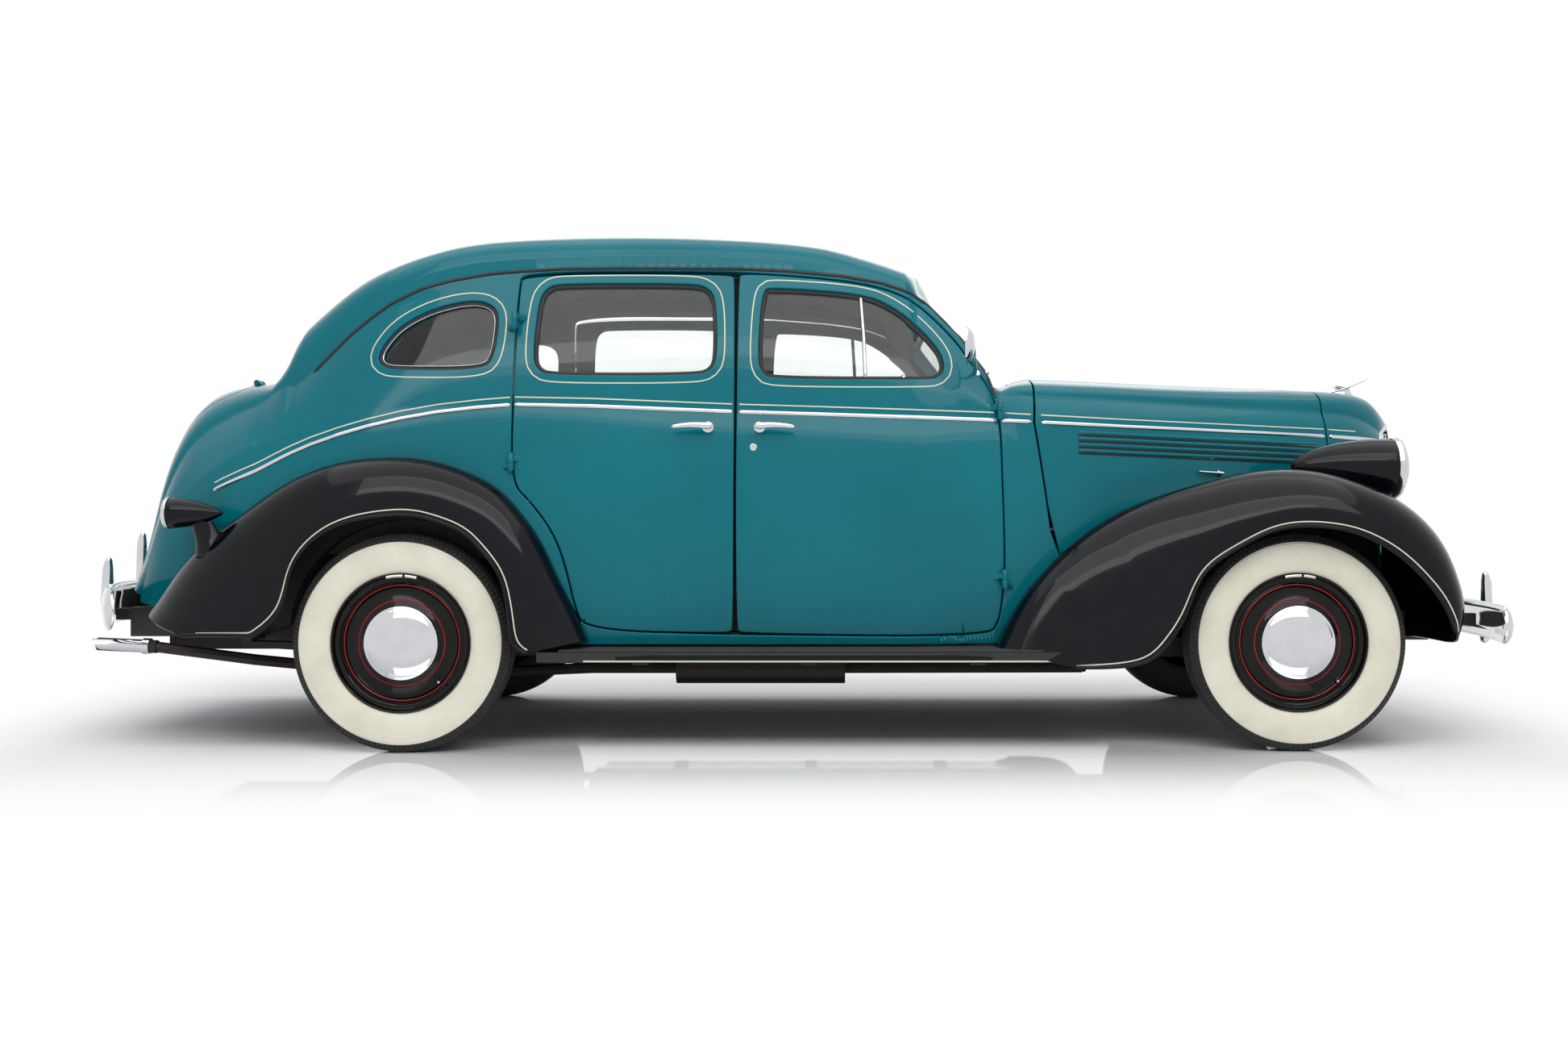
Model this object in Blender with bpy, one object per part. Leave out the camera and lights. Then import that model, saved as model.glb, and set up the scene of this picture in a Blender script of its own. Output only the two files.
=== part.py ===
"""Four-door touring sedan with separate fenders, running boards and a butterfly hood."""
import math

import bmesh
import bpy
from mathutils import Matrix, Vector

# Main sizes in metres
WHEELBASE = 2.921
REAR_AXLE_X = -1.257
FRONT_AXLE_X = REAR_AXLE_X + WHEELBASE
WHEEL_CENTRE_Z = 0.357
TYRE_RADIUS = 0.357
TYRE_SECTION = 0.160
RIM_RADIUS = 0.225
REAR_TRACK_HALF = 0.75
FRONT_TRACK_HALF = 0.72
FENDER_OUT = 0.885
SEAT_GAP = 0.0003
DOOR_GAP = 0.006
DOOR_RISE = 0.006
DOOR_MEET_GAP = 0.008
WALL = 0.060
DOOR_CUT_DEPTH = 0.066
POST_DEPTH = 0.105
GLASS_OUT = 0.020
GLASS_IN = 0.026
HOOD_SKIN = 0.012
SKIN = 0.010

# Centre and half sizes that the inner layers of the body shrink towards
BODY_CENTRE = (REAR_AXLE_X + 0.50, 0.0, 1.05)
BODY_HALF = (1.60, 0.71, 0.70)
HOOD_CENTRE = (REAR_AXLE_X + 2.75, 0.0, 0.85)
HOOD_HALF = (0.75, 0.45, 0.42)

# Body rows, tail to cowl: bottom, side, belt, rail points (x from the rear axle, y, z)
# and the top centre (x, z), then how round the part above the rail is
BODY_ROWS = (
    ((-0.98, 0.500, 0.470), (-0.98, 0.505, 0.480), (-0.98, 0.500, 0.495), (-1.02, 0.46, 0.510), (-1.130, 0.520), 1.0),
    ((-0.95, 0.520, 0.465), (-0.95, 0.530, 0.510), (-0.95, 0.525, 0.560), (-0.98, 0.47, 0.600), (-1.084, 0.641), 1.0),
    ((-0.90, 0.550, 0.460), (-0.90, 0.570, 0.560), (-0.90, 0.560, 0.680), (-0.92, 0.50, 0.760), (-1.020, 0.874), 1.0),
    ((-0.84, 0.585, 0.455), (-0.84, 0.605, 0.610), (-0.84, 0.585, 0.790), (-0.86, 0.505, 0.920), (-0.950, 1.065), 1.0),
    ((-0.77, 0.615, 0.450), (-0.77, 0.635, 0.640), (-0.77, 0.605, 0.860), (-0.79, 0.500, 1.030), (-0.893, 1.166), 1.0),
    ((-0.69, 0.640, 0.440), (-0.69, 0.665, 0.670), (-0.69, 0.630, 0.920), (-0.71, 0.500, 1.090), (-0.840, 1.214), 1.0),
    ((-0.60, 0.665, 0.430), (-0.60, 0.690, 0.690), (-0.60, 0.650, 0.970), (-0.62, 0.520, 1.130), (-0.750, 1.238), 1.0),
    ((-0.52, 0.680, 0.420), (-0.52, 0.705, 0.700), (-0.52, 0.663, 1.000), (-0.53, 0.540, 1.170), (-0.610, 1.243), 1.0),
    ((-0.45, 0.690, 0.410), (-0.45, 0.715, 0.710), (-0.45, 0.672, 1.030), (-0.45, 0.555, 1.220), (-0.500, 1.360), 1.0),
    ((-0.34, 0.700, 0.400), (-0.34, 0.728, 0.720), (-0.34, 0.682, 1.060), (-0.34, 0.565, 1.290), (-0.357, 1.510), 1.0),
    ((-0.22, 0.710, 0.390), (-0.22, 0.738, 0.720), (-0.22, 0.690, 1.090), (-0.22, 0.575, 1.396), (-0.236, 1.600), 1.0),
    ((-0.08, 0.715, 0.380), (-0.08, 0.745, 0.720), (-0.08, 0.695, 1.110), (-0.08, 0.585, 1.493), (-0.069, 1.667), 1.0),
    ((0.11, 0.725, 0.360), (0.11, 0.750, 0.720), (0.11, 0.700, 1.130), (0.11, 0.595, 1.563), (0.110, 1.720), 1.0),
    ((0.35, 0.730, 0.345), (0.35, 0.755, 0.720), (0.35, 0.705, 1.138), (0.35, 0.600, 1.593), (0.400, 1.745), 1.0),
    ((0.70, 0.735, 0.345), (0.70, 0.760, 0.720), (0.70, 0.708, 1.128), (0.70, 0.605, 1.603), (0.700, 1.752), 1.0),
    ((1.08, 0.735, 0.345), (1.08, 0.762, 0.720), (1.08, 0.708, 1.114), (1.08, 0.605, 1.601), (1.080, 1.741), 1.0),
    ((1.40, 0.730, 0.345), (1.40, 0.757, 0.720), (1.40, 0.703, 1.103), (1.40, 0.600, 1.580), (1.440, 1.705), 1.0),
    ((1.62, 0.725, 0.345), (1.62, 0.750, 0.720), (1.62, 0.695, 1.097), (1.60, 0.592, 1.546), (1.646, 1.642), 1.0),
    ((1.72, 0.718, 0.345), (1.72, 0.742, 0.720), (1.72, 0.688, 1.094), (1.675, 0.583, 1.515), (1.745, 1.580), 0.6),
    ((1.76, 0.712, 0.345), (1.76, 0.738, 0.720), (1.76, 0.685, 1.093), (1.72, 0.582, 1.484), (1.785, 1.543), 0.15),
    ((1.83, 0.705, 0.345), (1.83, 0.730, 0.720), (1.83, 0.679, 1.091), (1.81, 0.598, 1.392), (1.880, 1.420), 0.0),
    ((1.90, 0.697, 0.345), (1.90, 0.722, 0.720), (1.90, 0.672, 1.090), (1.90, 0.618, 1.270), (1.990, 1.260), 0.0),
    ((1.97, 0.688, 0.345), (1.965, 0.712, 0.720), (1.955, 0.665, 1.088), (1.95, 0.622, 1.190), (2.035, 1.228), 0.5),
    ((2.08, 0.672, 0.350), (2.045, 0.698, 0.720), (2.015, 0.652, 1.085), (2.01, 0.600, 1.180), (2.060, 1.247), 1.0),
    ((2.26, 0.640, 0.360), (2.128, 0.678, 0.720), (2.078, 0.635, 1.083), (2.085, 0.575, 1.175), (2.092, 1.262), 1.0),
)
# Hood rows from the cowl seam to the nose seam, same points as the body rows
HOOD_SEAM = 0.006
HOOD_ROWS = (
    ((2.180, 0.655, 0.640), (2.136, 0.650, 0.800), (2.084, 0.633, 1.083), (2.091, 0.573, 1.175), (2.098, 1.262), 1.0),
    ((2.32, 0.612, 0.712), (2.32, 0.600, 0.860), (2.32, 0.570, 1.078), (2.32, 0.505, 1.170), (2.32, 1.257), 1.0),
    ((2.55, 0.540, 0.800), (2.55, 0.525, 0.900), (2.55, 0.497, 1.070), (2.55, 0.430, 1.163), (2.55, 1.249), 1.0),
    ((2.80, 0.462, 0.855), (2.80, 0.450, 0.930), (2.80, 0.415, 1.062), (2.80, 0.350, 1.155), (2.80, 1.243), 1.0),
    ((3.00, 0.395, 0.865), (3.00, 0.385, 0.930), (3.00, 0.350, 1.057), (3.00, 0.285, 1.150), (3.00, 1.238), 1.0),
    ((3.172, 0.330, 0.850), (3.172, 0.322, 0.920), (3.172, 0.295, 1.052), (3.172, 0.235, 1.143), (3.172, 1.232), 1.0),
)
# Nose rows from the hood seam to the prow
NOSE_ROWS = (
    ((3.178, 0.350, 0.50), (3.178, 0.325, 0.86), (3.178, 0.293, 1.052), (3.178, 0.233, 1.143), (3.178, 1.232), 1.0),
    ((3.26, 0.325, 0.47), (3.26, 0.296, 0.84), (3.26, 0.266, 1.040), (3.26, 0.208, 1.135), (3.27, 1.228), 1.0),
    ((3.33, 0.290, 0.46), (3.33, 0.262, 0.82), (3.33, 0.236, 1.020), (3.33, 0.180, 1.120), (3.346, 1.219), 1.0),
    ((3.385, 0.245, 0.45), (3.39, 0.220, 0.80), (3.39, 0.196, 0.995), (3.39, 0.148, 1.095), (3.41, 1.195), 1.0),
    ((3.425, 0.180, 0.45), (3.44, 0.160, 0.78), (3.44, 0.142, 0.970), (3.44, 0.105, 1.065), (3.462, 1.145), 1.0),
    ((3.44, 0.090, 0.45), (3.475, 0.080, 0.77), (3.475, 0.070, 0.950), (3.475, 0.050, 1.035), (3.496, 1.092), 1.0),
    ((3.45, 0.030, 0.45), (3.49, 0.027, 0.77), (3.492, 0.024, 0.940), (3.492, 0.018, 1.005), (3.504, 1.036), 1.0),
)
LOW_STEPS = 1
SIDE_STEPS = 2
WINDOW_STEPS = 2
TOP_STEPS = 4
CROWN_POWER = 0.87
WINDOW_BULGE = 0.010

# Side-view outlines, x from the rear axle and z
REAR_DOOR = (
    (0.350, 1.572), (0.503, 1.583), (0.708, 1.585), (1.076, 1.583), (1.076, 0.3825), (0.585, 0.3955),
    (0.555, 0.474), (0.537, 0.562), (0.511, 0.657), (0.476, 0.732), (0.410, 0.819), (0.349, 0.876), (0.344, 1.138),
)
FRONT_DOOR = (
    (1.084, 1.587), (1.241, 1.579), (1.436, 1.562), (1.568, 1.539), (1.665, 1.500), (1.730, 1.448),
    (1.798, 1.378), (1.838, 1.326), (1.890, 1.250), (1.922, 1.205), (1.943, 1.154), (1.961, 1.063),
    (1.963, 0.880), (1.971, 0.597), (1.963, 0.496), (1.952, 0.420), (1.920, 0.372), (1.084, 0.3825),
)
FRONT_WINDOW = (
    (1.152, 1.30), (1.165, 1.529), (1.20, 1.540), (1.503, 1.520), (1.600, 1.480), (1.690, 1.412),
    (1.765, 1.325), (1.780, 1.267), (1.760, 1.235), (1.720, 1.225), (1.20, 1.225), (1.165, 1.245),
)
REAR_WINDOW_SIDE = (
    (0.403, 1.30), (0.415, 1.500), (0.445, 1.542), (0.490, 1.553), (0.930, 1.553), (0.985, 1.538),
    (1.012, 1.495), (1.018, 1.30), (1.000, 1.255), (0.950, 1.237), (0.465, 1.237), (0.420, 1.255),
)
QUARTER_WINDOW = (
    (-0.125, 1.299), (-0.105, 1.352), (-0.050, 1.415), (0.046, 1.465), (0.150, 1.492), (0.225, 1.494),
    (0.272, 1.470), (0.287, 1.423), (0.275, 1.300), (0.2385, 1.256), (-0.060, 1.258), (-0.105, 1.270),
)
# Front-view outlines, y and z, one side
WINDSHIELD_HALF = (
    (0.0, 1.285), (0.50, 1.262), (0.545, 1.275), (0.540, 1.360), (0.515, 1.440), (0.480, 1.462), (0.0, 1.520),
)
BACK_GLASS_HALF = (
    (0.0, 1.390), (0.30, 1.392), (0.365, 1.420), (0.380, 1.465), (0.355, 1.515), (0.29, 1.545), (0.0, 1.560),
)
TRUNK_HALF = (
    (0.0, 0.655), (0.33, 0.655), (0.375, 0.710), (0.395, 0.840), (0.400, 1.000), (0.395, 1.400), (0.0, 1.400),
)
TRUNK_FRONT_X = REAR_AXLE_X - 0.665
TRUNK_SKIN = 0.030
TRUNK_AXIS = (REAR_AXLE_X - 0.660, 1.2455)

REAR_FENDER_TOP = (
    (-0.870, 0.455), (-0.821, 0.530), (-0.728, 0.644), (-0.571, 0.762), (-0.400, 0.875), (-0.233, 0.941),
    (-0.098, 0.961), (0.000, 0.962), (0.105, 0.947), (0.206, 0.913), (0.308, 0.856), (0.376, 0.785),
    (0.443, 0.690), (0.498, 0.575), (0.545, 0.480), (0.598, 0.366),
)
REAR_FENDER_LIP = (
    (-0.690, 0.388), (-0.520, 0.388), (-0.446, 0.391), (-0.376, 0.458), (-0.342, 0.577), (-0.280, 0.680),
    (-0.150, 0.752), (0.000, 0.774), (0.105, 0.762), (0.200, 0.727), (0.268, 0.670), (0.320, 0.603),
    (0.350, 0.527), (0.365, 0.430), (0.377, 0.362), (0.418, 0.331),
)
FRONT_FENDER_TOP = (
    (1.940, 0.339), (2.015, 0.480), (2.106, 0.595), (2.237, 0.713), (2.410, 0.809), (2.600, 0.872),
    (2.812, 0.919), (2.929, 0.924), (3.039, 0.910), (3.138, 0.882), (3.235, 0.842), (3.320, 0.785),
    (3.400, 0.695), (3.450, 0.580), (3.467, 0.467), (3.430, 0.352),
)
FRONT_FENDER_LIP = (
    (2.177, 0.285), (2.290, 0.286), (2.400, 0.302), (2.475, 0.363), (2.530, 0.455), (2.581, 0.574),
    (2.700, 0.670), (2.800, 0.720), (2.900, 0.739), (3.000, 0.734), (3.100, 0.709), (3.200, 0.655),
    (3.290, 0.575), (3.350, 0.500), (3.380, 0.440), (3.394, 0.400),
)
FENDER_SKIN = 0.012
FENDER_CREST_Y = 0.70
HOOD_EDGE_GAP = 0.012
HOOD_LEDGE = 0.014


def named_material(name, colour, roughness, metallic):
    """Return one Principled material for one named piece."""
    material = bpy.data.materials.new(name)
    material.use_nodes = True
    shader = material.node_tree.nodes["Principled BSDF"]
    shader.inputs["Base Color"].default_value = (*colour, 1.0)
    shader.inputs["Roughness"].default_value = roughness
    shader.inputs["Metallic"].default_value = metallic
    return material


PAINT = ((0.003, 0.180, 0.215), 0.18, 0.0)
NAVY = ((0.004, 0.005, 0.012), 0.15, 0.0)
CHROME = ((0.75, 0.76, 0.78), 0.08, 1.0)
GLASS = ((0.030, 0.040, 0.038), 0.05, 0.0)
STEEL = ((0.045, 0.045, 0.048), 0.55, 0.6)
RUBBER = ((0.020, 0.020, 0.021), 0.75, 0.0)
CLOTH = ((0.110, 0.090, 0.070), 0.85, 0.0)
EXHAUST = ((0.16, 0.13, 0.11), 0.50, 0.8)
AMBER = ((0.85, 0.85, 0.80), 0.10, 0.0)


def mesh_object(name, points, faces):
    """Make an object from points and faces with all faces outward."""
    mesh = bpy.data.meshes.new(name)
    mesh.from_pydata([tuple(p) for p in points], [], faces)
    shape = bmesh.new()
    shape.from_mesh(mesh)
    bmesh.ops.remove_doubles(shape, verts=shape.verts, dist=0.00001)
    bmesh.ops.recalc_face_normals(shape, faces=shape.faces)
    shape.to_mesh(mesh)
    shape.free()
    thing = bpy.data.objects.new(name, mesh)
    bpy.context.scene.collection.objects.link(thing)
    return thing


def finish(thing, paint, smooth=True):
    """Give a piece its material and its shading."""
    colour, roughness, metallic = paint
    thing.data.materials.clear()
    thing.data.materials.append(named_material(thing.name + "_finish", colour, roughness, metallic))
    if smooth:
        for face in thing.data.polygons:
            face.use_smooth = True
        thing.data.set_sharp_from_angle(angle=math.radians(32.0))
    return thing


def boolean(thing, other, operation, keep=False, folded=False):
    """Apply one exact Boolean and drop the other solid unless it is kept."""
    step = thing.modifiers.new("solid", "BOOLEAN")
    step.operation = operation
    step.solver = "EXACT"
    step.object = other
    step.use_self = folded
    bpy.context.view_layer.objects.active = thing
    bpy.ops.object.modifier_apply(modifier=step.name)
    if not keep:
        bpy.data.objects.remove(other, do_unlink=True)
    return thing


def joined(first, *others):
    """Fuse solids into the first one."""
    for other in others:
        boolean(first, other, "UNION")
    return first


def cut(first, *others, keep=False):
    """Take solids away from the first one."""
    for other in others:
        boolean(first, other, "DIFFERENCE", keep)
    return first


def common(first, other, keep=False):
    """Keep what two solids share."""
    return boolean(first, other, "INTERSECT", keep)


def copied(thing, name):
    """Copy an object with its own mesh."""
    twin = thing.copy()
    twin.data = thing.data.copy()
    twin.name = name
    bpy.context.scene.collection.objects.link(twin)
    return twin


def mirrored(thing, name):
    """Copy a right-hand piece to the other side of the car."""
    twin = copied(thing, name)
    twin.data.transform(Matrix.Scale(-1.0, 4, Vector((0.0, 1.0, 0.0))))
    twin.data.flip_normals()
    place = twin.matrix_world.translation
    twin.location = (place.x, -place.y, place.z)
    return twin


def box(name, low, high):
    """Closed block between two corners."""
    points = [(x, y, z) for x in (low[0], high[0]) for y in (low[1], high[1]) for z in (low[2], high[2])]
    faces = [(0, 1, 3, 2), (4, 6, 7, 5), (0, 4, 5, 1), (2, 3, 7, 6), (0, 2, 6, 4), (1, 5, 7, 3)]
    return mesh_object(name, points, faces)


def ring_solid(name, rings, closed=False):
    """Closed solid through rings of equal length; ends are capped unless the rings close."""
    count = len(rings[0])
    points = [p for ring in rings for p in ring]
    faces = []
    last = len(rings) if closed else len(rings) - 1
    for r in range(last):
        a = r * count
        b = ((r + 1) % len(rings)) * count
        for i in range(count):
            j = (i + 1) % count
            faces.append((a + i, a + j, b + j, b + i))
    if not closed:
        faces.append(tuple(range(count)))
        faces.append(tuple(range((len(rings) - 1) * count, len(rings) * count)))
    return mesh_object(name, points, faces)


def side_prism(name, outline, y_from, y_to, shift=REAR_AXLE_X):
    """Solid with a side-view outline between two y planes."""
    rings = [[(x + shift, y, z) for x, z in outline] for y in (y_from, y_to)]
    return ring_solid(name, rings)


def front_prism(name, half, x_from, x_to):
    """Solid with a mirrored front-view outline between two x planes."""
    outline = list(half) + [(-y, z) for y, z in reversed(half) if y > 0.0]
    rings = [[(x, y, z) for y, z in outline] for x in (x_from, x_to)]
    return ring_solid(name, rings)


def turned(name, profile, centre, axis, steps):
    """Solid of revolution: profile of (along, radius) about an axis through the centre."""
    direction = Vector(axis).normalized()
    helper = Vector((0.0, 0.0, 1.0)) if abs(direction.z) < 0.9 else Vector((1.0, 0.0, 0.0))
    side = direction.cross(helper).normalized()
    up = side.cross(direction).normalized()
    rings = []
    for i in range(steps):
        angle = math.tau * i / steps
        out = side * math.cos(angle) + up * math.sin(angle)
        rings.append([Vector(centre) + direction * a + out * r for a, r in profile])
    thing = ring_solid(name, rings, closed=True)
    return thing


def rod(name, start, end, radius, steps=10):
    """Round bar between two points."""
    start = Vector(start)
    direction = Vector(end) - start
    length = direction.length
    direction.normalize()
    helper = Vector((0.0, 0.0, 1.0)) if abs(direction.z) < 0.9 else Vector((1.0, 0.0, 0.0))
    side = direction.cross(helper).normalized()
    up = side.cross(direction).normalized()
    rings = []
    for along in (0.0, length):
        ring = []
        for i in range(steps):
            angle = math.tau * i / steps
            ring.append(start + direction * along + (side * math.cos(angle) + up * math.sin(angle)) * radius)
        rings.append(ring)
    return ring_solid(name, rings)


def grown(outline, amount):
    """Outline moved outward by an amount, mitred at the corners."""
    count = len(outline)
    area = sum(outline[i][0] * outline[(i + 1) % count][1] - outline[(i + 1) % count][0] * outline[i][1]
               for i in range(count))
    turn = 1.0 if area > 0.0 else -1.0
    result = []
    for i in range(count):
        before = Vector(outline[i - 1])
        here = Vector(outline[i])
        after = Vector(outline[(i + 1) % count])
        first = (here - before).normalized()
        second = (after - here).normalized()
        normal_a = Vector((first.y, -first.x)) * turn
        normal_b = Vector((second.y, -second.x)) * turn
        middle = (normal_a + normal_b).normalized()
        reach = amount / max(0.4, middle.dot(normal_a))
        result.append(tuple(here + middle * reach))
    return result


def half_section(row):
    """Points of one row from the bottom edge over the side to the top centre."""
    low, side, belt, rail, top, round_share = row
    points = [Vector(low)]
    for i in range(1, LOW_STEPS + 1):
        points.append(Vector(low).lerp(Vector(side), i / LOW_STEPS))
    for i in range(1, SIDE_STEPS + 1):
        s = i / SIDE_STEPS
        p = Vector(side).lerp(Vector(belt), s)
        p.y = side[1] + (belt[1] - side[1]) * s ** 1.7
        points.append(p)
    for i in range(1, WINDOW_STEPS + 1):
        s = i / WINDOW_STEPS
        p = Vector(belt).lerp(Vector(rail), s)
        p.y += WINDOW_BULGE * math.sin(math.pi * s)
        points.append(p)
    for i in range(1, TOP_STEPS + 1):
        s = i / TOP_STEPS
        angle = s * math.pi / 2.0
        round_y = rail[1] * max(0.0, math.cos(angle)) ** CROWN_POWER
        round_z = rail[2] + (top[1] - rail[2]) * math.sin(angle) ** CROWN_POWER
        flat_y = rail[1] * (1.0 - s)
        flat_z = rail[2] + (top[1] - rail[2]) * s
        y = flat_y + (round_y - flat_y) * round_share
        z = flat_z + (round_z - flat_z) * round_share
        share = 1.0 - y / rail[1]
        power = 1.0 if round_share < 0.5 else 1.6
        x = rail[0] + (top[0] - rail[0]) * (1.0 - (1.0 - share) ** power)
        points.append(Vector((x, y, z)))
    points[-1].y = 0.0
    return points


def layered(name, rows, centre, half, depth, drop=0.0):
    """Closed solid through rows, shrunk towards a centre by a depth, its bottom lowered by a drop."""
    scale = [1.0 - depth / size for size in half]
    rings = []
    for row in rows:
        side = half_section(row)
        ring = []
        for sign in (1.0, -1.0):
            part = side if sign > 0.0 else list(reversed(side[:-1]))
            for p in part:
                x = p.x + REAR_AXLE_X
                here = (centre[0] + (x - centre[0]) * scale[0], sign * p.y * scale[1],
                        centre[2] + (p.z - centre[2]) * scale[2])
                ring.append(here)
        first = ring[0]
        last = ring[-1]
        ring[0] = (first[0], first[1], first[2] - drop)
        ring[-1] = (last[0], last[1], last[2] - drop)
        rings.append(ring)
    count = len(rings[0])
    points = [p for ring in rings for p in ring]
    faces = []
    middle = count // 2
    for r in range(len(rings) - 1):
        for i in range(count):
            a = r * count + i
            b = r * count + (i + 1) % count
            c = b + count
            d = a + count
            if i == count - 1:
                faces.append((a, b, c, d))
            elif i < middle:
                faces.extend(((a, b, c), (a, c, d)))
            else:
                faces.extend(((a, b, d), (b, c, d)))
    for base in (0, (len(rings) - 1) * count):
        for i in range(middle - 1):
            j = count - 1 - i
            faces.append((base + i, base + i + 1, base + j - 1, base + j))
        faces.append((base + middle - 1, base + middle, base + middle + 1))
    return mesh_object(name, points, faces)


def body_layer(name, depth, drop=0.0):
    """Body solid shrunk by a depth."""
    return layered(name, BODY_ROWS, BODY_CENTRE, BODY_HALF, depth, drop)


def fender_section(top, lip, inner, outer_y, crest_y, top_power, low_power):
    """Section of a fender from its inner edge over the crest to the lip."""
    points = [Vector(p) for p in inner]
    steps = 4
    for i in range(steps + 1):
        angle = math.pi / 2.0 * i / steps
        out = math.sin(angle) ** top_power
        down = 1.0 - max(0.0, math.cos(angle)) ** low_power
        x = top[0] + (lip[0] - top[0]) * down
        z = top[1] + (lip[1] - top[1]) * down
        y = crest_y + (outer_y - crest_y) * out
        points.append(Vector((x + REAR_AXLE_X, -y, z)))
    return points


def sheet_solid(name, rows, thickness, toward):
    """Closed sheet from a grid of points, thickened away from the outer face."""
    count = len(rows[0])
    shape = bmesh.new()
    grid = [[shape.verts.new(p) for p in row] for row in rows]
    for r in range(len(rows) - 1):
        for i in range(count - 1):
            shape.faces.new((grid[r][i], grid[r][i + 1], grid[r + 1][i + 1], grid[r + 1][i]))
    bmesh.ops.recalc_face_normals(shape, faces=shape.faces)
    shape.normal_update()
    sample = max(shape.faces, key=lambda f: f.calc_center_median().z)
    if sample.normal.z < 0.0:
        bmesh.ops.reverse_faces(shape, faces=shape.faces)
    mesh = bpy.data.meshes.new(name)
    shape.to_mesh(mesh)
    shape.free()
    thing = bpy.data.objects.new(name, mesh)
    bpy.context.scene.collection.objects.link(thing)
    step = thing.modifiers.new("thickness", "SOLIDIFY")
    step.thickness = thickness
    step.offset = -1.0 if toward < 0.0 else 1.0
    step.use_even_offset = False
    bpy.context.view_layer.objects.active = thing
    bpy.ops.object.modifier_apply(modifier=step.name)
    shape = bmesh.new()
    shape.from_mesh(thing.data)
    bmesh.ops.recalc_face_normals(shape, faces=shape.faces)
    shape.to_mesh(thing.data)
    shape.free()
    return thing


def main_body(thing):
    """Keep only the largest connected body of a piece that a cut has left in parts."""
    shape = bmesh.new()
    shape.from_mesh(thing.data)
    bodies = []
    seen = set()
    for start in shape.verts:
        if start in seen:
            continue
        body = []
        waiting = [start]
        seen.add(start)
        while waiting:
            here = waiting.pop()
            body.append(here)
            for edge in here.link_edges:
                there = edge.other_vert(here)
                if there not in seen:
                    seen.add(there)
                    waiting.append(there)
        bodies.append(body)
    bodies.sort(key=len)
    for body in bodies[:-1]:
        bmesh.ops.delete(shape, geom=body, context="VERTS")
    shape.to_mesh(thing.data)
    shape.free()
    return thing


def interpolated(table, x):
    """Value of a table of (x, value) at x."""
    for (x0, v0), (x1, v1) in zip(table, table[1:]):
        if x <= x1:
            return v0 + (v1 - v0) * max(0.0, (x - x0) / (x1 - x0))
    return table[-1][1]


HOOD_EDGE = tuple((row[0][0], row[0][2]) for row in HOOD_ROWS)
HOOD_SIDE = tuple((row[0][0], row[0][1]) for row in HOOD_ROWS)
NOSE_SIDE = tuple((row[1][0], row[1][1]) for row in NOSE_ROWS)
BODY_SIDE = tuple((row[1][0], row[1][1]) for row in BODY_ROWS)


def side_at(x):
    """Half width of the car's side near the fenders at a distance from the rear axle."""
    if x < HOOD_EDGE[0][0]:
        return interpolated(BODY_SIDE, x)
    if x < NOSE_SIDE[0][0]:
        return interpolated(HOOD_SIDE, x)
    return interpolated(NOSE_SIDE, x)


def wheel_house(name, radius, y_in, y_out):
    """Round space about a rear wheel."""
    return rod(name, (REAR_AXLE_X, y_in, WHEEL_CENTRE_Z), (REAR_AXLE_X, y_out, WHEEL_CENTRE_Z), radius, 20)


WHEEL_HOUSE_RADIUS = 0.425
WHEEL_HOUSE_IN = 0.600
HOUSE_WALL = 0.012
BODY_WIDE = 1.00
DOOR_INNER_Y = 0.555
FIREWALL_BACK_X = REAR_AXLE_X + 2.045
FIREWALL_FRONT_X = REAR_AXLE_X + 2.070
BAY_REACH = 0.060
POST_FRONT_X = REAR_AXLE_X + 1.135
POST_BACK_X = REAR_AXLE_X + 1.025
DASH_BACK_X = REAR_AXLE_X + 1.80
DASH_FRONT_X = REAR_AXLE_X + 1.87
DASH_LOW_Z = 1.000
DASH_TOP_Z = 1.185
DASH_SHELF = 0.035
COLUMN_Y = 0.36
WHEEL_HUB = (REAR_AXLE_X + 1.50, COLUMN_Y, 1.02)
COLUMN_DIRECTION = Vector((0.82, 0.0, -0.572)).normalized()
COLUMN_RADIUS = 0.022
STEERING_WHEEL_RADIUS = 0.205
STEERING_RIM = 0.012


def doors_outline():
    """Outline of the one opening that a pair of doors fills."""
    rear = REAR_DOOR
    front = FRONT_DOOR
    raised = [(x, z + DOOR_RISE) for x, z in rear[:4]]
    return [*raised, *front[:-1], front[-1], *rear[4:]]


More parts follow.
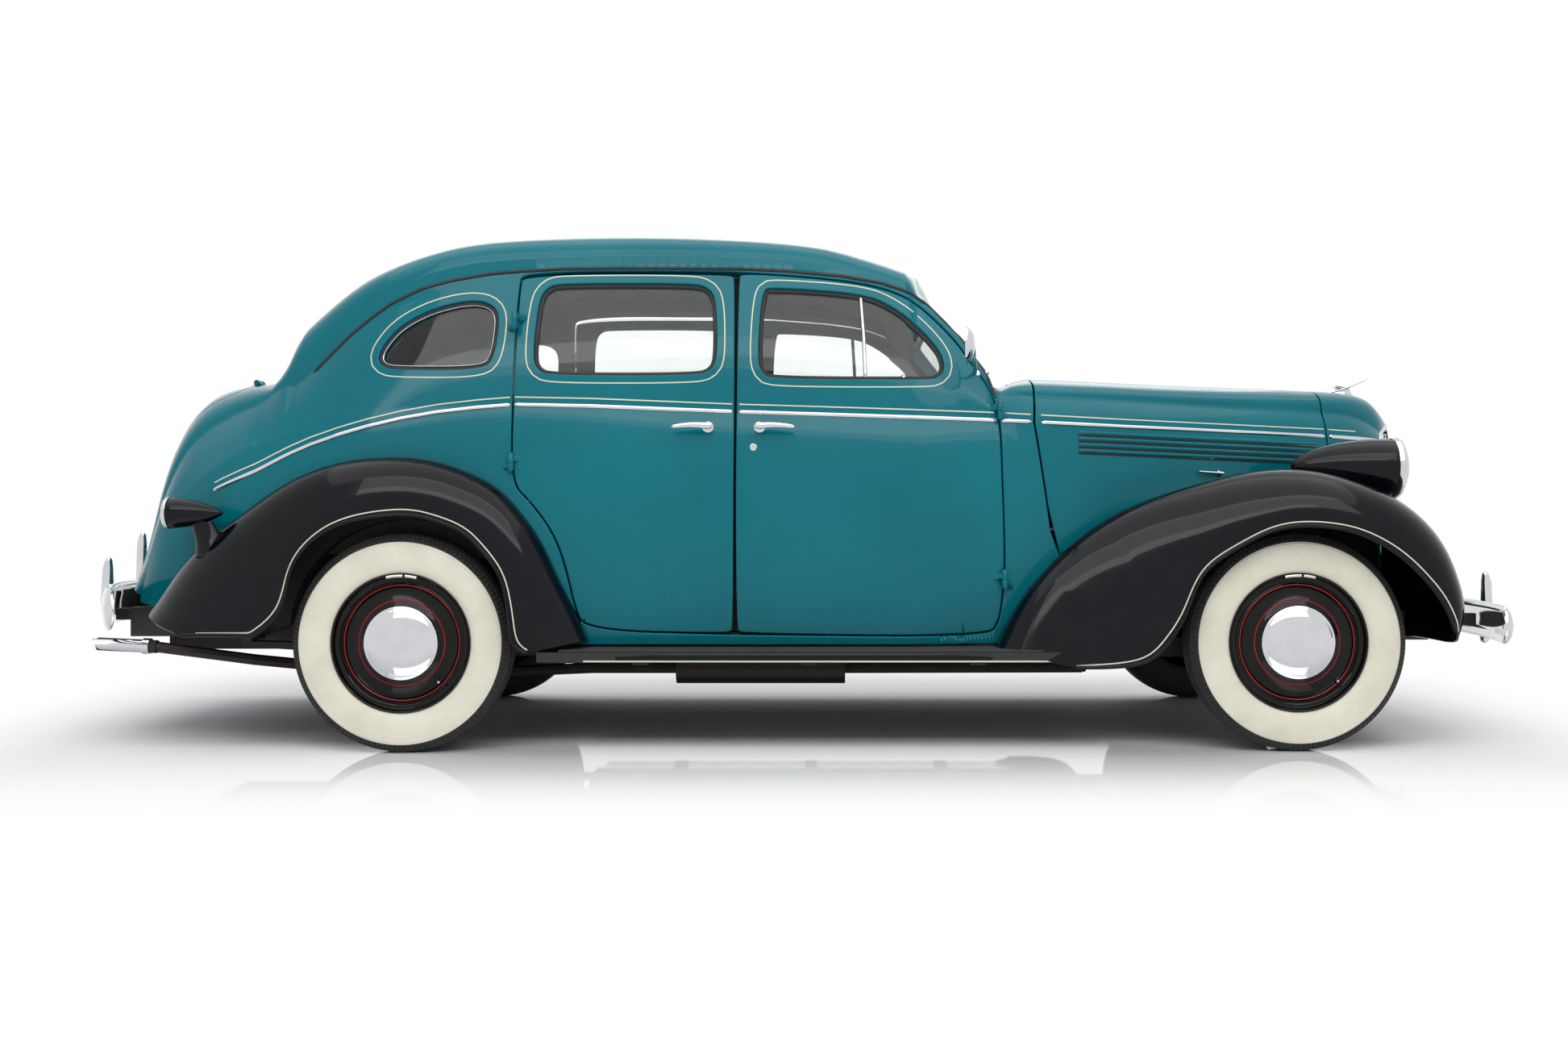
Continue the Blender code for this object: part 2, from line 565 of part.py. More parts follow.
def make_body():
    """Body shell with posts, dashboard and steering column."""
    shell = body_layer("body_shell", 0.0)
    cavity = body_layer("cavity", WALL, drop=0.5)
    for sign in (1.0, -1.0):
        post = box("post", (POST_BACK_X, 0.0, 0.30), (POST_FRONT_X, sign * BODY_WIDE, 1.70))
        inner = body_layer("post_inner", POST_DEPTH, drop=0.6)
        cut(post, inner)
        cut(cavity, post)
        house = wheel_house("house", WHEEL_HOUSE_RADIUS + HOUSE_WALL, sign * (WHEEL_HOUSE_IN - HOUSE_WALL),
                            sign * BODY_WIDE)
        cut(cavity, house)
    shelf = box("shelf", (DASH_BACK_X, -0.54, DASH_TOP_Z - DASH_SHELF), (REAR_AXLE_X + 2.12, 0.54, DASH_TOP_Z))
    face = box("face", (DASH_BACK_X, -0.53, DASH_LOW_Z), (DASH_FRONT_X, 0.53, DASH_TOP_Z - 0.005))
    joined(shelf, face)
    cut(cavity, shelf)
    column_start = Vector(WHEEL_HUB) + COLUMN_DIRECTION * 0.05
    column_end = Vector(WHEEL_HUB) + COLUMN_DIRECTION * 0.80
    column = rod("column", column_start, column_end, COLUMN_RADIUS, 10)
    cut(cavity, column)
    common(cavity, box("cabin_length", (REAR_AXLE_X - 2.0, -BODY_WIDE, -1.0), (FIREWALL_BACK_X, BODY_WIDE, 2.0)))
    cut(shell, cavity)
    bay = body_layer("bay", HOOD_SKIN, drop=0.3)
    for vertex in bay.data.vertices:
        if vertex.co.x > FIREWALL_FRONT_X:
            vertex.co.x += BAY_REACH
    common(bay, box("bay_length", (FIREWALL_FRONT_X, -BODY_WIDE, -1.0), (REAR_AXLE_X + 3.0, BODY_WIDE, 2.0)))
    cut(shell, bay)
    cut(shell, box("toe_space", (REAR_AXLE_X + 1.95, -0.61, 0.0), (REAR_AXLE_X + 2.30, 0.61, 0.500)))
    cut(shell, box("axle_space", (REAR_AXLE_X - 0.16, -0.62, 0.0), (REAR_AXLE_X + 0.16, 0.62, 0.500)))
    opening = side_prism("opening", grown(doors_outline(), DOOR_GAP), DOOR_INNER_Y - DOOR_GAP, BODY_WIDE)
    deep = body_layer("deep", DOOR_CUT_DEPTH, drop=0.6)
    other = side_prism("opening_right", grown(doors_outline(), DOOR_GAP), DOOR_GAP - DOOR_INNER_Y, -BODY_WIDE)
    cut(opening, deep, keep=True)
    cut(other, deep)
    cut(shell, opening, other)
    for sign in (1.0, -1.0):
        house = wheel_house("wheel_space", WHEEL_HOUSE_RADIUS, sign * WHEEL_HOUSE_IN, sign * BODY_WIDE)
        cut(shell, house)
        window = side_prism("quarter_hole", QUARTER_WINDOW, sign * 0.40, sign * BODY_WIDE)
        cut(shell, window)
    cut(shell, front_prism("windshield_hole", WINDSHIELD_HALF, REAR_AXLE_X + 1.60, REAR_AXLE_X + 2.40))
    cut(shell, front_prism("back_hole", BACK_GLASS_HALF, REAR_AXLE_X - 0.90, REAR_AXLE_X - 0.10))
    trunk = front_prism("trunk_hole", [(y * 1.0 + (DOOR_GAP if y > 0.0 else 0.0), z - (DOOR_GAP if z < 0.7 else 0.0))
                                       for y, z in TRUNK_HALF], REAR_AXLE_X - 1.50, TRUNK_FRONT_X + DOOR_GAP)
    cut(shell, trunk)
    main_body(shell)
    return finish(shell, PAINT)


def glass_pane(name, prism):
    """Thin pane that follows the body side inside an opening."""
    pane = common(prism, body_layer("glass_out", GLASS_OUT))
    return finish(cut(pane, body_layer("glass_in", GLASS_IN)), GLASS)


def make_glass():
    """Windshield, back glass and quarter glass."""
    glass_pane("windshield", front_prism("windshield", grown_half(WINDSHIELD_HALF), REAR_AXLE_X + 1.60,
                                         REAR_AXLE_X + 2.40))
    glass_pane("rear_window", front_prism("rear_window", grown_half(BACK_GLASS_HALF), REAR_AXLE_X - 0.90,
                                          REAR_AXLE_X - 0.10))
    right = glass_pane("quarter_glass_right", side_prism("quarter_glass_right", grown(QUARTER_WINDOW, -SEAT_GAP),
                                                         -0.40, -BODY_WIDE))
    finish(mirrored(right, "quarter_glass_left"), GLASS)


def grown_half(half):
    """Half outline drawn in by the seat gap."""
    full = list(half) + [(-y, z) for y, z in reversed(half) if y > 0.0]
    shrunk = grown(full, -SEAT_GAP)
    return [(max(0.0, y) if abs(y) > 0.01 else 0.0, z) for y, z in shrunk[:len(half)]]


HINGE_RADIUS = 0.009
HINGE_LENGTH = 0.032
HINGE_REACH = 0.030
HINGE_SINK = 0.024
HINGE_SINK_FRONT = 0.036
HINGE_SINK_HIGH = 0.050
REAR_HINGE_LOW = (REAR_AXLE_X + 0.3450, -0.7520, 0.945)
REAR_HINGE_HIGH = (REAR_AXLE_X + 0.3450, -0.6880, 1.420)
FRONT_HINGE_LOW = (REAR_AXLE_X + 1.9700, -0.7260, 0.560)
FRONT_HINGE_HIGH = (REAR_AXLE_X + 1.9600, -0.6850, 1.120)


def hinge_halves(low, high, forward):
    """Body and door barrels of a pair of right-hand hinges, each with its strap."""
    start = Vector(low)
    line = (Vector(high) - start).normalized()
    fixed = None
    moving = None
    for place in (start, Vector(high)):
        below = rod("barrel_body", place - line * HINGE_LENGTH, place - line * SEAT_GAP / 2.0, HINGE_RADIUS, 8)
        above = rod("barrel_door", place + line * SEAT_GAP / 2.0, place + line * HINGE_LENGTH, HINGE_RADIUS, 8)
        for barrel, way, along in ((below, -forward, -0.5), (above, forward, 0.5)):
            middle = place + line * HINGE_LENGTH * along
            sink = HINGE_SINK_FRONT if forward < 0.0 else HINGE_SINK if place == start else HINGE_SINK_HIGH
            foot = middle + Vector((way * HINGE_REACH, sink, 0.0))
            joined(barrel, rod("strap", middle, foot, HINGE_RADIUS * 0.8, 6))
        fixed = below if fixed is None else merged(fixed, below)
        moving = above if moving is None else merged(moving, above)
    return fixed, moving


def make_doors(body):
    """Four doors with glass, handles and mirrors."""
    for name, outline, window, handle_x in (
            ("door_rear", REAR_DOOR, REAR_WINDOW_SIDE, 0.945), ("door_front", FRONT_DOOR, FRONT_WINDOW, 1.205)):
        door = side_prism(name + "_right", outline, -DOOR_INNER_Y, -BODY_WIDE)
        common(door, body_layer("door_out", 0.0))
        cut(door, body_layer("door_in", WALL, drop=0.6))
        cut(door, side_prism("hole", window, -0.30, -BODY_WIDE))
        x = handle_x + REAR_AXLE_X
        turn = 1.0 if name == "door_rear" else -1.0
        side = interpolated(BODY_SIDE, handle_x) - 0.045
        stem = rod("stem", (x + turn * 0.045, -side + 0.02, 1.062), (x + turn * 0.045, -side - 0.040, 1.062), 0.009, 8)
        grip = rod("grip", (x + turn * 0.055, -side - 0.036, 1.062), (x - turn * 0.075, -side - 0.044, 1.060),
                   0.008, 8)
        joined(stem, grip)
        joined(door, stem)
        low, high, forward = ((REAR_HINGE_LOW, REAR_HINGE_HIGH, 1.0) if name == "door_rear"
                              else (FRONT_HINGE_LOW, FRONT_HINGE_HIGH, -1.0))
        fixed, moving = hinge_halves(low, high, forward)
        joined(door, moving)
        other = mirrored(fixed, "fixed_left")
        joined(body, fixed)
        joined(body, other)
        if name == "door_front":
            arm = rod("arm", (REAR_AXLE_X + 1.880, -0.625, 1.250), (REAR_AXLE_X + 1.842, -0.775, 1.320), 0.007, 8)
            disc = turned("disc", [(-0.018, 0.012), (0.0, 0.050), (0.006, 0.062), (0.012, 0.062), (0.012, 0.0)],
                          (REAR_AXLE_X + 1.846, -0.790, 1.327), (-1.0, 0.12, 0.0), 12)
            joined(arm, disc)
            joined(door, arm)
        finish(door, PAINT)
        finish(mirrored(door, name + "_left"), PAINT)
        pane = glass_pane(name + "_glass_right", side_prism(name + "_glass_right", grown(window, -SEAT_GAP), -0.30,
                                                            -BODY_WIDE))
        finish(mirrored(pane, name + "_glass_left"), GLASS)


LID_HINGE_Y = 0.25
LID_HINGE_DROP = 0.022


def make_trunk_lid(body):
    """Trunk lid cut from the tail, with a hinge on each side."""
    lid = front_prism("trunk_lid", TRUNK_HALF, REAR_AXLE_X - 1.50, TRUNK_FRONT_X)
    common(lid, body_layer("lid_out", 0.0))
    cut(lid, body_layer("lid_in", TRUNK_SKIN, drop=0.3))
    x, z = TRUNK_AXIS
    for sign in (1.0, -1.0):
        for piece, start, way in ((lid, -1.0, -1.0), (body, 1.0, 1.0)):
            near = (x, sign * (LID_HINGE_Y + start * SEAT_GAP / 2.0), z)
            far = (x, sign * (LID_HINGE_Y + start * HINGE_LENGTH), z)
            barrel = rod("barrel", near, far, HINGE_RADIUS, 8)
            middle = (Vector(near) + Vector(far)) / 2.0
            foot = middle + Vector((way * HINGE_REACH, 0.0, -LID_HINGE_DROP))
            joined(barrel, rod("strap", middle, foot, HINGE_RADIUS * 0.8, 6))
            joined(piece, barrel)
    return finish(lid, PAINT)


HOOD_SPLIT = 0.005
HOOD_BEVEL_DEPTH = 0.030
HOOD_BEVEL_TURN = math.radians(64.0)
HOOD_ROD_BACK_Z = 1.2612
HOOD_ROD_FRONT_Z = 1.2318


def make_hood(body):
    """Hood halves with their long louvres, and the nose shell."""
    joined(body, rod("hood_rod", (REAR_AXLE_X + 2.060, 0.0, HOOD_ROD_BACK_Z), (REAR_AXLE_X + 3.1777, 0.0, HOOD_ROD_FRONT_Z),
                     HOOD_SPLIT - SEAT_GAP, 8))
    full = layered("hood_right", HOOD_ROWS, HOOD_CENTRE, HOOD_HALF, 0.0)
    inner = layered("hood_in", HOOD_ROWS, HOOD_CENTRE, HOOD_HALF, HOOD_SKIN, drop=0.5)
    scale_x = 1.2
    for vertex in inner.data.vertices:
        vertex.co.x = HOOD_CENTRE[0] + (vertex.co.x - HOOD_CENTRE[0]) * scale_x
    cut(full, inner)
    rings = []
    for x, z in ((REAR_AXLE_X + 1.90, HOOD_ROD_BACK_Z + 0.0042), (REAR_AXLE_X + 3.40, HOOD_ROD_FRONT_Z - 0.0059)):
        low = HOOD_SPLIT + HOOD_BEVEL_DEPTH * math.tan(HOOD_BEVEL_TURN)
        outline = ((1.0, 2.0), (HOOD_SPLIT, 2.0), (HOOD_SPLIT, z), (low, z - HOOD_BEVEL_DEPTH), (low, 0.0), (1.0, 0.0))
        rings.append([(x, -y, height) for y, height in outline])
    common(full, ring_solid("half", rings))
    finish(full, PAINT)
    finish(mirrored(full, "hood_left"), PAINT)
    nose = layered("nose_shell", NOSE_ROWS, (REAR_AXLE_X + 3.15, 0.0, 0.85), (0.36, 0.33, 0.39), 0.0)
    hollow = layered("nose_in", NOSE_ROWS, (REAR_AXLE_X + 3.15, 0.0, 0.85), (0.36, 0.33, 0.39), 0.014, drop=0.3)
    for vertex in hollow.data.vertices:
        if vertex.co.x < REAR_AXLE_X + 3.20:
            vertex.co.x -= 0.05
    cut(nose, hollow)
    opening = front_prism("grille_hole", GRILLE_HALF, REAR_AXLE_X + 3.18, REAR_AXLE_X + 3.60)
    cut(nose, opening)
    main_body(nose)
    return finish(nose, PAINT)


GRILLE_HALF = (
    (0.0, 0.500), (0.170, 0.500), (0.215, 0.560), (0.225, 0.800), (0.205, 0.980), (0.130, 1.075), (0.0, 1.115),
)
GRILLE_BARS = 10
GRILLE_EDGE = 0.022
BAR_SHARE = 0.45


def make_grille():
    """Grille of level bars in a frame, following the nose."""
    grille = front_prism("grille", grown_half(GRILLE_HALF), REAR_AXLE_X + 3.19, REAR_AXLE_X + 3.60)
    centre = (REAR_AXLE_X + 3.15, 0.0, 0.85)
    half = (0.36, 0.33, 0.39)
    common(grille, layered("grille_out", NOSE_ROWS, centre, half, 0.001))
    cut(grille, layered("grille_in", NOSE_ROWS, centre, half, 0.016, drop=0.3))
    low = GRILLE_HALF[0][1] + GRILLE_EDGE
    high = GRILLE_HALF[-1][1] - GRILLE_EDGE
    pitch = (high - low) / GRILLE_BARS
    slots = None
    for i in range(GRILLE_BARS):
        z = low + pitch * i + pitch * BAR_SHARE * 0.5
        for sign in (1.0, -1.0):
            slot = box("slot", (REAR_AXLE_X + 3.10, sign * 0.012, z),
                       (REAR_AXLE_X + 3.70, sign * 0.5, z + pitch * (1.0 - BAR_SHARE)))
            slots = slot if slots is None else merged(slots, slot)
    cut(slots, outline_ring("slot_frame", GRILLE_HALF))
    cut(grille, slots)
    return finish(grille, CHROME)


def merged(first, second):
    """Put two separate solids into one object."""
    points = [v.co.copy() for v in first.data.vertices] + [v.co.copy() for v in second.data.vertices]
    shift = len(first.data.vertices)
    faces = [tuple(p.vertices) for p in first.data.polygons]
    faces += [tuple(i + shift for i in p.vertices) for p in second.data.polygons]
    name = first.name
    bpy.data.objects.remove(first, do_unlink=True)
    bpy.data.objects.remove(second, do_unlink=True)
    return mesh_object(name, points, faces)


def outline_ring(name, half):
    """Frame-shaped solid round a front-view outline."""
    outer = front_prism(name, [(y * 1.3, z + (0.1 if z > 0.8 else -0.1)) for y, z in half], REAR_AXLE_X + 3.0,
                        REAR_AXLE_X + 3.8)
    full = list(half) + [(-y, z) for y, z in reversed(half) if y > 0.0]
    shrunk = grown(full, -0.012)
    inner_half = [(max(0.0, y) if abs(y) > 0.02 else 0.0, z) for y, z in shrunk[:len(half)]]
    inner = front_prism(name + "_in", inner_half, REAR_AXLE_X + 2.9, REAR_AXLE_X + 3.9)
    return cut(outer, inner)


def make_front_fender():
    """Front fender with its headlamp shell."""
    rows = []
    count = len(FRONT_FENDER_TOP)
    for i in range(count):
        top = FRONT_FENDER_TOP[i]
        lip = FRONT_FENDER_LIP[i]
        share = i / (count - 1)
        x = top[0]
        inner_y = side_at(x)
        z_edge = interpolated(HOOD_EDGE, x) - HOOD_EDGE_GAP
        if x < HOOD_EDGE[0][0]:
            z_in = top[1] - 0.002 - 0.03 * share
            inner = [(x + REAR_AXLE_X, -(inner_y - 0.060), z_in),
                     (x + REAR_AXLE_X, -(inner_y - 0.025), z_in)]
        else:
            z_in = min(z_edge, top[1] - 0.035)
            inner = [(x + REAR_AXLE_X, -(inner_y - 0.035), max(0.30, z_in - 0.20)),
                     (x + REAR_AXLE_X, -(inner_y - 0.030), z_in)]
        if x > NOSE_SIDE[0][0]:
            x_in = min(x, 3.36)
            inner_y = side_at(x_in)
            z_in = top[1] - 0.035
            inner = [(x_in - 0.03 + REAR_AXLE_X, -(inner_y - 0.060), z_in),
                     (x_in + REAR_AXLE_X, -(inner_y - 0.030), z_in)]
        crest_y = FENDER_CREST_Y + (0.05 if x < 2.2 else 0.0)
        crest_y = max(crest_y, inner_y + 0.03)
        z_in = inner[-1][2]
        if HOOD_EDGE[0][0] <= x <= NOSE_SIDE[0][0]:
            inner.append((x + REAR_AXLE_X, -(inner_y + HOOD_LEDGE), z_in))
        else:
            inner.append(tuple(Vector(inner[-1]) + Vector((0.0, -HOOD_LEDGE, 0.001))))
        middle = Vector(inner[-1]).lerp(Vector((top[0] + REAR_AXLE_X, -crest_y, top[1])), 0.5)
        middle.z = inner[-1][2] + (top[1] - inner[-1][2]) * 0.72
        section = fender_section(top, lip, inner, FENDER_OUT, crest_y, 1.0, 0.85)
        section.insert(len(inner), middle)
        rows.append(section)
    fender = sheet_solid("front_fender_right", rows, FENDER_SKIN, -1.0)
    cut(fender, body_layer("body_space", -SEAT_GAP))
    nose = layered("nose_space", NOSE_ROWS, (REAR_AXLE_X + 3.15, 0.0, 0.85), (0.36, 0.33, 0.39), -SEAT_GAP)
    for vertex in nose.data.vertices:
        if vertex.co.x < REAR_AXLE_X + 3.18:
            vertex.co.x -= 2.0 * SEAT_GAP
    cut(fender, nose)
    cut(fender, board_box(-1.0, SEAT_GAP))
    for low, high in (((3.00, 0.325, 0.20), (3.80, 0.400, 0.445)),):
        cut(fender, box("iron_hole", (REAR_AXLE_X + low[0], -high[1], low[2]), (REAR_AXLE_X + high[0], -low[1], high[2])))
    main_body(fender)
    shell = turned("headlamp_shell", [(-0.200, 0.004), (-0.170, 0.030), (-0.110, 0.064), (-0.030, 0.088),
                                      (0.060, 0.098), (0.150, 0.100), (0.150, 0.0)],
                   LAMP_CENTRE, (1.0, 0.0, -0.02), 16)
    stalk = rod("stalk", (LAMP_CENTRE[0], LAMP_CENTRE[1], LAMP_CENTRE[2] - 0.02),
                (LAMP_CENTRE[0] - 0.02, LAMP_CENTRE[1] + 0.01, 0.795), 0.045, 10)
    joined(shell, stalk)
    joined(fender, shell)
    finish(fender, NAVY)
    finish(mirrored(fender, "front_fender_left"), NAVY)
    lens = turned("headlamp_lens_right", [(0.1503, 0.0), (0.1503, 0.100), (0.160, 0.100), (0.166, 0.094),
                                          (0.180, 0.070), (0.190, 0.036), (0.193, 0.0)],
                  LAMP_CENTRE, (1.0, 0.0, -0.02), 16)
    finish(lens, AMBER)
    finish(mirrored(lens, "headlamp_lens_left"), AMBER)


LAMP_CENTRE = (REAR_AXLE_X + 3.175, -0.520, 0.935)


def make_rear_fender():
    """Rear fender with its tail lamp."""
    rows = []
    for top, lip in zip(REAR_FENDER_TOP, REAR_FENDER_LIP):
        body_y = side_at(top[0])
        inner_y = body_y - 0.03
        inner = [(top[0] + REAR_AXLE_X, -inner_y, top[1])]
        rows.append(fender_section(top, lip, inner, FENDER_OUT, body_y, 0.80, 1.0))
    fender = sheet_solid("rear_fender_right", rows, FENDER_SKIN, -1.0)
    cut(fender, body_layer("body_space", -SEAT_GAP))
    cut(fender, board_box(-1.0, SEAT_GAP))
    main_body(fender)
    lamp = turned("lamp", [(-0.10, 0.0), (-0.10, 0.046), (-0.086, 0.051), (-0.020, 0.044), (0.040, 0.028),
                           (0.085, 0.006), (0.090, 0.0)], TAIL_CENTRE, (1.0, 0.0, 0.0), 12)
    foot = rod("foot", (TAIL_CENTRE[0] + 0.0, TAIL_CENTRE[1], TAIL_CENTRE[2] - 0.01),
               (TAIL_CENTRE[0] + 0.05, TAIL_CENTRE[1], 0.655), 0.030, 10)
    joined(lamp, foot)
    cut(lamp, body_layer("body_space_two", -SEAT_GAP))
    joined(fender, lamp)
    finish(fender, NAVY)
    finish(mirrored(fender, "rear_fender_left"), NAVY)


TAIL_CENTRE = (REAR_AXLE_X - 0.690, -0.745, 0.779)


FLOOR_TOP = 0.385
FLOOR_THICK = 0.022
FLOOR_LINE = (
    (2.0445, 0.478), (1.985, 0.385), (0.520, 0.385), (0.380, 0.545), (-0.400, 0.545), (-0.520, 0.480),
    (-1.020, 0.480),
)
RAIL_LINE = (
    (3.500, 0.42), (3.200, 0.42), (2.700, 0.36), (2.400, 0.36), (0.560, 0.355), (0.380, 0.510), (-0.420, 0.510), (-0.560, 0.440),
    (-1.020, 0.440),
)
RAIL_DEPTH = 0.100
RAIL_SINK = 0.013
RAIL_FRONT_Y = 0.36
RAIL_REAR_Y = 0.46
RAIL_WIDE = 0.055


def band(name, line, depth, y_from, y_to):
    """Extrude a side-view line with an even depth below it between two y values."""
    lower = [(x, z - depth) for x, z in reversed(line)]
    return side_prism(name, list(line) + lower, y_from, y_to)


BOARD_BACK_X = REAR_AXLE_X + 0.45
BOARD_FRONT_X = REAR_AXLE_X + 2.165
BOARD_IN = 0.65
BOARD_OUT = 0.868
BOARD_LOW = 0.300
BOARD_TOP = 0.332
MAT_BACK = 0.640
MAT_FRONT = 1.900
MAT_IN = 0.755
MAT_OUT = 0.858
MAT_THICK = 0.004


def board_box(sign, grow=0.0):
    """Running board on one side of the car, or the space that it takes."""
    low = (BOARD_BACK_X - grow, sign * (BOARD_IN - grow), BOARD_LOW - grow)
    high = (BOARD_FRONT_X + grow, sign * (BOARD_OUT + grow), BOARD_TOP + grow)
    return box("board", low, high)


def make_frame():
    """Frame rails, cross members, floor, running boards and fuel tank in one welded piece."""
    floor = band("chassis_frame", FLOOR_LINE, FLOOR_THICK, -BODY_WIDE, BODY_WIDE)
    common(floor, body_layer("floor_space", WALL + SEAT_GAP * 2.0, drop=0.25))
    for sign in (1.0, -1.0):
        cut(floor, wheel_house("space", WHEEL_HOUSE_RADIUS + HOUSE_WALL + 0.001,
                               sign * (WHEEL_HOUSE_IN - HOUSE_WALL - 0.001), sign * BODY_WIDE))
        cut(floor, box("post_space", (POST_BACK_X - SEAT_GAP, sign * 0.620, 0.2),
                       (POST_FRONT_X + SEAT_GAP, sign * BODY_WIDE, 0.5)))
    for sign in (1.0, -1.0):
        rings = []
        for x, z in RAIL_LINE:
            y = RAIL_FRONT_Y if x > 2.3 else RAIL_REAR_Y
            top = z + RAIL_SINK
            rings.append([(x + REAR_AXLE_X, sign * (y + RAIL_WIDE * a), top - RAIL_DEPTH * b)
                          for a, b in ((-0.5, 0.0), (0.5, 0.0), (0.5, 1.0), (-0.5, 1.0))])
        joined(floor, ring_solid("rail", rings))
        board = board_box(sign)
        brackets = [box("bracket", (REAR_AXLE_X + x, sign * 0.44, 0.285), (REAR_AXLE_X + x + 0.05, sign * 0.80, 0.310))
                    for x in (0.75, 1.30, 1.85)]
        joined(board, *brackets)
        cut(board, body_layer("body_space", -SEAT_GAP))
        joined(board, box("tread", (REAR_AXLE_X + MAT_BACK, sign * MAT_IN, BOARD_LOW + 0.01),
                          (REAR_AXLE_X + MAT_FRONT, sign * MAT_OUT, BOARD_TOP + MAT_THICK)))
        joined(floor, board)
    for x, z in ((-0.98, 0.375), (0.62, 0.262), (1.55, 0.262), (2.45, 0.29), (3.24, 0.34)):
        y = RAIL_FRONT_Y if x > 2.3 else RAIL_REAR_Y
        joined(floor, box("member", (REAR_AXLE_X + x, -y, z), (REAR_AXLE_X + x + 0.06, y, z + (0.038 if z < 0.27 else 0.05))))
    joined(floor, box("hanger", (REAR_AXLE_X + 1.10, -0.31, 0.225 + 0.055 + SEAT_GAP), (REAR_AXLE_X + 1.14, -0.29, 0.370)))
    for sign in (1.0, -1.0):
        for x_from, x_to, z in ((-0.600, -0.57, 0.3435), (0.600, 0.62, 0.3188)):
            joined(floor, box("shackle", (REAR_AXLE_X + x_from, sign * 0.44, z),
                              (REAR_AXLE_X + x_to, sign * 0.575, z + 0.045)))
    tank = box("tank", (REAR_AXLE_X - 0.93, -0.38, 0.300), (REAR_AXLE_X - 0.50, 0.38, 0.462))
    joined(floor, tank)
    for sign in (1.0, -1.0):
        joined(floor, box("horn", (REAR_AXLE_X - 1.1035, sign * 0.385, 0.405),
                          (REAR_AXLE_X - 0.98, sign * 0.415, 0.445)))
        joined(floor, box("front_horn", (REAR_AXLE_X + 3.44, sign * 0.345, 0.385),
                          (REAR_AXLE_X + 3.6743, sign * 0.375, 0.425)))
    for sign in (1.0, -1.0):
        joined(floor, box("engine_seat", (REAR_AXLE_X + 2.45, sign * 0.10, 0.31), (REAR_AXLE_X + 2.51, sign * 0.22, 0.40)))
    main_body(floor)
    return finish(floor, STEEL, smooth=False)


FRONT_BUMPER_X = REAR_AXLE_X + 3.705
REAR_BUMPER_X = REAR_AXLE_X - 1.170


def make_bumper(name, centre_x, bow, low, high, turn, guards):
    """Bowed bumper blade with its guards."""
    rings = []
    steps = 12
    for i in range(steps + 1):
        share = -1.0 + 2.0 * i / steps
        y = share * 0.78
        x = centre_x - turn * bow * abs(share) ** 2.2
        end = 0.5 if abs(share) == 1.0 else 1.0
        middle = (low + high) / 2.0
        tall = (high - low) / 2.0 * end
        profile = ((0.0, -1.0), (0.016, -0.75), (0.024, 0.0), (0.016, 0.75), (0.0, 1.0), (-0.010, 0.8), (-0.010, -0.8))
        rings.append([(x + turn * a, y, middle + tall * b) for a, b in profile])
    blade = ring_solid(name, rings)
    for y, bottom, top in guards:
        share = abs(y) / 0.78
        x = centre_x - turn * bow * share ** 2.2
        points = ((0.010, bottom), (0.034, bottom + 0.02), (0.046, (low + high) / 2.0), (0.040, top - 0.04),
                  (0.020, top), (0.008, top - 0.01), (0.012, (low + high) / 2.0), (0.004, bottom + 0.02))
        guard = [[(x + turn * a, y + s, z) for a, z in points] for s in (-0.022, 0.022)]
        joined(blade, ring_solid("guard", guard))
    return finish(blade, CHROME)


def make_wheels():
    """Wheels and tyres at the four corners."""
    tyre_profile = []
    half = TYRE_SECTION / 2.0
    for across, out in ((0.050, 0.2145), (0.0565, 0.2262), (0.079, 0.262), (0.076, 0.310), (0.048, 0.352),
                        (0.0, 0.357), (-0.048, 0.352), (-0.076, 0.310), (-0.079, 0.262), (-0.0565, 0.2262),
                        (-0.050, 0.2145)):
        tyre_profile.append((across * half / 0.080, out))
    rim = [(-0.051, 0.2140), (-0.058, 0.2255), (-0.064, 0.2240), (-0.035, 0.182), (0.014, 0.170),
           (0.012, 0.0), (0.075, 0.0), (0.066, 0.070), (0.046, 0.120), (0.036, 0.175),
           (0.064, 0.2240), (0.058, 0.2255), (0.051, 0.2140)]
    for name, x, y in (("front", FRONT_AXLE_X, FRONT_TRACK_HALF), ("rear", REAR_AXLE_X, REAR_TRACK_HALF)):
        tyre = turned(name + "_tyre_right", tyre_profile, (0.0, 0.0, 0.0), (0.0, -1.0, 0.0), 24)
        tyre.location = (x, -y, WHEEL_CENTRE_Z)
        wheel = turned(name + "_wheel_right", rim, (0.0, 0.0, 0.0), (0.0, -1.0, 0.0), 24)
        wheel.location = (x, -y, WHEEL_CENTRE_Z)
        bpy.context.view_layer.update()
        finish(tyre, RUBBER)
        finish(wheel, NAVY)
        finish(mirrored(tyre, name + "_tyre_left"), RUBBER)
        finish(mirrored(wheel, name + "_wheel_left"), NAVY)


HUB_FACE = 0.012
KINGPIN_Y = 0.620
SPINDLE_RADIUS = 0.022
ARM_LENGTH = 0.140
TIE_Z = 0.255
TIE_RADIUS = 0.012


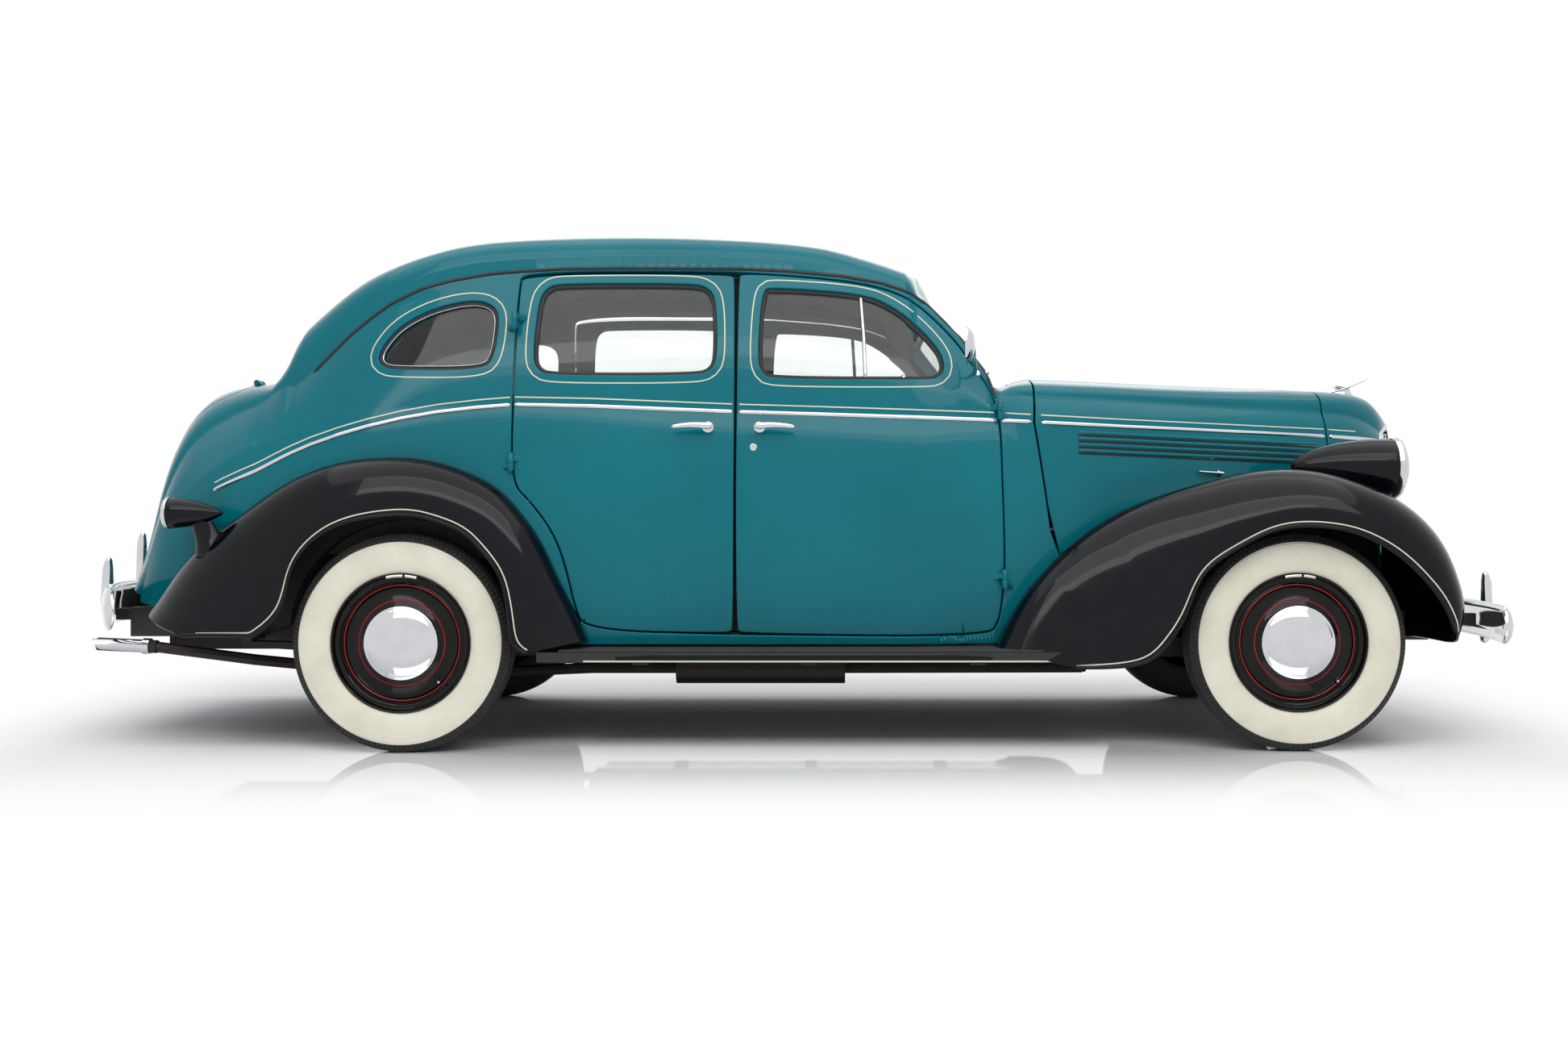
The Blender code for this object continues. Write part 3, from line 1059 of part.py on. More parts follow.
def make_front_axle():
    """Front axle beam with leaf springs, knuckles and tie rod."""
    beam = box("front_axle", (FRONT_AXLE_X - 0.030, -0.50, 0.250), (FRONT_AXLE_X + 0.030, 0.50, 0.2952))
    for sign in (1.0, -1.0):
        end = box("end", (FRONT_AXLE_X - 0.025, sign * 0.48, 0.280), (FRONT_AXLE_X + 0.025, sign * 0.640, 0.322))
        joined(beam, end)
        spring = side_prism("spring", [(2.50, 0.335), (2.921, 0.292), (3.30, 0.335), (3.30, 0.350), (2.921, 0.330),
                                       (2.50, 0.350)],
                            sign * 0.3878, sign * 0.4378)
        joined(beam, spring)
    finish(beam, STEEL, smooth=False)
    knuckle = rod("knuckle_right", (FRONT_AXLE_X, -KINGPIN_Y, 0.3225), (FRONT_AXLE_X, -KINGPIN_Y, 0.405), 0.030, 12)
    spindle = rod("spindle", (FRONT_AXLE_X, -KINGPIN_Y, WHEEL_CENTRE_Z),
                  (FRONT_AXLE_X, -(FRONT_TRACK_HALF + HUB_FACE - SEAT_GAP), WHEEL_CENTRE_Z),
                  SPINDLE_RADIUS, 12)
    arm = box("arm", (FRONT_AXLE_X - ARM_LENGTH - 0.018, -KINGPIN_Y - 0.014, 0.3228),
              (FRONT_AXLE_X, -KINGPIN_Y + 0.014, 0.345))
    drop = box("drop", (FRONT_AXLE_X - ARM_LENGTH - 0.018, -KINGPIN_Y - 0.014, TIE_Z + TIE_RADIUS + 0.0005),
               (FRONT_AXLE_X - ARM_LENGTH + 0.018, -KINGPIN_Y + 0.014, 0.340))
    joined(arm, drop)
    joined(knuckle, spindle, arm)
    finish(knuckle, STEEL)
    finish(mirrored(knuckle, "knuckle_left"), STEEL)
    tie = rod("tie_rod", (FRONT_AXLE_X - ARM_LENGTH, -KINGPIN_Y - 0.010, TIE_Z),
              (FRONT_AXLE_X - ARM_LENGTH, KINGPIN_Y + 0.010, TIE_Z), TIE_RADIUS, 12)
    finish(tie, STEEL)


def make_rear_axle():
    """Rear axle with differential, propeller shaft and leaf springs."""
    tube = rod("rear_axle", (REAR_AXLE_X, -(REAR_TRACK_HALF + HUB_FACE - SEAT_GAP), WHEEL_CENTRE_Z),
               (REAR_AXLE_X, REAR_TRACK_HALF + HUB_FACE - SEAT_GAP, WHEEL_CENTRE_Z), 0.036, 12)
    ball = turned("ball", [(-0.11, 0.0), (-0.10, 0.06), (-0.05, 0.115), (0.03, 0.120), (0.09, 0.07), (0.13, 0.045),
                           (0.13, 0.0)], (REAR_AXLE_X, 0.0, WHEEL_CENTRE_Z), (1.0, 0.0, 0.0), 14)
    shaft = rod("shaft", (REAR_AXLE_X + 0.10, 0.0, 0.350), (REAR_AXLE_X + 1.98, 0.0, 0.310), 0.016, 10)
    joined(tube, ball, shaft)
    for sign in (1.0, -1.0):
        joined(tube, side_prism("spring", [(-0.60, 0.325), (0.0, 0.288), (0.62, 0.300), (0.62, 0.318), (0.0, 0.330),
                                           (-0.60, 0.343)], sign * 0.520, sign * 0.575))
    return finish(tube, STEEL)


def make_engine():
    """Engine and gearbox as one plain block."""
    block = box("engine_block", (REAR_AXLE_X + 2.32, -0.13, 0.4003), (REAR_AXLE_X + 3.00, 0.13, 0.98))
    gearbox = box("gearbox", (REAR_AXLE_X + 2.20, -0.10, 0.42), (REAR_AXLE_X + 2.34, 0.10, 0.66))
    joined(block, gearbox)
    return finish(block, STEEL, smooth=False)


def make_exhaust():
    """Exhaust pipe with muffler and bright tip."""
    path = ((2.40, 0.24, 0.36), (2.30, 0.28, 0.225), (1.45, 0.30, 0.225), (0.55, 0.30, 0.225), (0.25, 0.33, 0.215),
            (-0.30, 0.34, 0.225), (-0.60, 0.46, 0.270), (-0.95, 0.48, 0.318))
    pipe = None
    for start, end in zip(path, path[1:]):
        a = Vector((start[0] + REAR_AXLE_X, -start[1], start[2]))
        b = Vector((end[0] + REAR_AXLE_X, -end[1], end[2]))
        piece = rod("exhaust", a, b + (b - a).normalized() * 0.008, 0.019, 8)
        pipe = piece if pipe is None else joined(pipe, piece)
    muffler = rod("muffler", (REAR_AXLE_X + 1.45, -0.30, 0.225), (REAR_AXLE_X + 0.85, -0.30, 0.225), 0.055, 12)
    tip = rod("tip", (REAR_AXLE_X - 0.93, -0.48, 0.3165), (REAR_AXLE_X - 1.135, -0.48, 0.3265), 0.023, 10)
    joined(pipe, muffler, tip)
    pipe.name = "exhaust"
    return finish(pipe, EXHAUST)


def make_seats():
    """Front and rear bench seats."""
    front = [(1.45, FLOOR_TOP + SEAT_GAP), (1.45, 0.640), (1.42, 0.700), (1.30, 0.715), (1.06, 0.690), (0.985, 1.090),
             (0.950, 1.120), (0.900, 1.110), (0.880, 1.070), (0.880, FLOOR_TOP + SEAT_GAP)]
    finish(side_prism("front_seat", front, -0.52, 0.52), CLOTH)
    rear = [(0.560, FLOOR_TOP + SEAT_GAP), (0.600, 0.640), (0.560, 0.700), (0.420, 0.720), (0.130, 0.690), (0.000, 1.130),
            (-0.050, 1.150), (-0.120, 1.130), (-0.130, 1.080), (-0.130, 0.5453), (0.390, 0.5453), (0.545, FLOOR_TOP + SEAT_GAP)]
    finish(side_prism("rear_seat", rear, -0.56, 0.56), CLOTH)


def make_steering_wheel():
    """Steering wheel with three spokes."""
    steps = 32
    rings = []
    direction = COLUMN_DIRECTION
    side = Vector((0.0, 1.0, 0.0))
    up = side.cross(direction).normalized()
    centre = Vector(WHEEL_HUB)
    for i in range(steps):
        angle = math.tau * i / steps
        out = side * math.cos(angle) + up * math.sin(angle)
        ring = []
        for k in range(6):
            turn = math.tau * k / 6
            ring.append(centre + out * (STEERING_WHEEL_RADIUS + STEERING_RIM * math.cos(turn))
                        + direction * (STEERING_RIM * math.sin(turn)))
        rings.append(ring)
    rim = ring_solid("steering_wheel", rings, closed=True)
    hub = rod("hub", centre - direction * 0.02, centre + direction * (0.05 - SEAT_GAP), 0.030, 12)
    joined(rim, hub)
    for angle_degrees in (90.0, 210.0, 330.0):
        angle = math.radians(angle_degrees)
        out = side * math.cos(angle) + up * math.sin(angle)
        joined(rim, rod("spoke", centre + out * 0.015, centre + out * STEERING_WHEEL_RADIUS, 0.008, 6))
    return finish(rim, STEEL)


def main():
    """Build every piece."""
    for thing in list(bpy.data.objects):
        bpy.data.objects.remove(thing, do_unlink=True)
    body = make_body()
    make_glass()
    make_doors(body)
    make_trunk_lid(body)
    make_hood(body)
    make_grille()
    make_front_fender()
    make_rear_fender()
    make_frame()
    make_bumper("front_bumper", FRONT_BUMPER_X, 0.10, 0.345, 0.470, 1.0, ((0.38, 0.32, 0.575), (-0.38, 0.32, 0.575)))
    make_bumper("rear_bumper", REAR_BUMPER_X, 0.22, 0.390, 0.530, -1.0,
                ((0.38, 0.38, 0.625), (-0.38, 0.38, 0.625), (0.0, 0.38, 0.71)))
    make_wheels()
    make_front_axle()
    make_rear_axle()
    make_engine()
    make_exhaust()
    make_seats()
    make_steering_wheel()


main()
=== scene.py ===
"""Look scene of a four-door touring sedan with separate fenders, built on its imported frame."""
import logging
import math
from dataclasses import dataclass, field
from enum import Enum
from typing import Callable, Iterable, Optional, Sequence

import bmesh
import bpy
import numpy as np
from mathutils import Matrix, Vector
from mathutils.bvhtree import BVHTree
from mathutils.geometry import delaunay_2d_cdt


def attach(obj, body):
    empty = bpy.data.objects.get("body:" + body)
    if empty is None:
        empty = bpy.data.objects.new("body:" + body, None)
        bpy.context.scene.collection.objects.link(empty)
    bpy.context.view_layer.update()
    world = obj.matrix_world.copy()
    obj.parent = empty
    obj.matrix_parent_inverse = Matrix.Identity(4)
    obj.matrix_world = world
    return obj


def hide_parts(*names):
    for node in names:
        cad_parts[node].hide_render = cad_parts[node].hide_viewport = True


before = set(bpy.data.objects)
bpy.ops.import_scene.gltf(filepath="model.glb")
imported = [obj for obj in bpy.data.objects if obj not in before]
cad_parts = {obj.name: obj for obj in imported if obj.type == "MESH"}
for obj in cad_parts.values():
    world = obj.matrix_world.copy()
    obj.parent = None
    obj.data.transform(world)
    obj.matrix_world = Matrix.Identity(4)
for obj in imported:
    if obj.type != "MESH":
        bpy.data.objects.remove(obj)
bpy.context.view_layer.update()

LOG = logging.getLogger("sedan")
Point = tuple[float, float, float]
Outline = Sequence[tuple[float, float]]

REAR_AXLE_X = -1.257
FRONT_AXLE_X = 1.664
WHEEL_CENTRE_Z = 0.357
REAR_TRACK_HALF = 0.75
FRONT_TRACK_HALF = 0.72
FENDER_OUT = 0.885
FENDER_FACE = FENDER_OUT - 0.0105
DOOR_GAP = 0.005
WALL = 0.05
ARCH_RADIUS = 0.4
HOOD_START_X = 2.18
NOSE_START_X = 3.178
MIDDLE_BAND = 0.0006
LIP_INSET = 0.0165
EDGE_CHUNK = 64
PROBE = 0.005
ON_SKIN = 0.003
EDGE_CLEAR = 0.007
TAIL_PIPE_Y = -0.48
PHOTO_WIDE = 1945.0
PHOTO_CENTRE = (972.5, 648.5)
PHOTO_AXIS = (1013.0, 632.0)
FOCAL_PIXELS = 1912.0
SENSOR_WIDE = 36.0
BUMPER_HALF = 0.78
DASH_HALF = 0.555
DASH_BOW = 0.02
ORIGIN = (0.0, 0.0, 0.0)
FORWARD = (1.0, 0.0, 0.0)
BACKWARD = (-1.0, 0.0, 0.0)
TO_RIGHT = (0.0, -1.0, 0.0)
TO_LEFT = (0.0, 1.0, 0.0)

# Body rows, tail to cowl: bottom, side, belt, rail points (x from the rear axle, y, z)
# and the top centre (x, z), then how round the part above the rail is
BODY_ROWS = (((-0.98, 0.5, 0.47), (-0.98, 0.505, 0.48), (-0.98, 0.5, 0.495), (-1.02, 0.46, 0.51),
    (-1.13, 0.52), 1.0), ((-0.95, 0.52, 0.465), (-0.95, 0.53, 0.51), (-0.95, 0.525, 0.56), (-0.98, 0.47, 0.6),
    (-1.084, 0.641), 1.0), ((-0.9, 0.55, 0.46), (-0.9, 0.57, 0.56), (-0.9, 0.56, 0.68), (-0.92, 0.5, 0.76),
    (-1.02, 0.874), 1.0), ((-0.84, 0.585, 0.455), (-0.84, 0.605, 0.61), (-0.84, 0.585, 0.79),
    (-0.86, 0.505, 0.92), (-0.95, 1.065), 1.0), ((-0.77, 0.615, 0.45), (-0.77, 0.635, 0.64),
    (-0.77, 0.605, 0.86), (-0.79, 0.5, 1.03), (-0.893, 1.166), 1.0), ((-0.69, 0.64, 0.44),
    (-0.69, 0.665, 0.67), (-0.69, 0.63, 0.92), (-0.71, 0.5, 1.09), (-0.84, 1.214), 1.0),
    ((-0.6, 0.665, 0.43), (-0.6, 0.69, 0.69), (-0.6, 0.65, 0.97), (-0.62, 0.52, 1.13), (-0.75, 1.238), 1.0),
    ((-0.52, 0.68, 0.42), (-0.52, 0.705, 0.7), (-0.52, 0.663, 1.0), (-0.53, 0.54, 1.17), (-0.61, 1.243), 1.0),
    ((-0.45, 0.69, 0.41), (-0.45, 0.715, 0.71), (-0.45, 0.672, 1.03), (-0.45, 0.555, 1.22), (-0.5, 1.36),
    1.0), ((-0.34, 0.7, 0.4), (-0.34, 0.728, 0.72), (-0.34, 0.682, 1.06), (-0.34, 0.565, 1.29),
    (-0.357, 1.51), 1.0), ((-0.22, 0.71, 0.39), (-0.22, 0.738, 0.72), (-0.22, 0.69, 1.09),
    (-0.22, 0.575, 1.396), (-0.236, 1.6), 1.0), ((-0.08, 0.715, 0.38), (-0.08, 0.745, 0.72),
    (-0.08, 0.695, 1.11), (-0.08, 0.585, 1.493), (-0.069, 1.667), 1.0),
    ((0.11, 0.725, 0.36), (0.11, 0.75, 0.72), (0.11, 0.7, 1.13), (0.11, 0.595, 1.563), (0.11, 1.72), 1.0),
    ((0.35, 0.73, 0.345), (0.35, 0.755, 0.72), (0.35, 0.705, 1.138), (0.35, 0.6, 1.593), (0.4, 1.745), 1.0),
    ((0.7, 0.735, 0.345), (0.7, 0.76, 0.72), (0.7, 0.708, 1.128), (0.7, 0.605, 1.603), (0.7, 1.752), 1.0),
    ((1.08, 0.735, 0.345), (1.08, 0.762, 0.72), (1.08, 0.708, 1.114), (1.08, 0.605, 1.601), (1.08, 1.741),
    1.0), ((1.4, 0.73, 0.345), (1.4, 0.757, 0.72), (1.4, 0.703, 1.103), (1.4, 0.6, 1.58), (1.44, 1.705), 1.0),
    ((1.62, 0.725, 0.345), (1.62, 0.75, 0.72), (1.62, 0.695, 1.097), (1.6, 0.592, 1.546), (1.652, 1.652),
    1.0), ((1.72, 0.718, 0.345), (1.72, 0.742, 0.72), (1.72, 0.688, 1.094), (1.675, 0.583, 1.515),
    (1.752, 1.59), 0.85), ((1.76, 0.712, 0.345), (1.76, 0.738, 0.72), (1.76, 0.685, 1.093),
    (1.72, 0.582, 1.484), (1.785, 1.543), 0.15), ((1.83, 0.705, 0.345), (1.83, 0.73, 0.72),
    (1.83, 0.679, 1.091), (1.81, 0.598, 1.392), (1.88, 1.42), 0.0), ((1.9, 0.697, 0.345), (1.9, 0.722, 0.72),
    (1.9, 0.672, 1.09), (1.9, 0.618, 1.27), (1.99, 1.26), 0.0), ((1.97, 0.688, 0.345), (1.965, 0.712, 0.72),
    (1.955, 0.665, 1.088), (1.95, 0.622, 1.19), (2.035, 1.228), 0.5), ((2.08, 0.672, 0.35),
    (2.045, 0.698, 0.72), (2.015, 0.652, 1.085), (2.01, 0.6, 1.18), (2.06, 1.247), 1.0),
    ((2.26, 0.64, 0.36), (2.128, 0.678, 0.72), (2.078, 0.635, 1.083), (2.085, 0.575, 1.175), (2.092, 1.262),
    1.0))
HOOD_ROWS = (((2.163, 0.662, 0.64), (2.124, 0.66, 0.8), (2.084, 0.634, 1.083), (2.091, 0.574, 1.175),
    (2.098, 1.262), 1.0), ((2.32, 0.612, 0.712), (2.32, 0.6, 0.86), (2.32, 0.57, 1.078), (2.32, 0.505, 1.17),
    (2.32, 1.257), 1.0), ((2.55, 0.54, 0.8), (2.55, 0.525, 0.9), (2.55, 0.497, 1.07), (2.55, 0.43, 1.163),
    (2.55, 1.249), 1.0), ((2.8, 0.462, 0.855), (2.8, 0.45, 0.93), (2.8, 0.415, 1.062), (2.8, 0.35, 1.155),
    (2.8, 1.243), 1.0), ((3.0, 0.395, 0.865), (3.0, 0.385, 0.93), (3.0, 0.35, 1.057), (3.0, 0.285, 1.15),
    (3.0, 1.238), 1.0), ((3.172, 0.33, 0.85), (3.172, 0.322, 0.92), (3.172, 0.295, 1.052),
    (3.172, 0.235, 1.143), (3.172, 1.232), 1.0))
NOSE_ROWS = (((3.178, 0.35, 0.5), (3.178, 0.325, 0.86), (3.178, 0.293, 1.052), (3.178, 0.233, 1.143),
    (3.178, 1.232), 1.0), ((3.26, 0.325, 0.47), (3.26, 0.296, 0.84), (3.26, 0.266, 1.04),
    (3.26, 0.208, 1.135), (3.27, 1.228), 1.0), ((3.33, 0.29, 0.46), (3.33, 0.262, 0.82), (3.33, 0.236, 1.02),
    (3.33, 0.18, 1.12), (3.346, 1.219), 1.0), ((3.385, 0.245, 0.45), (3.39, 0.22, 0.8), (3.39, 0.196, 0.995),
    (3.39, 0.148, 1.095), (3.41, 1.195), 1.0), ((3.425, 0.18, 0.45), (3.44, 0.16, 0.78), (3.44, 0.142, 0.97),
    (3.44, 0.105, 1.065), (3.462, 1.145), 1.0), ((3.44, 0.09, 0.45), (3.475, 0.08, 0.77), (3.475, 0.07, 0.95),
    (3.475, 0.05, 1.035), (3.496, 1.092), 1.0), ((3.45, 0.03, 0.45), (3.49, 0.027, 0.77),
    (3.492, 0.024, 0.94), (3.492, 0.018, 1.005), (3.504, 1.036), 1.0))
REAR_DOOR = ((0.35, 1.572), (0.503, 1.583), (0.708, 1.585), (1.076, 1.583), (1.076, 0.3825), (0.585, 0.3955),
    (0.555, 0.474), (0.537, 0.562), (0.511, 0.657), (0.476, 0.732), (0.41, 0.819), (0.349, 0.876),
    (0.344, 1.138))
FRONT_DOOR = ((1.084, 1.587), (1.241, 1.579), (1.436, 1.562), (1.568, 1.539), (1.665, 1.5), (1.73, 1.448),
    (1.798, 1.378), (1.838, 1.326), (1.89, 1.25), (1.922, 1.205), (1.943, 1.154), (1.961, 1.063),
    (1.963, 0.88), (1.971, 0.597), (1.963, 0.496), (1.952, 0.42), (1.92, 0.372), (1.084, 0.3825))
FRONT_WINDOW = ((1.152, 1.3), (1.165, 1.529), (1.2, 1.54), (1.503, 1.52), (1.6, 1.48), (1.69, 1.412),
    (1.765, 1.325), (1.78, 1.267), (1.76, 1.235), (1.72, 1.225), (1.2, 1.225), (1.165, 1.245))
REAR_WINDOW_SIDE = ((0.403, 1.3), (0.415, 1.5), (0.445, 1.542), (0.49, 1.553), (0.93, 1.553), (0.985, 1.538),
    (1.012, 1.495), (1.018, 1.3), (1.0, 1.255), (0.95, 1.237), (0.465, 1.237), (0.42, 1.255))
QUARTER_WINDOW = ((-0.125, 1.299), (-0.105, 1.352), (-0.05, 1.415), (0.046, 1.465), (0.15, 1.492),
    (0.225, 1.494), (0.272, 1.47), (0.287, 1.423), (0.275, 1.3), (0.2385, 1.256), (-0.06, 1.258),
    (-0.105, 1.27))
WINDSHIELD_PANE = ((0.022, 1.284), (0.5, 1.262), (0.545, 1.275), (0.54, 1.36), (0.515, 1.44), (0.48, 1.462),
    (0.022, 1.519))
BACK_PANE = ((0.0, 1.39), (0.3, 1.392), (0.365, 1.42), (0.38, 1.465), (0.355, 1.515), (0.29, 1.545),
    (0.0, 1.56))
TRUNK_FRONT_X = -0.665
GRILLE_HALF = ((0.0, 0.5), (0.17, 0.5), (0.215, 0.56), (0.225, 0.8), (0.205, 0.98), (0.13, 1.075),
    (0.0, 1.115))
REAR_FENDER_TOP = ((-0.87, 0.455), (-0.821, 0.53), (-0.728, 0.644), (-0.571, 0.762), (-0.4, 0.875),
    (-0.233, 0.941), (-0.098, 0.961), (0.0, 0.962), (0.105, 0.947), (0.206, 0.913), (0.308, 0.856),
    (0.376, 0.785), (0.443, 0.69), (0.498, 0.575), (0.545, 0.48), (0.598, 0.366))
REAR_FENDER_LIP = ((-0.69, 0.388), (-0.52, 0.388), (-0.446, 0.391), (-0.376, 0.458), (-0.342, 0.577),
    (-0.28, 0.68), (-0.15, 0.752), (0.0, 0.774), (0.105, 0.762), (0.2, 0.727), (0.268, 0.67), (0.32, 0.603),
    (0.35, 0.527), (0.365, 0.43), (0.377, 0.362), (0.418, 0.331))
FRONT_FENDER_TOP = ((1.94, 0.339), (2.015, 0.48), (2.106, 0.595), (2.237, 0.713), (2.41, 0.809), (2.6, 0.872),
    (2.812, 0.919), (2.929, 0.924), (3.039, 0.91), (3.138, 0.882), (3.235, 0.842), (3.32, 0.785),
    (3.4, 0.695), (3.45, 0.58), (3.467, 0.467), (3.43, 0.352))
FRONT_FENDER_LIP = ((2.177, 0.285), (2.29, 0.286), (2.4, 0.302), (2.475, 0.363), (2.53, 0.455),
    (2.581, 0.574), (2.7, 0.67), (2.8, 0.72), (2.9, 0.739), (3.0, 0.734), (3.1, 0.709), (3.2, 0.655),
    (3.29, 0.575), (3.35, 0.5), (3.38, 0.44), (3.394, 0.4))
UNDER_FENDERS = (((-0.83, 0.455), (-0.78, 0.53), (-0.7, 0.62), (-0.551, 0.73), (-0.39, 0.842),
    (-0.223, 0.906), (-0.095, 0.926), (0.0, 0.927), (0.095, 0.914), (0.19, 0.88), (0.282, 0.828),
    (0.346, 0.764), (0.41, 0.676), (0.463, 0.562), (0.51, 0.47), (0.56, 0.366), (0.56, 0.2), (-0.83, 0.2)),
    ((1.975, 0.33), (2.035, 0.465), (2.122, 0.575), (2.18, 0.61), (2.32, 0.61), (2.32, 0.2), (1.975, 0.2)))
UNDER_NOSE = ((3.15, 0.8), (3.235, 0.79), (3.32, 0.73), (3.38, 0.65), (3.41, 0.55), (3.42, 0.46), (3.42, 0.3),
    (3.15, 0.3))


class Side(Enum):
    """The two sides of the car; the value is the sign of y."""

    RIGHT = -1.0
    LEFT = 1.0

    @property
    def word(self) -> str:
        """Name of the side as the frame spells it."""
        return self.name.lower()


def faired(knots: np.ndarray, values: np.ndarray, at: np.ndarray, stiffness: float,
        breaks: Sequence[float] = ()) -> np.ndarray:
    """Draw a fair curve near measured values, like a spline held by weights.

    Args:
        knots: rising places of the values.
        values: one row of numbers per place.
        at: places where the curve is read.
        stiffness: how much the curve resists bending.
        breaks: places where it may bend freely.

    Returns:
        One row of numbers per read place.
    """
    count = 360
    nodes = np.linspace(knots[0], knots[-1], count)
    step = nodes[1] - nodes[0]
    place = np.clip((knots - nodes[0]) / step, 0, count - 1.001)
    cell = place.astype(int)
    share = place - cell
    fit = np.zeros((len(knots), count))
    fit[np.arange(len(knots)), cell] = 1.0 - share
    fit[np.arange(len(knots)), cell + 1] += share
    bend = np.zeros((count - 2, count))
    for k in range(count - 2):
        weight = stiffness
        for there in breaks:
            if abs(nodes[k + 1] - there) < 0.045:
                weight = min(weight, 0.02)
        bend[k, k:k + 3] = np.array((1.0, -2.0, 1.0)) * math.sqrt(weight)
    solved = np.linalg.solve(fit.T @ fit + bend.T @ bend, fit.T @ values)
    return np.stack([np.interp(at, nodes, solved[:, c]) for c in range(values.shape[1])], axis=1)


def rounded(outline: Outline, sharp: float = 70.0, passes: int = 4, edge: float = 0.012) -> np.ndarray:
    """Round a closed outline by cutting its corners, keeping the sharp ones nearly square.

    Args:
        outline: corner points.
        sharp: turn in degrees above which a corner keeps only a small round.
        passes: how often corners are cut.
        edge: longest step of the result.

    Returns:
        Points of the rounded outline.
    """
    points = [np.array(p, float) for p in outline]
    work = []
    for i, here in enumerate(points):
        before, after = points[i - 1], points[(i + 1) % len(points)]
        a, b = here - before, after - here
        turn = abs(math.degrees(math.atan2(a[0] * b[1] - a[1] * b[0], float(a @ b))))
        if turn > sharp:
            size = 0.014
            work.append(here - a / np.linalg.norm(a) * size)
            work.append(here + b / np.linalg.norm(b) * size)
        else:
            work.append(here)
    for _ in range(passes):
        fresh = []
        for i, here in enumerate(work):
            after = work[(i + 1) % len(work)]
            fresh.append(here * 0.75 + after * 0.25)
            fresh.append(here * 0.25 + after * 0.75)
        work = fresh
    return even(np.array(work), edge, closed=True)


def even(points: np.ndarray, edge: float, closed: bool = False) -> np.ndarray:
    """Set points at even steps along a path.

    Args:
        points: the path.
        edge: wanted step.
        closed: whether the path returns to its start.

    Returns:
        Points with equal steps.
    """
    path = np.vstack([points, points[:1]]) if closed else np.asarray(points, float)
    lengths = np.concatenate([[0.0], np.cumsum(np.linalg.norm(np.diff(path, axis=0), axis=1))])
    count = max(3, int(round(lengths[-1] / edge)))
    at = np.linspace(0.0, lengths[-1], count + 1)
    if closed:
        at = at[:-1]
    return np.stack([np.interp(at, lengths, path[:, c]) for c in range(path.shape[1])], axis=1)


def grown(outline: np.ndarray, amount: float) -> np.ndarray:
    """Move a closed outline outward.

    Args:
        outline: points of the outline.
        amount: distance, negative to draw it in.

    Returns:
        Moved points.
    """
    before = np.roll(outline, 1, axis=0)
    after = np.roll(outline, -1, axis=0)
    area = float(np.sum(outline[:, 0] * after[:, 1] - after[:, 0] * outline[:, 1]))
    along = after - before
    along /= np.maximum(np.linalg.norm(along, axis=1, keepdims=True), 1e-9)
    out = np.stack([along[:, 1], -along[:, 0]], axis=1) * (1.0 if area > 0 else -1.0)
    return outline + out * amount


def unit(vectors: np.ndarray) -> np.ndarray:
    """Bring vectors on the last axis to length one."""
    return vectors / np.maximum(np.linalg.norm(vectors, axis=-1, keepdims=True), 1e-12)


def full_outline(half: Outline) -> list[tuple[float, float]]:
    """Close a half outline with its mirror image on the other side of the car."""
    return [*half, *[(-y, z) for y, z in reversed(half) if y > 0.0]]


def arc(turn: np.ndarray, wide: float, tall: float) -> np.ndarray:
    """Points of an oval at the given turns."""
    return np.stack([np.cos(turn) * wide, np.sin(turn) * tall], axis=1)


def crowned(wide: float, tall: float, foot: float, steps: int) -> np.ndarray:
    """Section of a strip with a round top, let into what it lies on by its foot."""
    return np.vstack([[(-wide, -foot)], arc(np.linspace(math.pi, 0.0, steps), wide, tall), [(wide, -foot)]])


def nearest_edge(points: np.ndarray, boundary: np.ndarray) -> tuple[np.ndarray, np.ndarray]:
    """Measure how far points are from an edge.

    Args:
        points: places to measure from.
        boundary: points of the edge.

    Returns:
        The distance of each place, and the number of the edge point nearest to it.
    """
    gap = np.full(len(points), 9.0)
    near = np.zeros(len(points), int)
    for k in range(0, len(boundary), EDGE_CHUNK):
        distance = np.linalg.norm(points[:, None] - boundary[k:k + EDGE_CHUNK][None], axis=2)
        best = distance.argmin(axis=1)
        value = distance[np.arange(len(points)), best]
        better = value < gap
        gap[better] = value[better]
        near[better] = best[better] + k
    return gap, near


def inside(points: np.ndarray, loop: np.ndarray) -> np.ndarray:
    """Tell which points lie inside a closed loop.

    Args:
        points: places to test.
        loop: corners of the loop.

    Returns:
        One truth value per point.
    """
    result = np.zeros(len(points), bool)
    ends = np.roll(loop, -1, axis=0)
    for (x0, y0), (x1, y1) in zip(loop, ends):
        if y0 == y1:
            continue
        crosses = (points[:, 1] < y0) != (points[:, 1] < y1)
        result ^= crosses & (points[:, 0] < (x1 - x0) * (points[:, 1] - y0) / (y1 - y0) + x0)
    return result


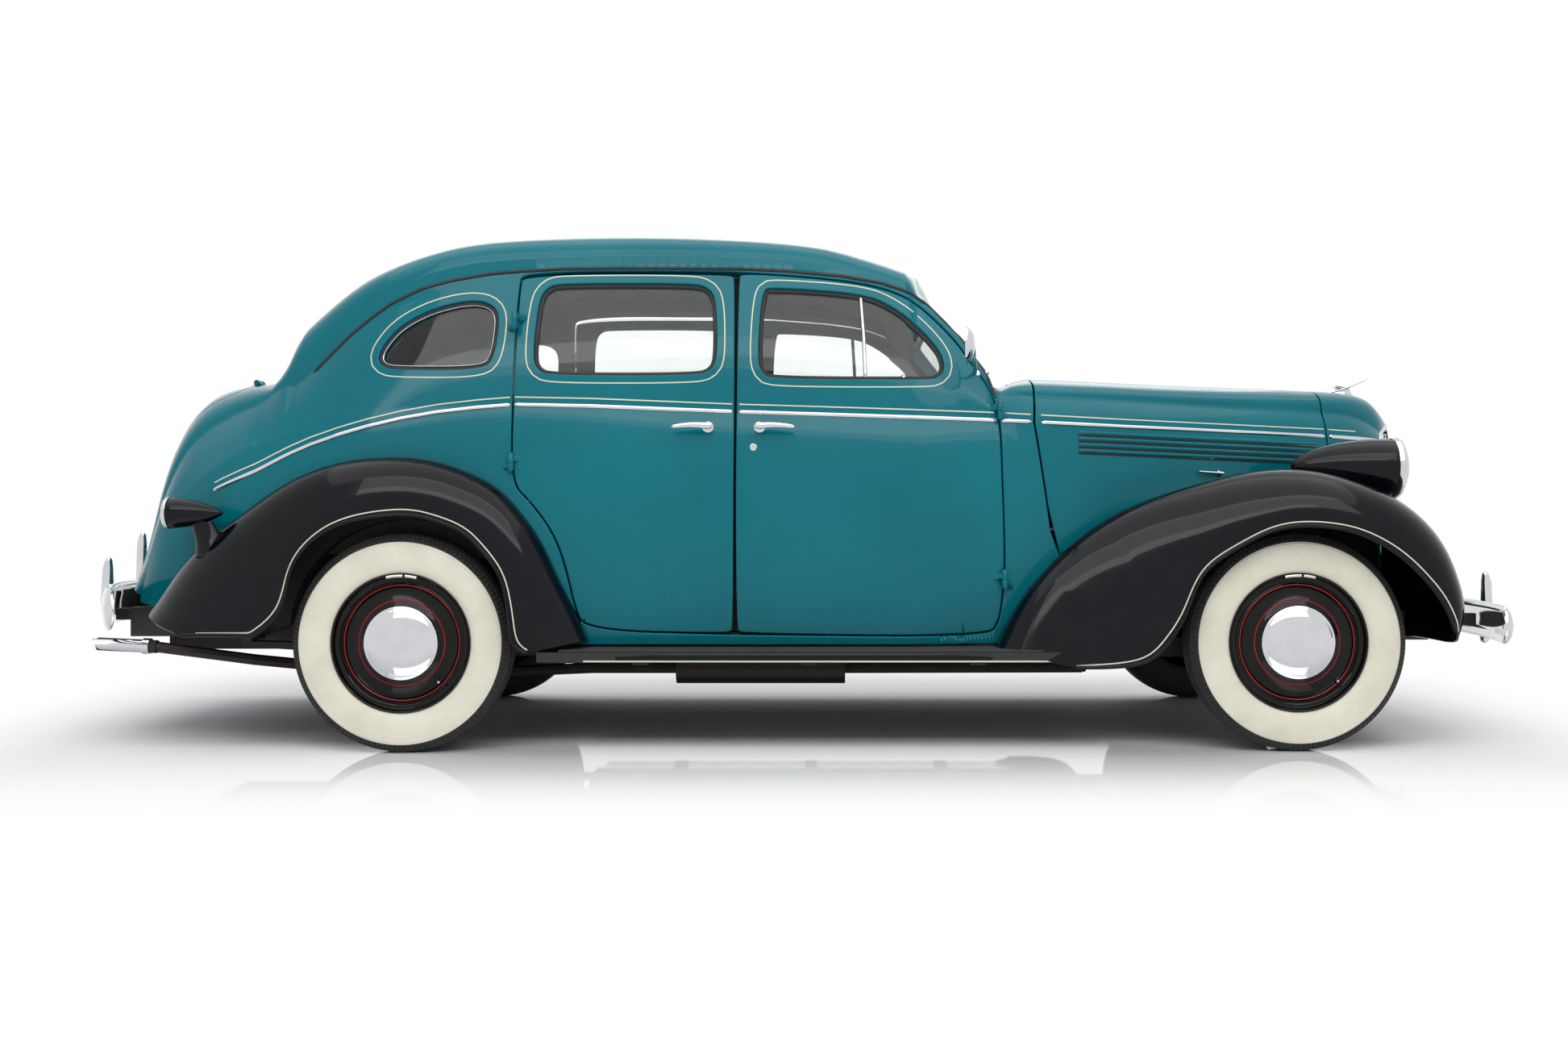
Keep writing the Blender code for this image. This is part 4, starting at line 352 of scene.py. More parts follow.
class Skin:
    """A smooth surface of the car on a dense grid, on which panels are cut and trim is laid."""

    def __init__(self, grid: np.ndarray) -> None:
        """Keep the grid, its normals and a search tree.

        Args:
            grid: points by row and column, right-hand side.
        """
        self.grid = grid
        rows, columns = grid.shape[:2]
        along = np.gradient(grid, axis=0)
        across = np.gradient(grid, axis=1)
        self.normal = unit(np.cross(along, across))
        faces = []
        for i in range(rows - 1):
            for j in range(columns - 1):
                a = i * columns + j
                faces.append((a, a + 1, a + columns + 1))
                faces.append((a, a + columns + 1, a + columns))
        self.columns = columns
        self.tree = BVHTree.FromPolygons(grid.reshape(-1, 3).tolist(), faces)
        self.scale = (float(np.mean(np.linalg.norm(along, axis=2))), float(
            np.mean(np.linalg.norm(across, axis=2))))

    def turn_out(self, inner: Point) -> "Skin":
        """Make the normals point away from an inner place.

        Args:
            inner: a point inside the form.

        Returns:
            The same skin.
        """
        away = self.grid - np.array(inner)
        if float(np.sum(away * self.normal)) < 0.0:
            self.normal = -self.normal
        return self

    def _share(self, index: int, point: Vector) -> tuple[float, float]:
        """Grid place of a point on one search triangle."""
        cell, upper = divmod(index, 2)
        i, j = divmod(cell, self.columns - 1)
        p = np.array(point)
        a, c = self.grid[i, j], self.grid[i + 1, j + 1]
        b = self.grid[i, j + 1] if upper == 0 else self.grid[i + 1, j]
        first, second = b - a, c - a
        rel = p - a
        d00, d01, d11 = first @ first, first @ second, second @ second
        d20, d21 = rel @ first, rel @ second
        low = max(d00 * d11 - d01 * d01, 1e-18)
        v = (d11 * d20 - d01 * d21) / low
        w = (d00 * d21 - d01 * d20) / low
        if upper == 0:
            return i + w, j + v + w
        return i + v + w, j + w

    def nearest(self, point: Sequence[float]) -> tuple[float, float]:
        """Grid place nearest to a point."""
        place, _, index, _ = self.tree.find_nearest(Vector(point))
        return self._share(index, place)

    def cast(self, start: Point, way: Point) -> Optional[tuple[float, float]]:
        """Grid place that a line meets first, if it meets the skin."""
        place, _, index, _ = self.tree.ray_cast(Vector(start), Vector(way).normalized())
        return None if place is None else self._share(index, place)

    def from_side(self, x: float, z: float) -> tuple[float, float]:
        """Grid place seen from the right side at x from the rear axle and z."""
        found = self.cast((x + REAR_AXLE_X, -3.0, z), TO_LEFT)
        return found if found else self.nearest((x + REAR_AXLE_X, -0.7, z))

    def read(self, places: np.ndarray) -> tuple[np.ndarray, np.ndarray]:
        """Points and normals at grid places.

        Args:
            places: row and column numbers, with fractions.

        Returns:
            Points and unit normals.
        """
        rows, columns = self.grid.shape[:2]
        a = np.clip(places[:, 0], 0, rows - 1)
        b = np.clip(places[:, 1], 0, columns - 1)
        i = np.minimum(a.astype(int), rows - 2)
        j = np.minimum(b.astype(int), columns - 2)
        s, t = (a - i)[:, None], (b - j)[:, None]
        result = []
        for table in (self.grid, self.normal):
            low = table[i, j] * (1 - t) + table[i, j + 1] * t
            high = table[i + 1, j] * (1 - t) + table[i + 1, j + 1] * t
            result.append(low * (1 - s) + high * s)
        return result[0], unit(result[1])

    def from_behind(self, y: float, z: float) -> Optional[tuple[float, float]]:
        """Grid place seen from behind at y, to the right, and z."""
        return self.cast((-3.0, -y, z), FORWARD)

    def front_path(self, path: Outline) -> np.ndarray:
        """Grid places of a front-view path."""
        return np.array([self.cast((3.0, -y, z), BACKWARD) for y, z in path])

    def side_path(self, path: Outline) -> np.ndarray:
        """Grid places of a side-view path."""
        return np.array([self.from_side(x, z) for x, z in path])


def right_skin(grid: Sequence, inner: Point) -> Skin:
    """Set a grid that starts from the rear axle on the right-hand side of the car.

    Args:
        grid: points by row and column, y positive.
        inner: a point inside the form.

    Returns:
        Its skin.
    """
    table = np.array(grid)
    table[:, :, 0] += REAR_AXLE_X
    table[:, :, 1] *= -1.0
    return Skin(table).turn_out(inner)


def row_controls(rows: Sequence) -> tuple[np.ndarray, np.ndarray]:
    """Flatten loft rows to one row of numbers each, with the place of each along the loft."""
    values = []
    for low, side, belt, rail, top, share in rows:
        values.append([*low, *side, *belt, *rail, *top, share])
    table = np.array(values)
    steps = np.abs(np.diff(table[:, [0, 3, 6, 9, 12]], axis=0)).mean(axis=1)
    heights = np.abs(np.diff(table[:, [11, 13]], axis=0)).mean(axis=1)
    return np.concatenate([[0.0], np.cumsum(np.hypot(steps, heights * 0.7))]), table


def section(values: np.ndarray, counts: tuple[int, int, int, int]) -> np.ndarray:
    """Points of one half section from the bottom edge to the top centre.

    Args:
        values: the numbers of one row.
        counts: steps below the side, side to belt, belt to rail and above the rail.

    Returns:
        Points on the right side, x from the rear axle.
    """
    low, side, belt, rail = values[0:3], values[3:6], values[6:9], values[9:12]
    top, share = values[12:14], min(max(values[14], 0.0), 1.0)
    crown = float(np.interp(top[0], (-0.6, -0.42, 1.4, 1.78), (0.87, 0.52, 0.52, 0.8)))
    points = []
    for i in range(counts[0]):
        s = i / counts[0]
        p = low * (1 - s) + side * s
        p[1] = low[1] + (side[1] - low[1]) * math.sin(s * math.pi / 2.0)
        points.append(p)
    for i in range(counts[1]):
        s = i / counts[1]
        p = side * (1 - s) + belt * s
        p[1] = side[1] + (belt[1] - side[1]) * s ** 1.9
        points.append(p)
    for i in range(counts[2]):
        s = i / counts[2]
        p = belt * (1 - s) + rail * s
        p[1] += 0.01 * math.sin(math.pi * s)
        points.append(p)
    for i in range(counts[3] + 1):
        s = i / counts[3]
        angle = s * math.pi / 2.0
        round_y = rail[1] * max(0.0, math.cos(angle)) ** crown
        round_z = rail[2] + (top[1] - rail[2]) * math.sin(angle) ** crown
        y = rail[1] * (1 - s) * (1 - share) + round_y * share
        z = (rail[2] + (top[1] - rail[2]) * s) * (1 - share) + round_z * share
        part = 1.0 - y / rail[1]
        power = 1.0 + 0.6 * min(1.0, max(0.0, (share - 0.2) / 0.5))
        x = rail[0] + (top[0] - rail[0]) * (1.0 - (1.0 - part) ** power)
        points.append(np.array((x, y, z)))
    points[-1][1] = 0.0
    return np.array(points)


def loft(rows: Sequence, steps: int, counts: tuple[int, int, int, int], stiffness: float,
        breaks: Sequence[int], inner: Point) -> Skin:
    """Fair a set of rows to a dense skin.

    Args:
        rows: loft rows.
        steps: number of dense rows.
        counts: steps of the parts of a section.
        stiffness: of the fairing.
        breaks: numbers of rows where the form may bend freely.
        inner: a point inside the form.

    Returns:
        The skin of the right-hand half.
    """
    knots, table = row_controls(rows)
    at = np.linspace(knots[0], knots[-1], steps)
    fair = faired(knots, table, at, stiffness, [knots[b] for b in breaks])
    return right_skin([section(line, counts) for line in fair], inner)


@dataclass
class Sheet:
    """Triangles of one panel before they become an object."""

    points: np.ndarray
    faces: list[tuple[int, ...]]
    normals: list[np.ndarray]

    def mirrored(self) -> "Sheet":
        """The same panel on the other side of the car."""
        flip = np.array((1.0, -1.0, 1.0))
        faces = [tuple(reversed(face)) for face in self.faces]
        normals = [list(reversed([n * flip for n in corner])) for corner in self.normals]
        return Sheet(self.points * flip, faces, normals)

    def sides(self) -> tuple[tuple[Side, "Sheet"], ...]:
        """The panel for the right-hand side and its mirror image for the left."""
        return (Side.RIGHT, self), (Side.LEFT, self.mirrored())

    def both(self) -> "Sheet":
        """The panel joined to its mirror image along the middle of the car."""
        other = self.mirrored()
        count = len(self.points)
        number = np.arange(count) + count
        middle = np.abs(self.points[:, 1]) < 1e-5
        number[middle] = np.arange(count)[middle]
        faces = self.faces + [tuple(int(number[i]) for i in face) for face in other.faces]
        return Sheet(np.vstack([self.points, other.points]), faces, self.normals + other.normals)


def drop_faces_on_middle(sheet: Sheet) -> Sheet:
    """Set the corners on the car's middle plane exactly there and leave out the walls in it."""
    sheet.points[np.abs(sheet.points[:, 1]) < MIDDLE_BAND, 1] = 0.0
    keep = [k for k, face in enumerate(sheet.faces) if np.abs(sheet.points[list(face), 1]).max() > 0.0]
    normals = []
    for k in keep:
        corner = []
        for i, normal in zip(sheet.faces[k], sheet.normals[k]):
            flat = normal * np.array((1.0, 0.0, 1.0))
            size = float(np.linalg.norm(flat))
            corner.append(flat / size if sheet.points[i, 1] == 0.0 and size > 0.3 else normal)
        normals.append(corner)
    return Sheet(sheet.points, [sheet.faces[k] for k in keep], normals)


@dataclass
class Panel:
    """A sheet-metal panel cut from a skin, with rolled edges and a wall of even depth."""

    skin: Skin
    loops: list[np.ndarray]
    thickness: float = 0.02
    roll: float = 0.004
    every: tuple[int, int] = (2, 2)
    sink: float = 0.0

    def build(self) -> Sheet:
        """Cut, roll and thicken the panel.

        Returns:
            The panel on the right-hand side.
        """
        scale = np.array(self.skin.scale)
        rims = []
        extra = []
        for number, loop in enumerate(self.loops):
            points, normals = self.skin.read(loop)
            along = unit(np.roll(points, -1, axis=0) - np.roll(points, 1, axis=0))
            out = unit(np.cross(along, normals))
            shares = []
            for way in (PROBE, -PROBE):
                probe = (points + out * way)[::max(1, len(points) // 60)]
                test = np.array([self.skin.nearest(p) for p in probe])
                off = np.linalg.norm(self.skin.read(test)[0] - probe, axis=1)
                shares.append(float(np.mean(inside(test * scale, loop * scale) & (off < ON_SKIN))))
            if (shares[0] < shares[1]) != (number == 0):
                out = -out
            rims.append((points, out))
            for depth in (0.12, 0.4, 1.0):
                ring = points - out * self.roll * depth
                extra.extend(self.skin.nearest(p) for p in ring)
        boundary = np.vstack([r[0] for r in rims])
        lateral = np.vstack([r[1] for r in rims])
        rows, columns = self.skin.grid.shape[:2]
        inner = np.array([(i, j) for i in range(0, rows, self.every[0]) for j in range(0, columns,
            self.every[1])], float)
        outline = self.loops[0] * scale
        held = np.all((inner * scale > outline.min(axis=0)) & (inner * scale < outline.max(axis=0)), axis=1)
        kept = []
        for spot, clear in ((inner[held], max(self.roll * 2.0, EDGE_CLEAR)), (np.array(extra), 0.0)):
            if not len(spot):
                continue
            spot = spot[self._covered(spot * scale)]
            if clear and len(spot):
                spot = spot[nearest_edge(self.skin.read(spot)[0], boundary)[0] > clear]
            kept.append(spot)
        edges = []
        coordinates = []
        for loop in self.loops:
            start = len(coordinates)
            coordinates.extend(loop.tolist())
            edges.extend((start + k, start + (k + 1) % len(loop)) for k in range(len(loop)))
        for spot in kept:
            coordinates.extend(spot.tolist())
        flat = [Vector((a * scale[0], b * scale[1])) for a, b in coordinates]
        verts, _, faces, _, _, _ = delaunay_2d_cdt(flat, edges, [], 0, 1e-6)
        flat_all = np.array([tuple(v) for v in verts])
        triangles = np.array([tuple(f) for f in faces])
        centre = flat_all[triangles].mean(axis=1)
        triangles = triangles[self._covered(centre)]
        used = np.unique(triangles)
        renumber = np.full(len(flat_all), -1)
        renumber[used] = np.arange(len(used))
        triangles = renumber[triangles]
        places = flat_all[used] / scale
        return self.raise_walls(places, triangles, boundary, lateral)

    def _covered(self, at: np.ndarray) -> np.ndarray:
        """Tell which flat places lie within the outline and outside every opening."""
        scale = np.array(self.skin.scale)
        mask = inside(at, self.loops[0] * scale)
        for loop in self.loops[1:]:
            mask &= ~inside(at, loop * scale)
        return mask

    def raise_walls(self, places: np.ndarray, triangles: np.ndarray, boundary: np.ndarray,
            lateral: np.ndarray) -> Sheet:
        """Give a flat net of triangles its rolled edge, inner side and walls.

        Args:
            places: grid places of the corners.
            triangles: corner numbers.
            boundary: points of the edge.
            lateral: outward directions at the edge.

        Returns:
            The finished sheet.
        """
        points, normals = self.skin.read(places)
        gap, near = nearest_edge(points, boundary)
        out = lateral[near]
        rel = points - boundary[near]
        gap = np.minimum(gap, np.maximum(0.0, -np.sum(rel * out, axis=1) + 1e-6))
        lean = np.clip((self.roll - gap) / self.roll, 0.0, 1.0)
        lean[np.abs(boundary[near, 1]) < MIDDLE_BAND] = 0.0
        flat = np.sqrt(np.maximum(0.0, 1.0 - lean ** 2))
        outer = points - normals * (self.roll * (1.0 - flat) + self.sink)[:, None]
        shade = normals * np.maximum(flat, 0.02)[:, None] + out * lean[:, None]
        shade /= np.linalg.norm(shade, axis=1, keepdims=True)
        inner = points - normals * (self.thickness + self.sink)
        count = len(points)
        a, b, c = (outer[triangles[:, k]] for k in range(3))
        way = np.sum(np.cross(b - a, c - a) * normals[triangles[:, 0]], axis=1)
        triangles[way < 0.0] = triangles[way < 0.0][:, ::-1]
        faces: list[tuple[int, ...]] = []
        corner: list[list[np.ndarray]] = []
        for i, j, k in triangles.tolist():
            faces.append((i, j, k))
            corner.append([shade[i], shade[j], shade[k]])
            faces.append((k + count, j + count, i + count))
            corner.append([-normals[k], -normals[j], -normals[i]])
        for p, q in open_edges(triangles.tolist()):
            faces.append((q, p, p + count, q + count))
            corner.append([out[q], out[p], out[p], out[q]])
        return Sheet(np.vstack([outer, inner]), faces, corner)


def open_edges(faces: Iterable[Sequence[int]]) -> list[tuple[int, int]]:
    """Edges that only one face uses, in that face's order."""
    uses: dict[tuple[int, int], list[tuple[int, int]]] = {}
    for face in faces:
        for p, q in zip(face, [*face[1:], face[0]]):
            uses.setdefault((min(p, q), max(p, q)), []).append((p, q))
    return [found[0] for found in uses.values() if len(found) == 1]


def whole_grid(skin: Skin, thickness: float) -> Sheet:
    """Thicken a whole skin to a closed sheet.

    Args:
        skin: the surface.
        thickness: of the metal.

    Returns:
        The sheet on the right-hand side.
    """
    high, wide = skin.grid.shape[:2]
    points, normals = skin.grid.reshape(-1, 3), skin.normal.reshape(-1, 3)
    count = len(points)
    faces: list[tuple[int, ...]] = []
    corner: list[list[np.ndarray]] = []
    for i in range(high - 1):
        for j in range(wide - 1):
            a = i * wide + j
            face = [a, a + 1, a + wide + 1, a + wide]
            at = points[face]
            if float(np.cross(at[2] - at[0], at[3] - at[1]) @ normals[a]) < 0.0:
                face.reverse()
            faces.append(tuple(face))
            corner.append([normals[k] for k in face])
            faces.append(tuple(k + count for k in reversed(face)))
            corner.append([-normals[k] for k in reversed(face)])
    for p, q in open_edges(faces[::2]):
        faces.append((q, p, p + count, q + count))
        corner.append([unit(np.cross(points[q] - points[p], normals[p]))] * 4)
    return Sheet(np.vstack([points, points - normals * thickness]), faces, corner)


class Value:
    """A number socket of a material that takes part in plain sums."""

    def __init__(self, board: "Board", socket: bpy.types.NodeSocket) -> None:
        """Wrap one output socket of a board."""
        self.board = board
        self.socket = socket

    def _sum(self, operation: str, first: object, second: object = 0.0) -> "Value":
        """Add a Math node for one operation."""
        return self.board.node("ShaderNodeMath", {"operation": operation}, {0: first, 1: second})

    def __add__(self, other: object) -> "Value":
        """Sum of two values."""
        return self._sum("ADD", self, other)

    def __sub__(self, other: object) -> "Value":
        """Difference of two values."""
        return self._sum("SUBTRACT", self, other)

    def __rsub__(self, other: object) -> "Value":
        """Difference from a number on the left."""
        return self._sum("SUBTRACT", other, self)

    def __mul__(self, other: object) -> "Value":
        """Product of two values."""
        return self._sum("MULTIPLY", self, other)

    def sine(self) -> "Value":
        """Sine of a value in radians."""
        return self._sum("SINE", self)

    def size(self) -> "Value":
        """Value without its sign."""
        return self._sum("ABSOLUTE", self)

    def ramp(self, low: float, high: float, start: float = 0.0, end: float = 1.0) -> "Value":
        """Value drawn smoothly from one range to another."""
        settings = {"interpolation_type": "SMOOTHSTEP"}
        inputs = {"Value": self, "From Min": low, "From Max": high, "To Min": start, "To Max": end}
        return self.board.node("ShaderNodeMapRange", settings, inputs)


class Board:
    """The node tree of one material, built by plain calls."""

    def __init__(self, name: str) -> None:
        """Start a material with a Principled shader.

        Args:
            name: of the material.
        """
        self.material = bpy.data.materials.new(name)
        self.material.use_nodes = True
        self.tree = self.material.node_tree
        self.shader = self.tree.nodes["Principled BSDF"]

    def link(self, socket: bpy.types.NodeSocket, value: object) -> None:
        """Feed a socket with a link or a constant."""
        if isinstance(value, Value):
            self.tree.links.new(value.socket, socket)
        elif isinstance(value, bpy.types.NodeSocket):
            self.tree.links.new(value, socket)
        else:
            socket.default_value = value

    def node(self, kind: str, settings: dict[str, object], inputs: dict[object, object],
            output: object = 0) -> Value:
        """Add any node.

        Args:
            kind: type of the node.
            settings: its own settings, set first.
            inputs: values or links of its sockets by name or number.
            output: which output is wanted.

        Returns:
            The wanted output.
        """
        node = self.tree.nodes.new(kind)
        for key, value in settings.items():
            setattr(node, key, value)
        for key, value in inputs.items():
            self.link(node.inputs[key], value)
        return Value(self, node.outputs[output])

    def place(self, scale: Point = (1.0, 1.0, 1.0), centre: Point = (0.0, 0.0, 0.0)) -> Value:
        """Object coordinates about a centre, times a scale."""
        where = self.node("ShaderNodeTexCoord", {}, {}, "Object")
        shift = tuple(-c * s for c, s in zip(centre, scale))
        return self.node("ShaderNodeMapping", {}, {"Vector": where, "Scale": scale, "Location": shift})

    def axis(self, which: int, vector: Optional[Value] = None) -> Value:
        """One component of the object place or of a vector."""
        return self.node("ShaderNodeSeparateXYZ", {}, {0: vector or self.place()}, which)

    def noise(self, scale: float, detail: float = 3.0, rough: float = 0.5,
            vector: Optional[Value] = None) -> Value:
        """Cloudy noise between nothing and one."""
        inputs = {"Vector": vector or self.place(), "Scale": scale, "Detail": detail, "Roughness": rough}
        return self.node("ShaderNodeTexNoise", {}, inputs)

    def blend(self, share: object, first: object, second: object) -> Value:
        """Mix two colours by a share."""
        inputs = {0: share, 6: _colour(first), 7: _colour(second)}
        return self.node("ShaderNodeMix", {"data_type": "RGBA"}, inputs, 2)

    def bump(self, height: Value, strength: float, distance: float) -> None:
        """Feed the shader's normal from a height."""
        inputs = {"Height": height, "Strength": strength, "Distance": distance}
        self.link(self.shader.inputs["Normal"], self.node("ShaderNodeBump", {}, inputs))

    def set(self, **sockets: object) -> "Board":
        """Set sockets of the shader; underscores stand for spaces."""
        for key, value in sockets.items():
            self.link(self.shader.inputs[key.replace("_", " ")], _colour(value))
        return self


def _colour(value: object) -> object:
    """Give a plain colour its alpha; leave all else."""
    return (*value, 1.0) if isinstance(value, tuple) and len(value) == 3 else value


def linear(red: int, green: int, blue: int) -> Point:
    """Scene colour of a screen colour given in 0 to 255."""
    def one(value: int) -> float:
        share = value / 255.0
        return share / 12.92 if share <= 0.04045 else ((share + 0.055) / 1.055) ** 2.4
    return one(red), one(green), one(blue)


@dataclass(frozen=True)
class Paint:
    """Glossy coachwork enamel with a soft orange peel, faint dust and tiny colour changes."""

    name: str
    colour: Point
    deep: Point
    roughness: float = 0.16
    coat: float = 0.4

    def material(self) -> bpy.types.Material:
        """Build the paint."""
        board = Board(self.name)
        cloud = board.noise(2.3, 4.0)
        fleck = board.noise(900.0, 2.0)
        low = board.axis(2).ramp(0.95, 0.3)
        dust = low * board.noise(14.0, 6.0, 0.62).ramp(0.4, 0.75)
        base = board.blend(cloud.ramp(0.3, 0.7), self.deep, self.colour)
        flecked = board.blend(fleck.ramp(0.45, 0.75, 0.0, 0.1), base, tuple(min(1.0, c * 1.6 + 0.01)
            for c in self.colour))
        dusty = board.blend(dust * 0.03, flecked, tuple(c * 0.8 + 0.06 for c in self.colour))
        board.set(Base_Color=dusty, Metallic=0.0, Coat_Weight=self.coat, Coat_Roughness=0.03, Coat_IOR=1.38)
        board.set(Specular_IOR_Level=0.07)
        board.set(Roughness=board.noise(30.0, 5.0).ramp(0.3, 0.8, self.roughness, self.roughness + 0.1)
            + dust * 0.12)
        peel = board.noise(420.0, 1.0) + board.noise(9.0, 1.0) * 0.6
        board.bump(peel, 0.055, 0.0006)
        return board.material


@dataclass(frozen=True)
class Bright:
    """Bright plated metal with hairline scratches and faint clouding."""

    name: str
    colour: Point = (0.63, 0.64, 0.66)
    roughness: float = 0.03

    def material(self) -> bpy.types.Material:
        """Build the plating."""
        board = Board(self.name)
        cloud = board.noise(18.0, 5.0)
        hair = board.noise(160.0, 4.0, 0.7, board.place((0.05, 1.0, 1.0)))
        tone = board.blend(cloud.ramp(0.35, 0.7), self.colour, tuple(c * 0.94 for c in self.colour))
        board.set(Base_Color=tone, Metallic=1.0)
        board.set(Roughness=cloud.ramp(0.3, 0.8, self.roughness, self.roughness + 0.03)
            + hair.ramp(0.55, 0.75) * 0.04)
        board.bump(board.noise(55.0, 2.0) + hair * 0.2, 0.05, 0.0004)
        return board.material


@dataclass(frozen=True)
class Pane:
    """Flat safety glass, faintly grey-green, with light dust."""

    name: str
    tint: Point = (0.94, 0.97, 0.96)

    def material(self) -> bpy.types.Material:
        """Build the glass."""
        board = Board(self.name)
        film = board.noise(7.0, 5.0, 0.6)
        board.set(Base_Color=board.blend(film.ramp(0.45, 0.85), self.tint,
            tuple(c * 0.94 for c in self.tint)))
        board.set(Transmission_Weight=1.0, IOR=1.3, Metallic=0.0, Roughness=0.0)
        return board.material


@dataclass(frozen=True)
class Fluted:
    """Pressed headlamp glass with upright flutes."""

    name: str

    def material(self) -> bpy.types.Material:
        """Build the glass."""
        board = Board(self.name)
        flutes = (board.axis(1) * 620.0).sine()
        film = board.noise(12.0, 4.0)
        board.set(Base_Color=(0.95, 0.96, 0.95), Transmission_Weight=1.0, IOR=1.46)
        board.set(Roughness=film.ramp(0.4, 0.8, 0.02, 0.06))
        board.bump(flutes, 0.35, 0.0012)
        return board.material


@dataclass(frozen=True)
class Plain:
    """A worn solid finish: base colour clouded, with grain and a small relief."""

    name: str
    colour: Point
    other: Point
    roughness: float
    metallic: float = 0.0
    grain: float = 120.0
    relief: float = 0.2
    depth: float = 0.0008

    def material(self) -> bpy.types.Material:
        """Build the finish."""
        board = Board(self.name)
        cloud = board.noise(6.0, 6.0, 0.6)
        fine = board.noise(self.grain, 4.0, 0.6)
        tone = board.blend(cloud.ramp(0.35, 0.72), self.colour, self.other)
        board.set(Base_Color=board.blend(fine.ramp(0.5, 0.8) * 0.25, tone, self.other),
            Metallic=self.metallic)
        board.set(Roughness=fine.ramp(0.3, 0.8, self.roughness * 0.85, min(1.0, self.roughness * 1.15)))
        board.bump(fine + cloud * 0.5, self.relief, self.depth)
        return board.material


@dataclass(frozen=True)
class Cloth:
    """Woven seat cloth with a fine rib and soft colour changes."""

    name: str
    colour: Point
    other: Point

    def material(self) -> bpy.types.Material:
        """Build the cloth."""
        board = Board(self.name)
        place = board.place()
        warp = (board.axis(1, place) * 2600.0).sine()
        weft = ((board.axis(0, place) + board.axis(2, place)) * 2600.0).sine()
        weave = warp * weft
        nap = board.noise(40.0, 5.0, 0.65)
        tone = board.blend(nap.ramp(0.3, 0.75), self.colour, self.other)
        board.set(Base_Color=board.blend(weave.ramp(-1.0, 1.0) * 0.35, tone, self.other), Sheen_Weight=0.3)
        board.set(Roughness=nap.ramp(0.2, 0.9, 0.85, 0.97), Sheen_Roughness=0.5)
        board.bump(weave * 0.5 + nap, 0.35, 0.0006)
        return board.material


class Finishes:
    """Every finish of the car, each made once when it is first asked for."""

    RECIPES = (Paint("teal_enamel", linear(0, 106, 117), linear(0, 100, 112)),
        Paint("navy_enamel", linear(3, 5, 13), linear(2, 3, 9), 0.12, 0.45),
        Paint("wheel_enamel", linear(4, 4, 6), linear(2, 2, 4), 0.14, 0.5),
        Paint("cream_line", linear(214, 214, 190), linear(206, 205, 180), 0.25),
        Paint("red_line", linear(170, 28, 30), linear(150, 22, 26), 0.25), Bright("chrome_plate"),
        Bright("satin_steel", (0.58, 0.58, 0.58), 0.22), Pane("window_glass"),
        Pane("lamp_glass", (0.96, 0.97, 0.95)), Fluted("fluted_glass"), Bright("mirror_plate",
        (0.9, 0.9, 0.91), 0.02), Plain("black_rubber", linear(30, 30, 31), linear(40, 40, 41), 0.72,
        grain=300.0), Plain("white_rubber", linear(226, 222, 205), linear(214, 209, 190), 0.55, grain=200.0,
        # The near-black finish that follows on this line is painted shade, laid under the louvre ribs and
        # behind the grille bars.
        relief=0.1), Plain("black_gap", (0.006, 0.006, 0.007), (0.01, 0.01, 0.01), 0.8),
        Plain("frame_enamel", linear(18, 18, 19), linear(28, 26, 24), 0.5),
        Plain("under_coat", linear(14, 14, 14), linear(24, 22, 20), 0.9, relief=0.5),
        Plain("cast_metal", linear(44, 42, 40), linear(36, 31, 27), 0.65, 0.3),
        Plain("engine_green", linear(42, 66, 58), linear(34, 50, 45), 0.5),
        Plain("exhaust_metal", linear(44, 40, 37), linear(54, 42, 34), 0.6, 0.3),
        Plain("red_glass", linear(150, 8, 10), linear(120, 4, 6), 0.12, grain=90.0),
        Plain("board_rubber", linear(26, 26, 27), linear(36, 36, 37), 0.6, grain=200.0),
        Plain("ivory_plastic", linear(196, 180, 146), linear(180, 160, 124), 0.3, grain=60.0, relief=0.05),
        Plain("brown_plastic", linear(52, 34, 24), linear(40, 25, 18), 0.25, grain=60.0, relief=0.05),
        Plain("wood_grain", linear(92, 58, 34), linear(62, 36, 20), 0.35, grain=24.0, relief=0.05),
        Cloth("seat_cloth", linear(78, 68, 56), linear(62, 53, 43)), Cloth("trim_cloth", linear(64, 58, 50),
        linear(52, 47, 40)), Cloth("floor_carpet", linear(60, 50, 42), linear(44, 36, 30)))

    def __init__(self) -> None:
        """Start with nothing made."""
        self.made: dict[str, bpy.types.Material] = {}

    def get(self, name: str) -> bpy.types.Material:
        """The named finish."""
        if name not in self.made:
            recipe = next(r for r in self.RECIPES if r.name == name)
            self.made[name] = recipe.material()
        return self.made[name]


FINISHES = Finishes()


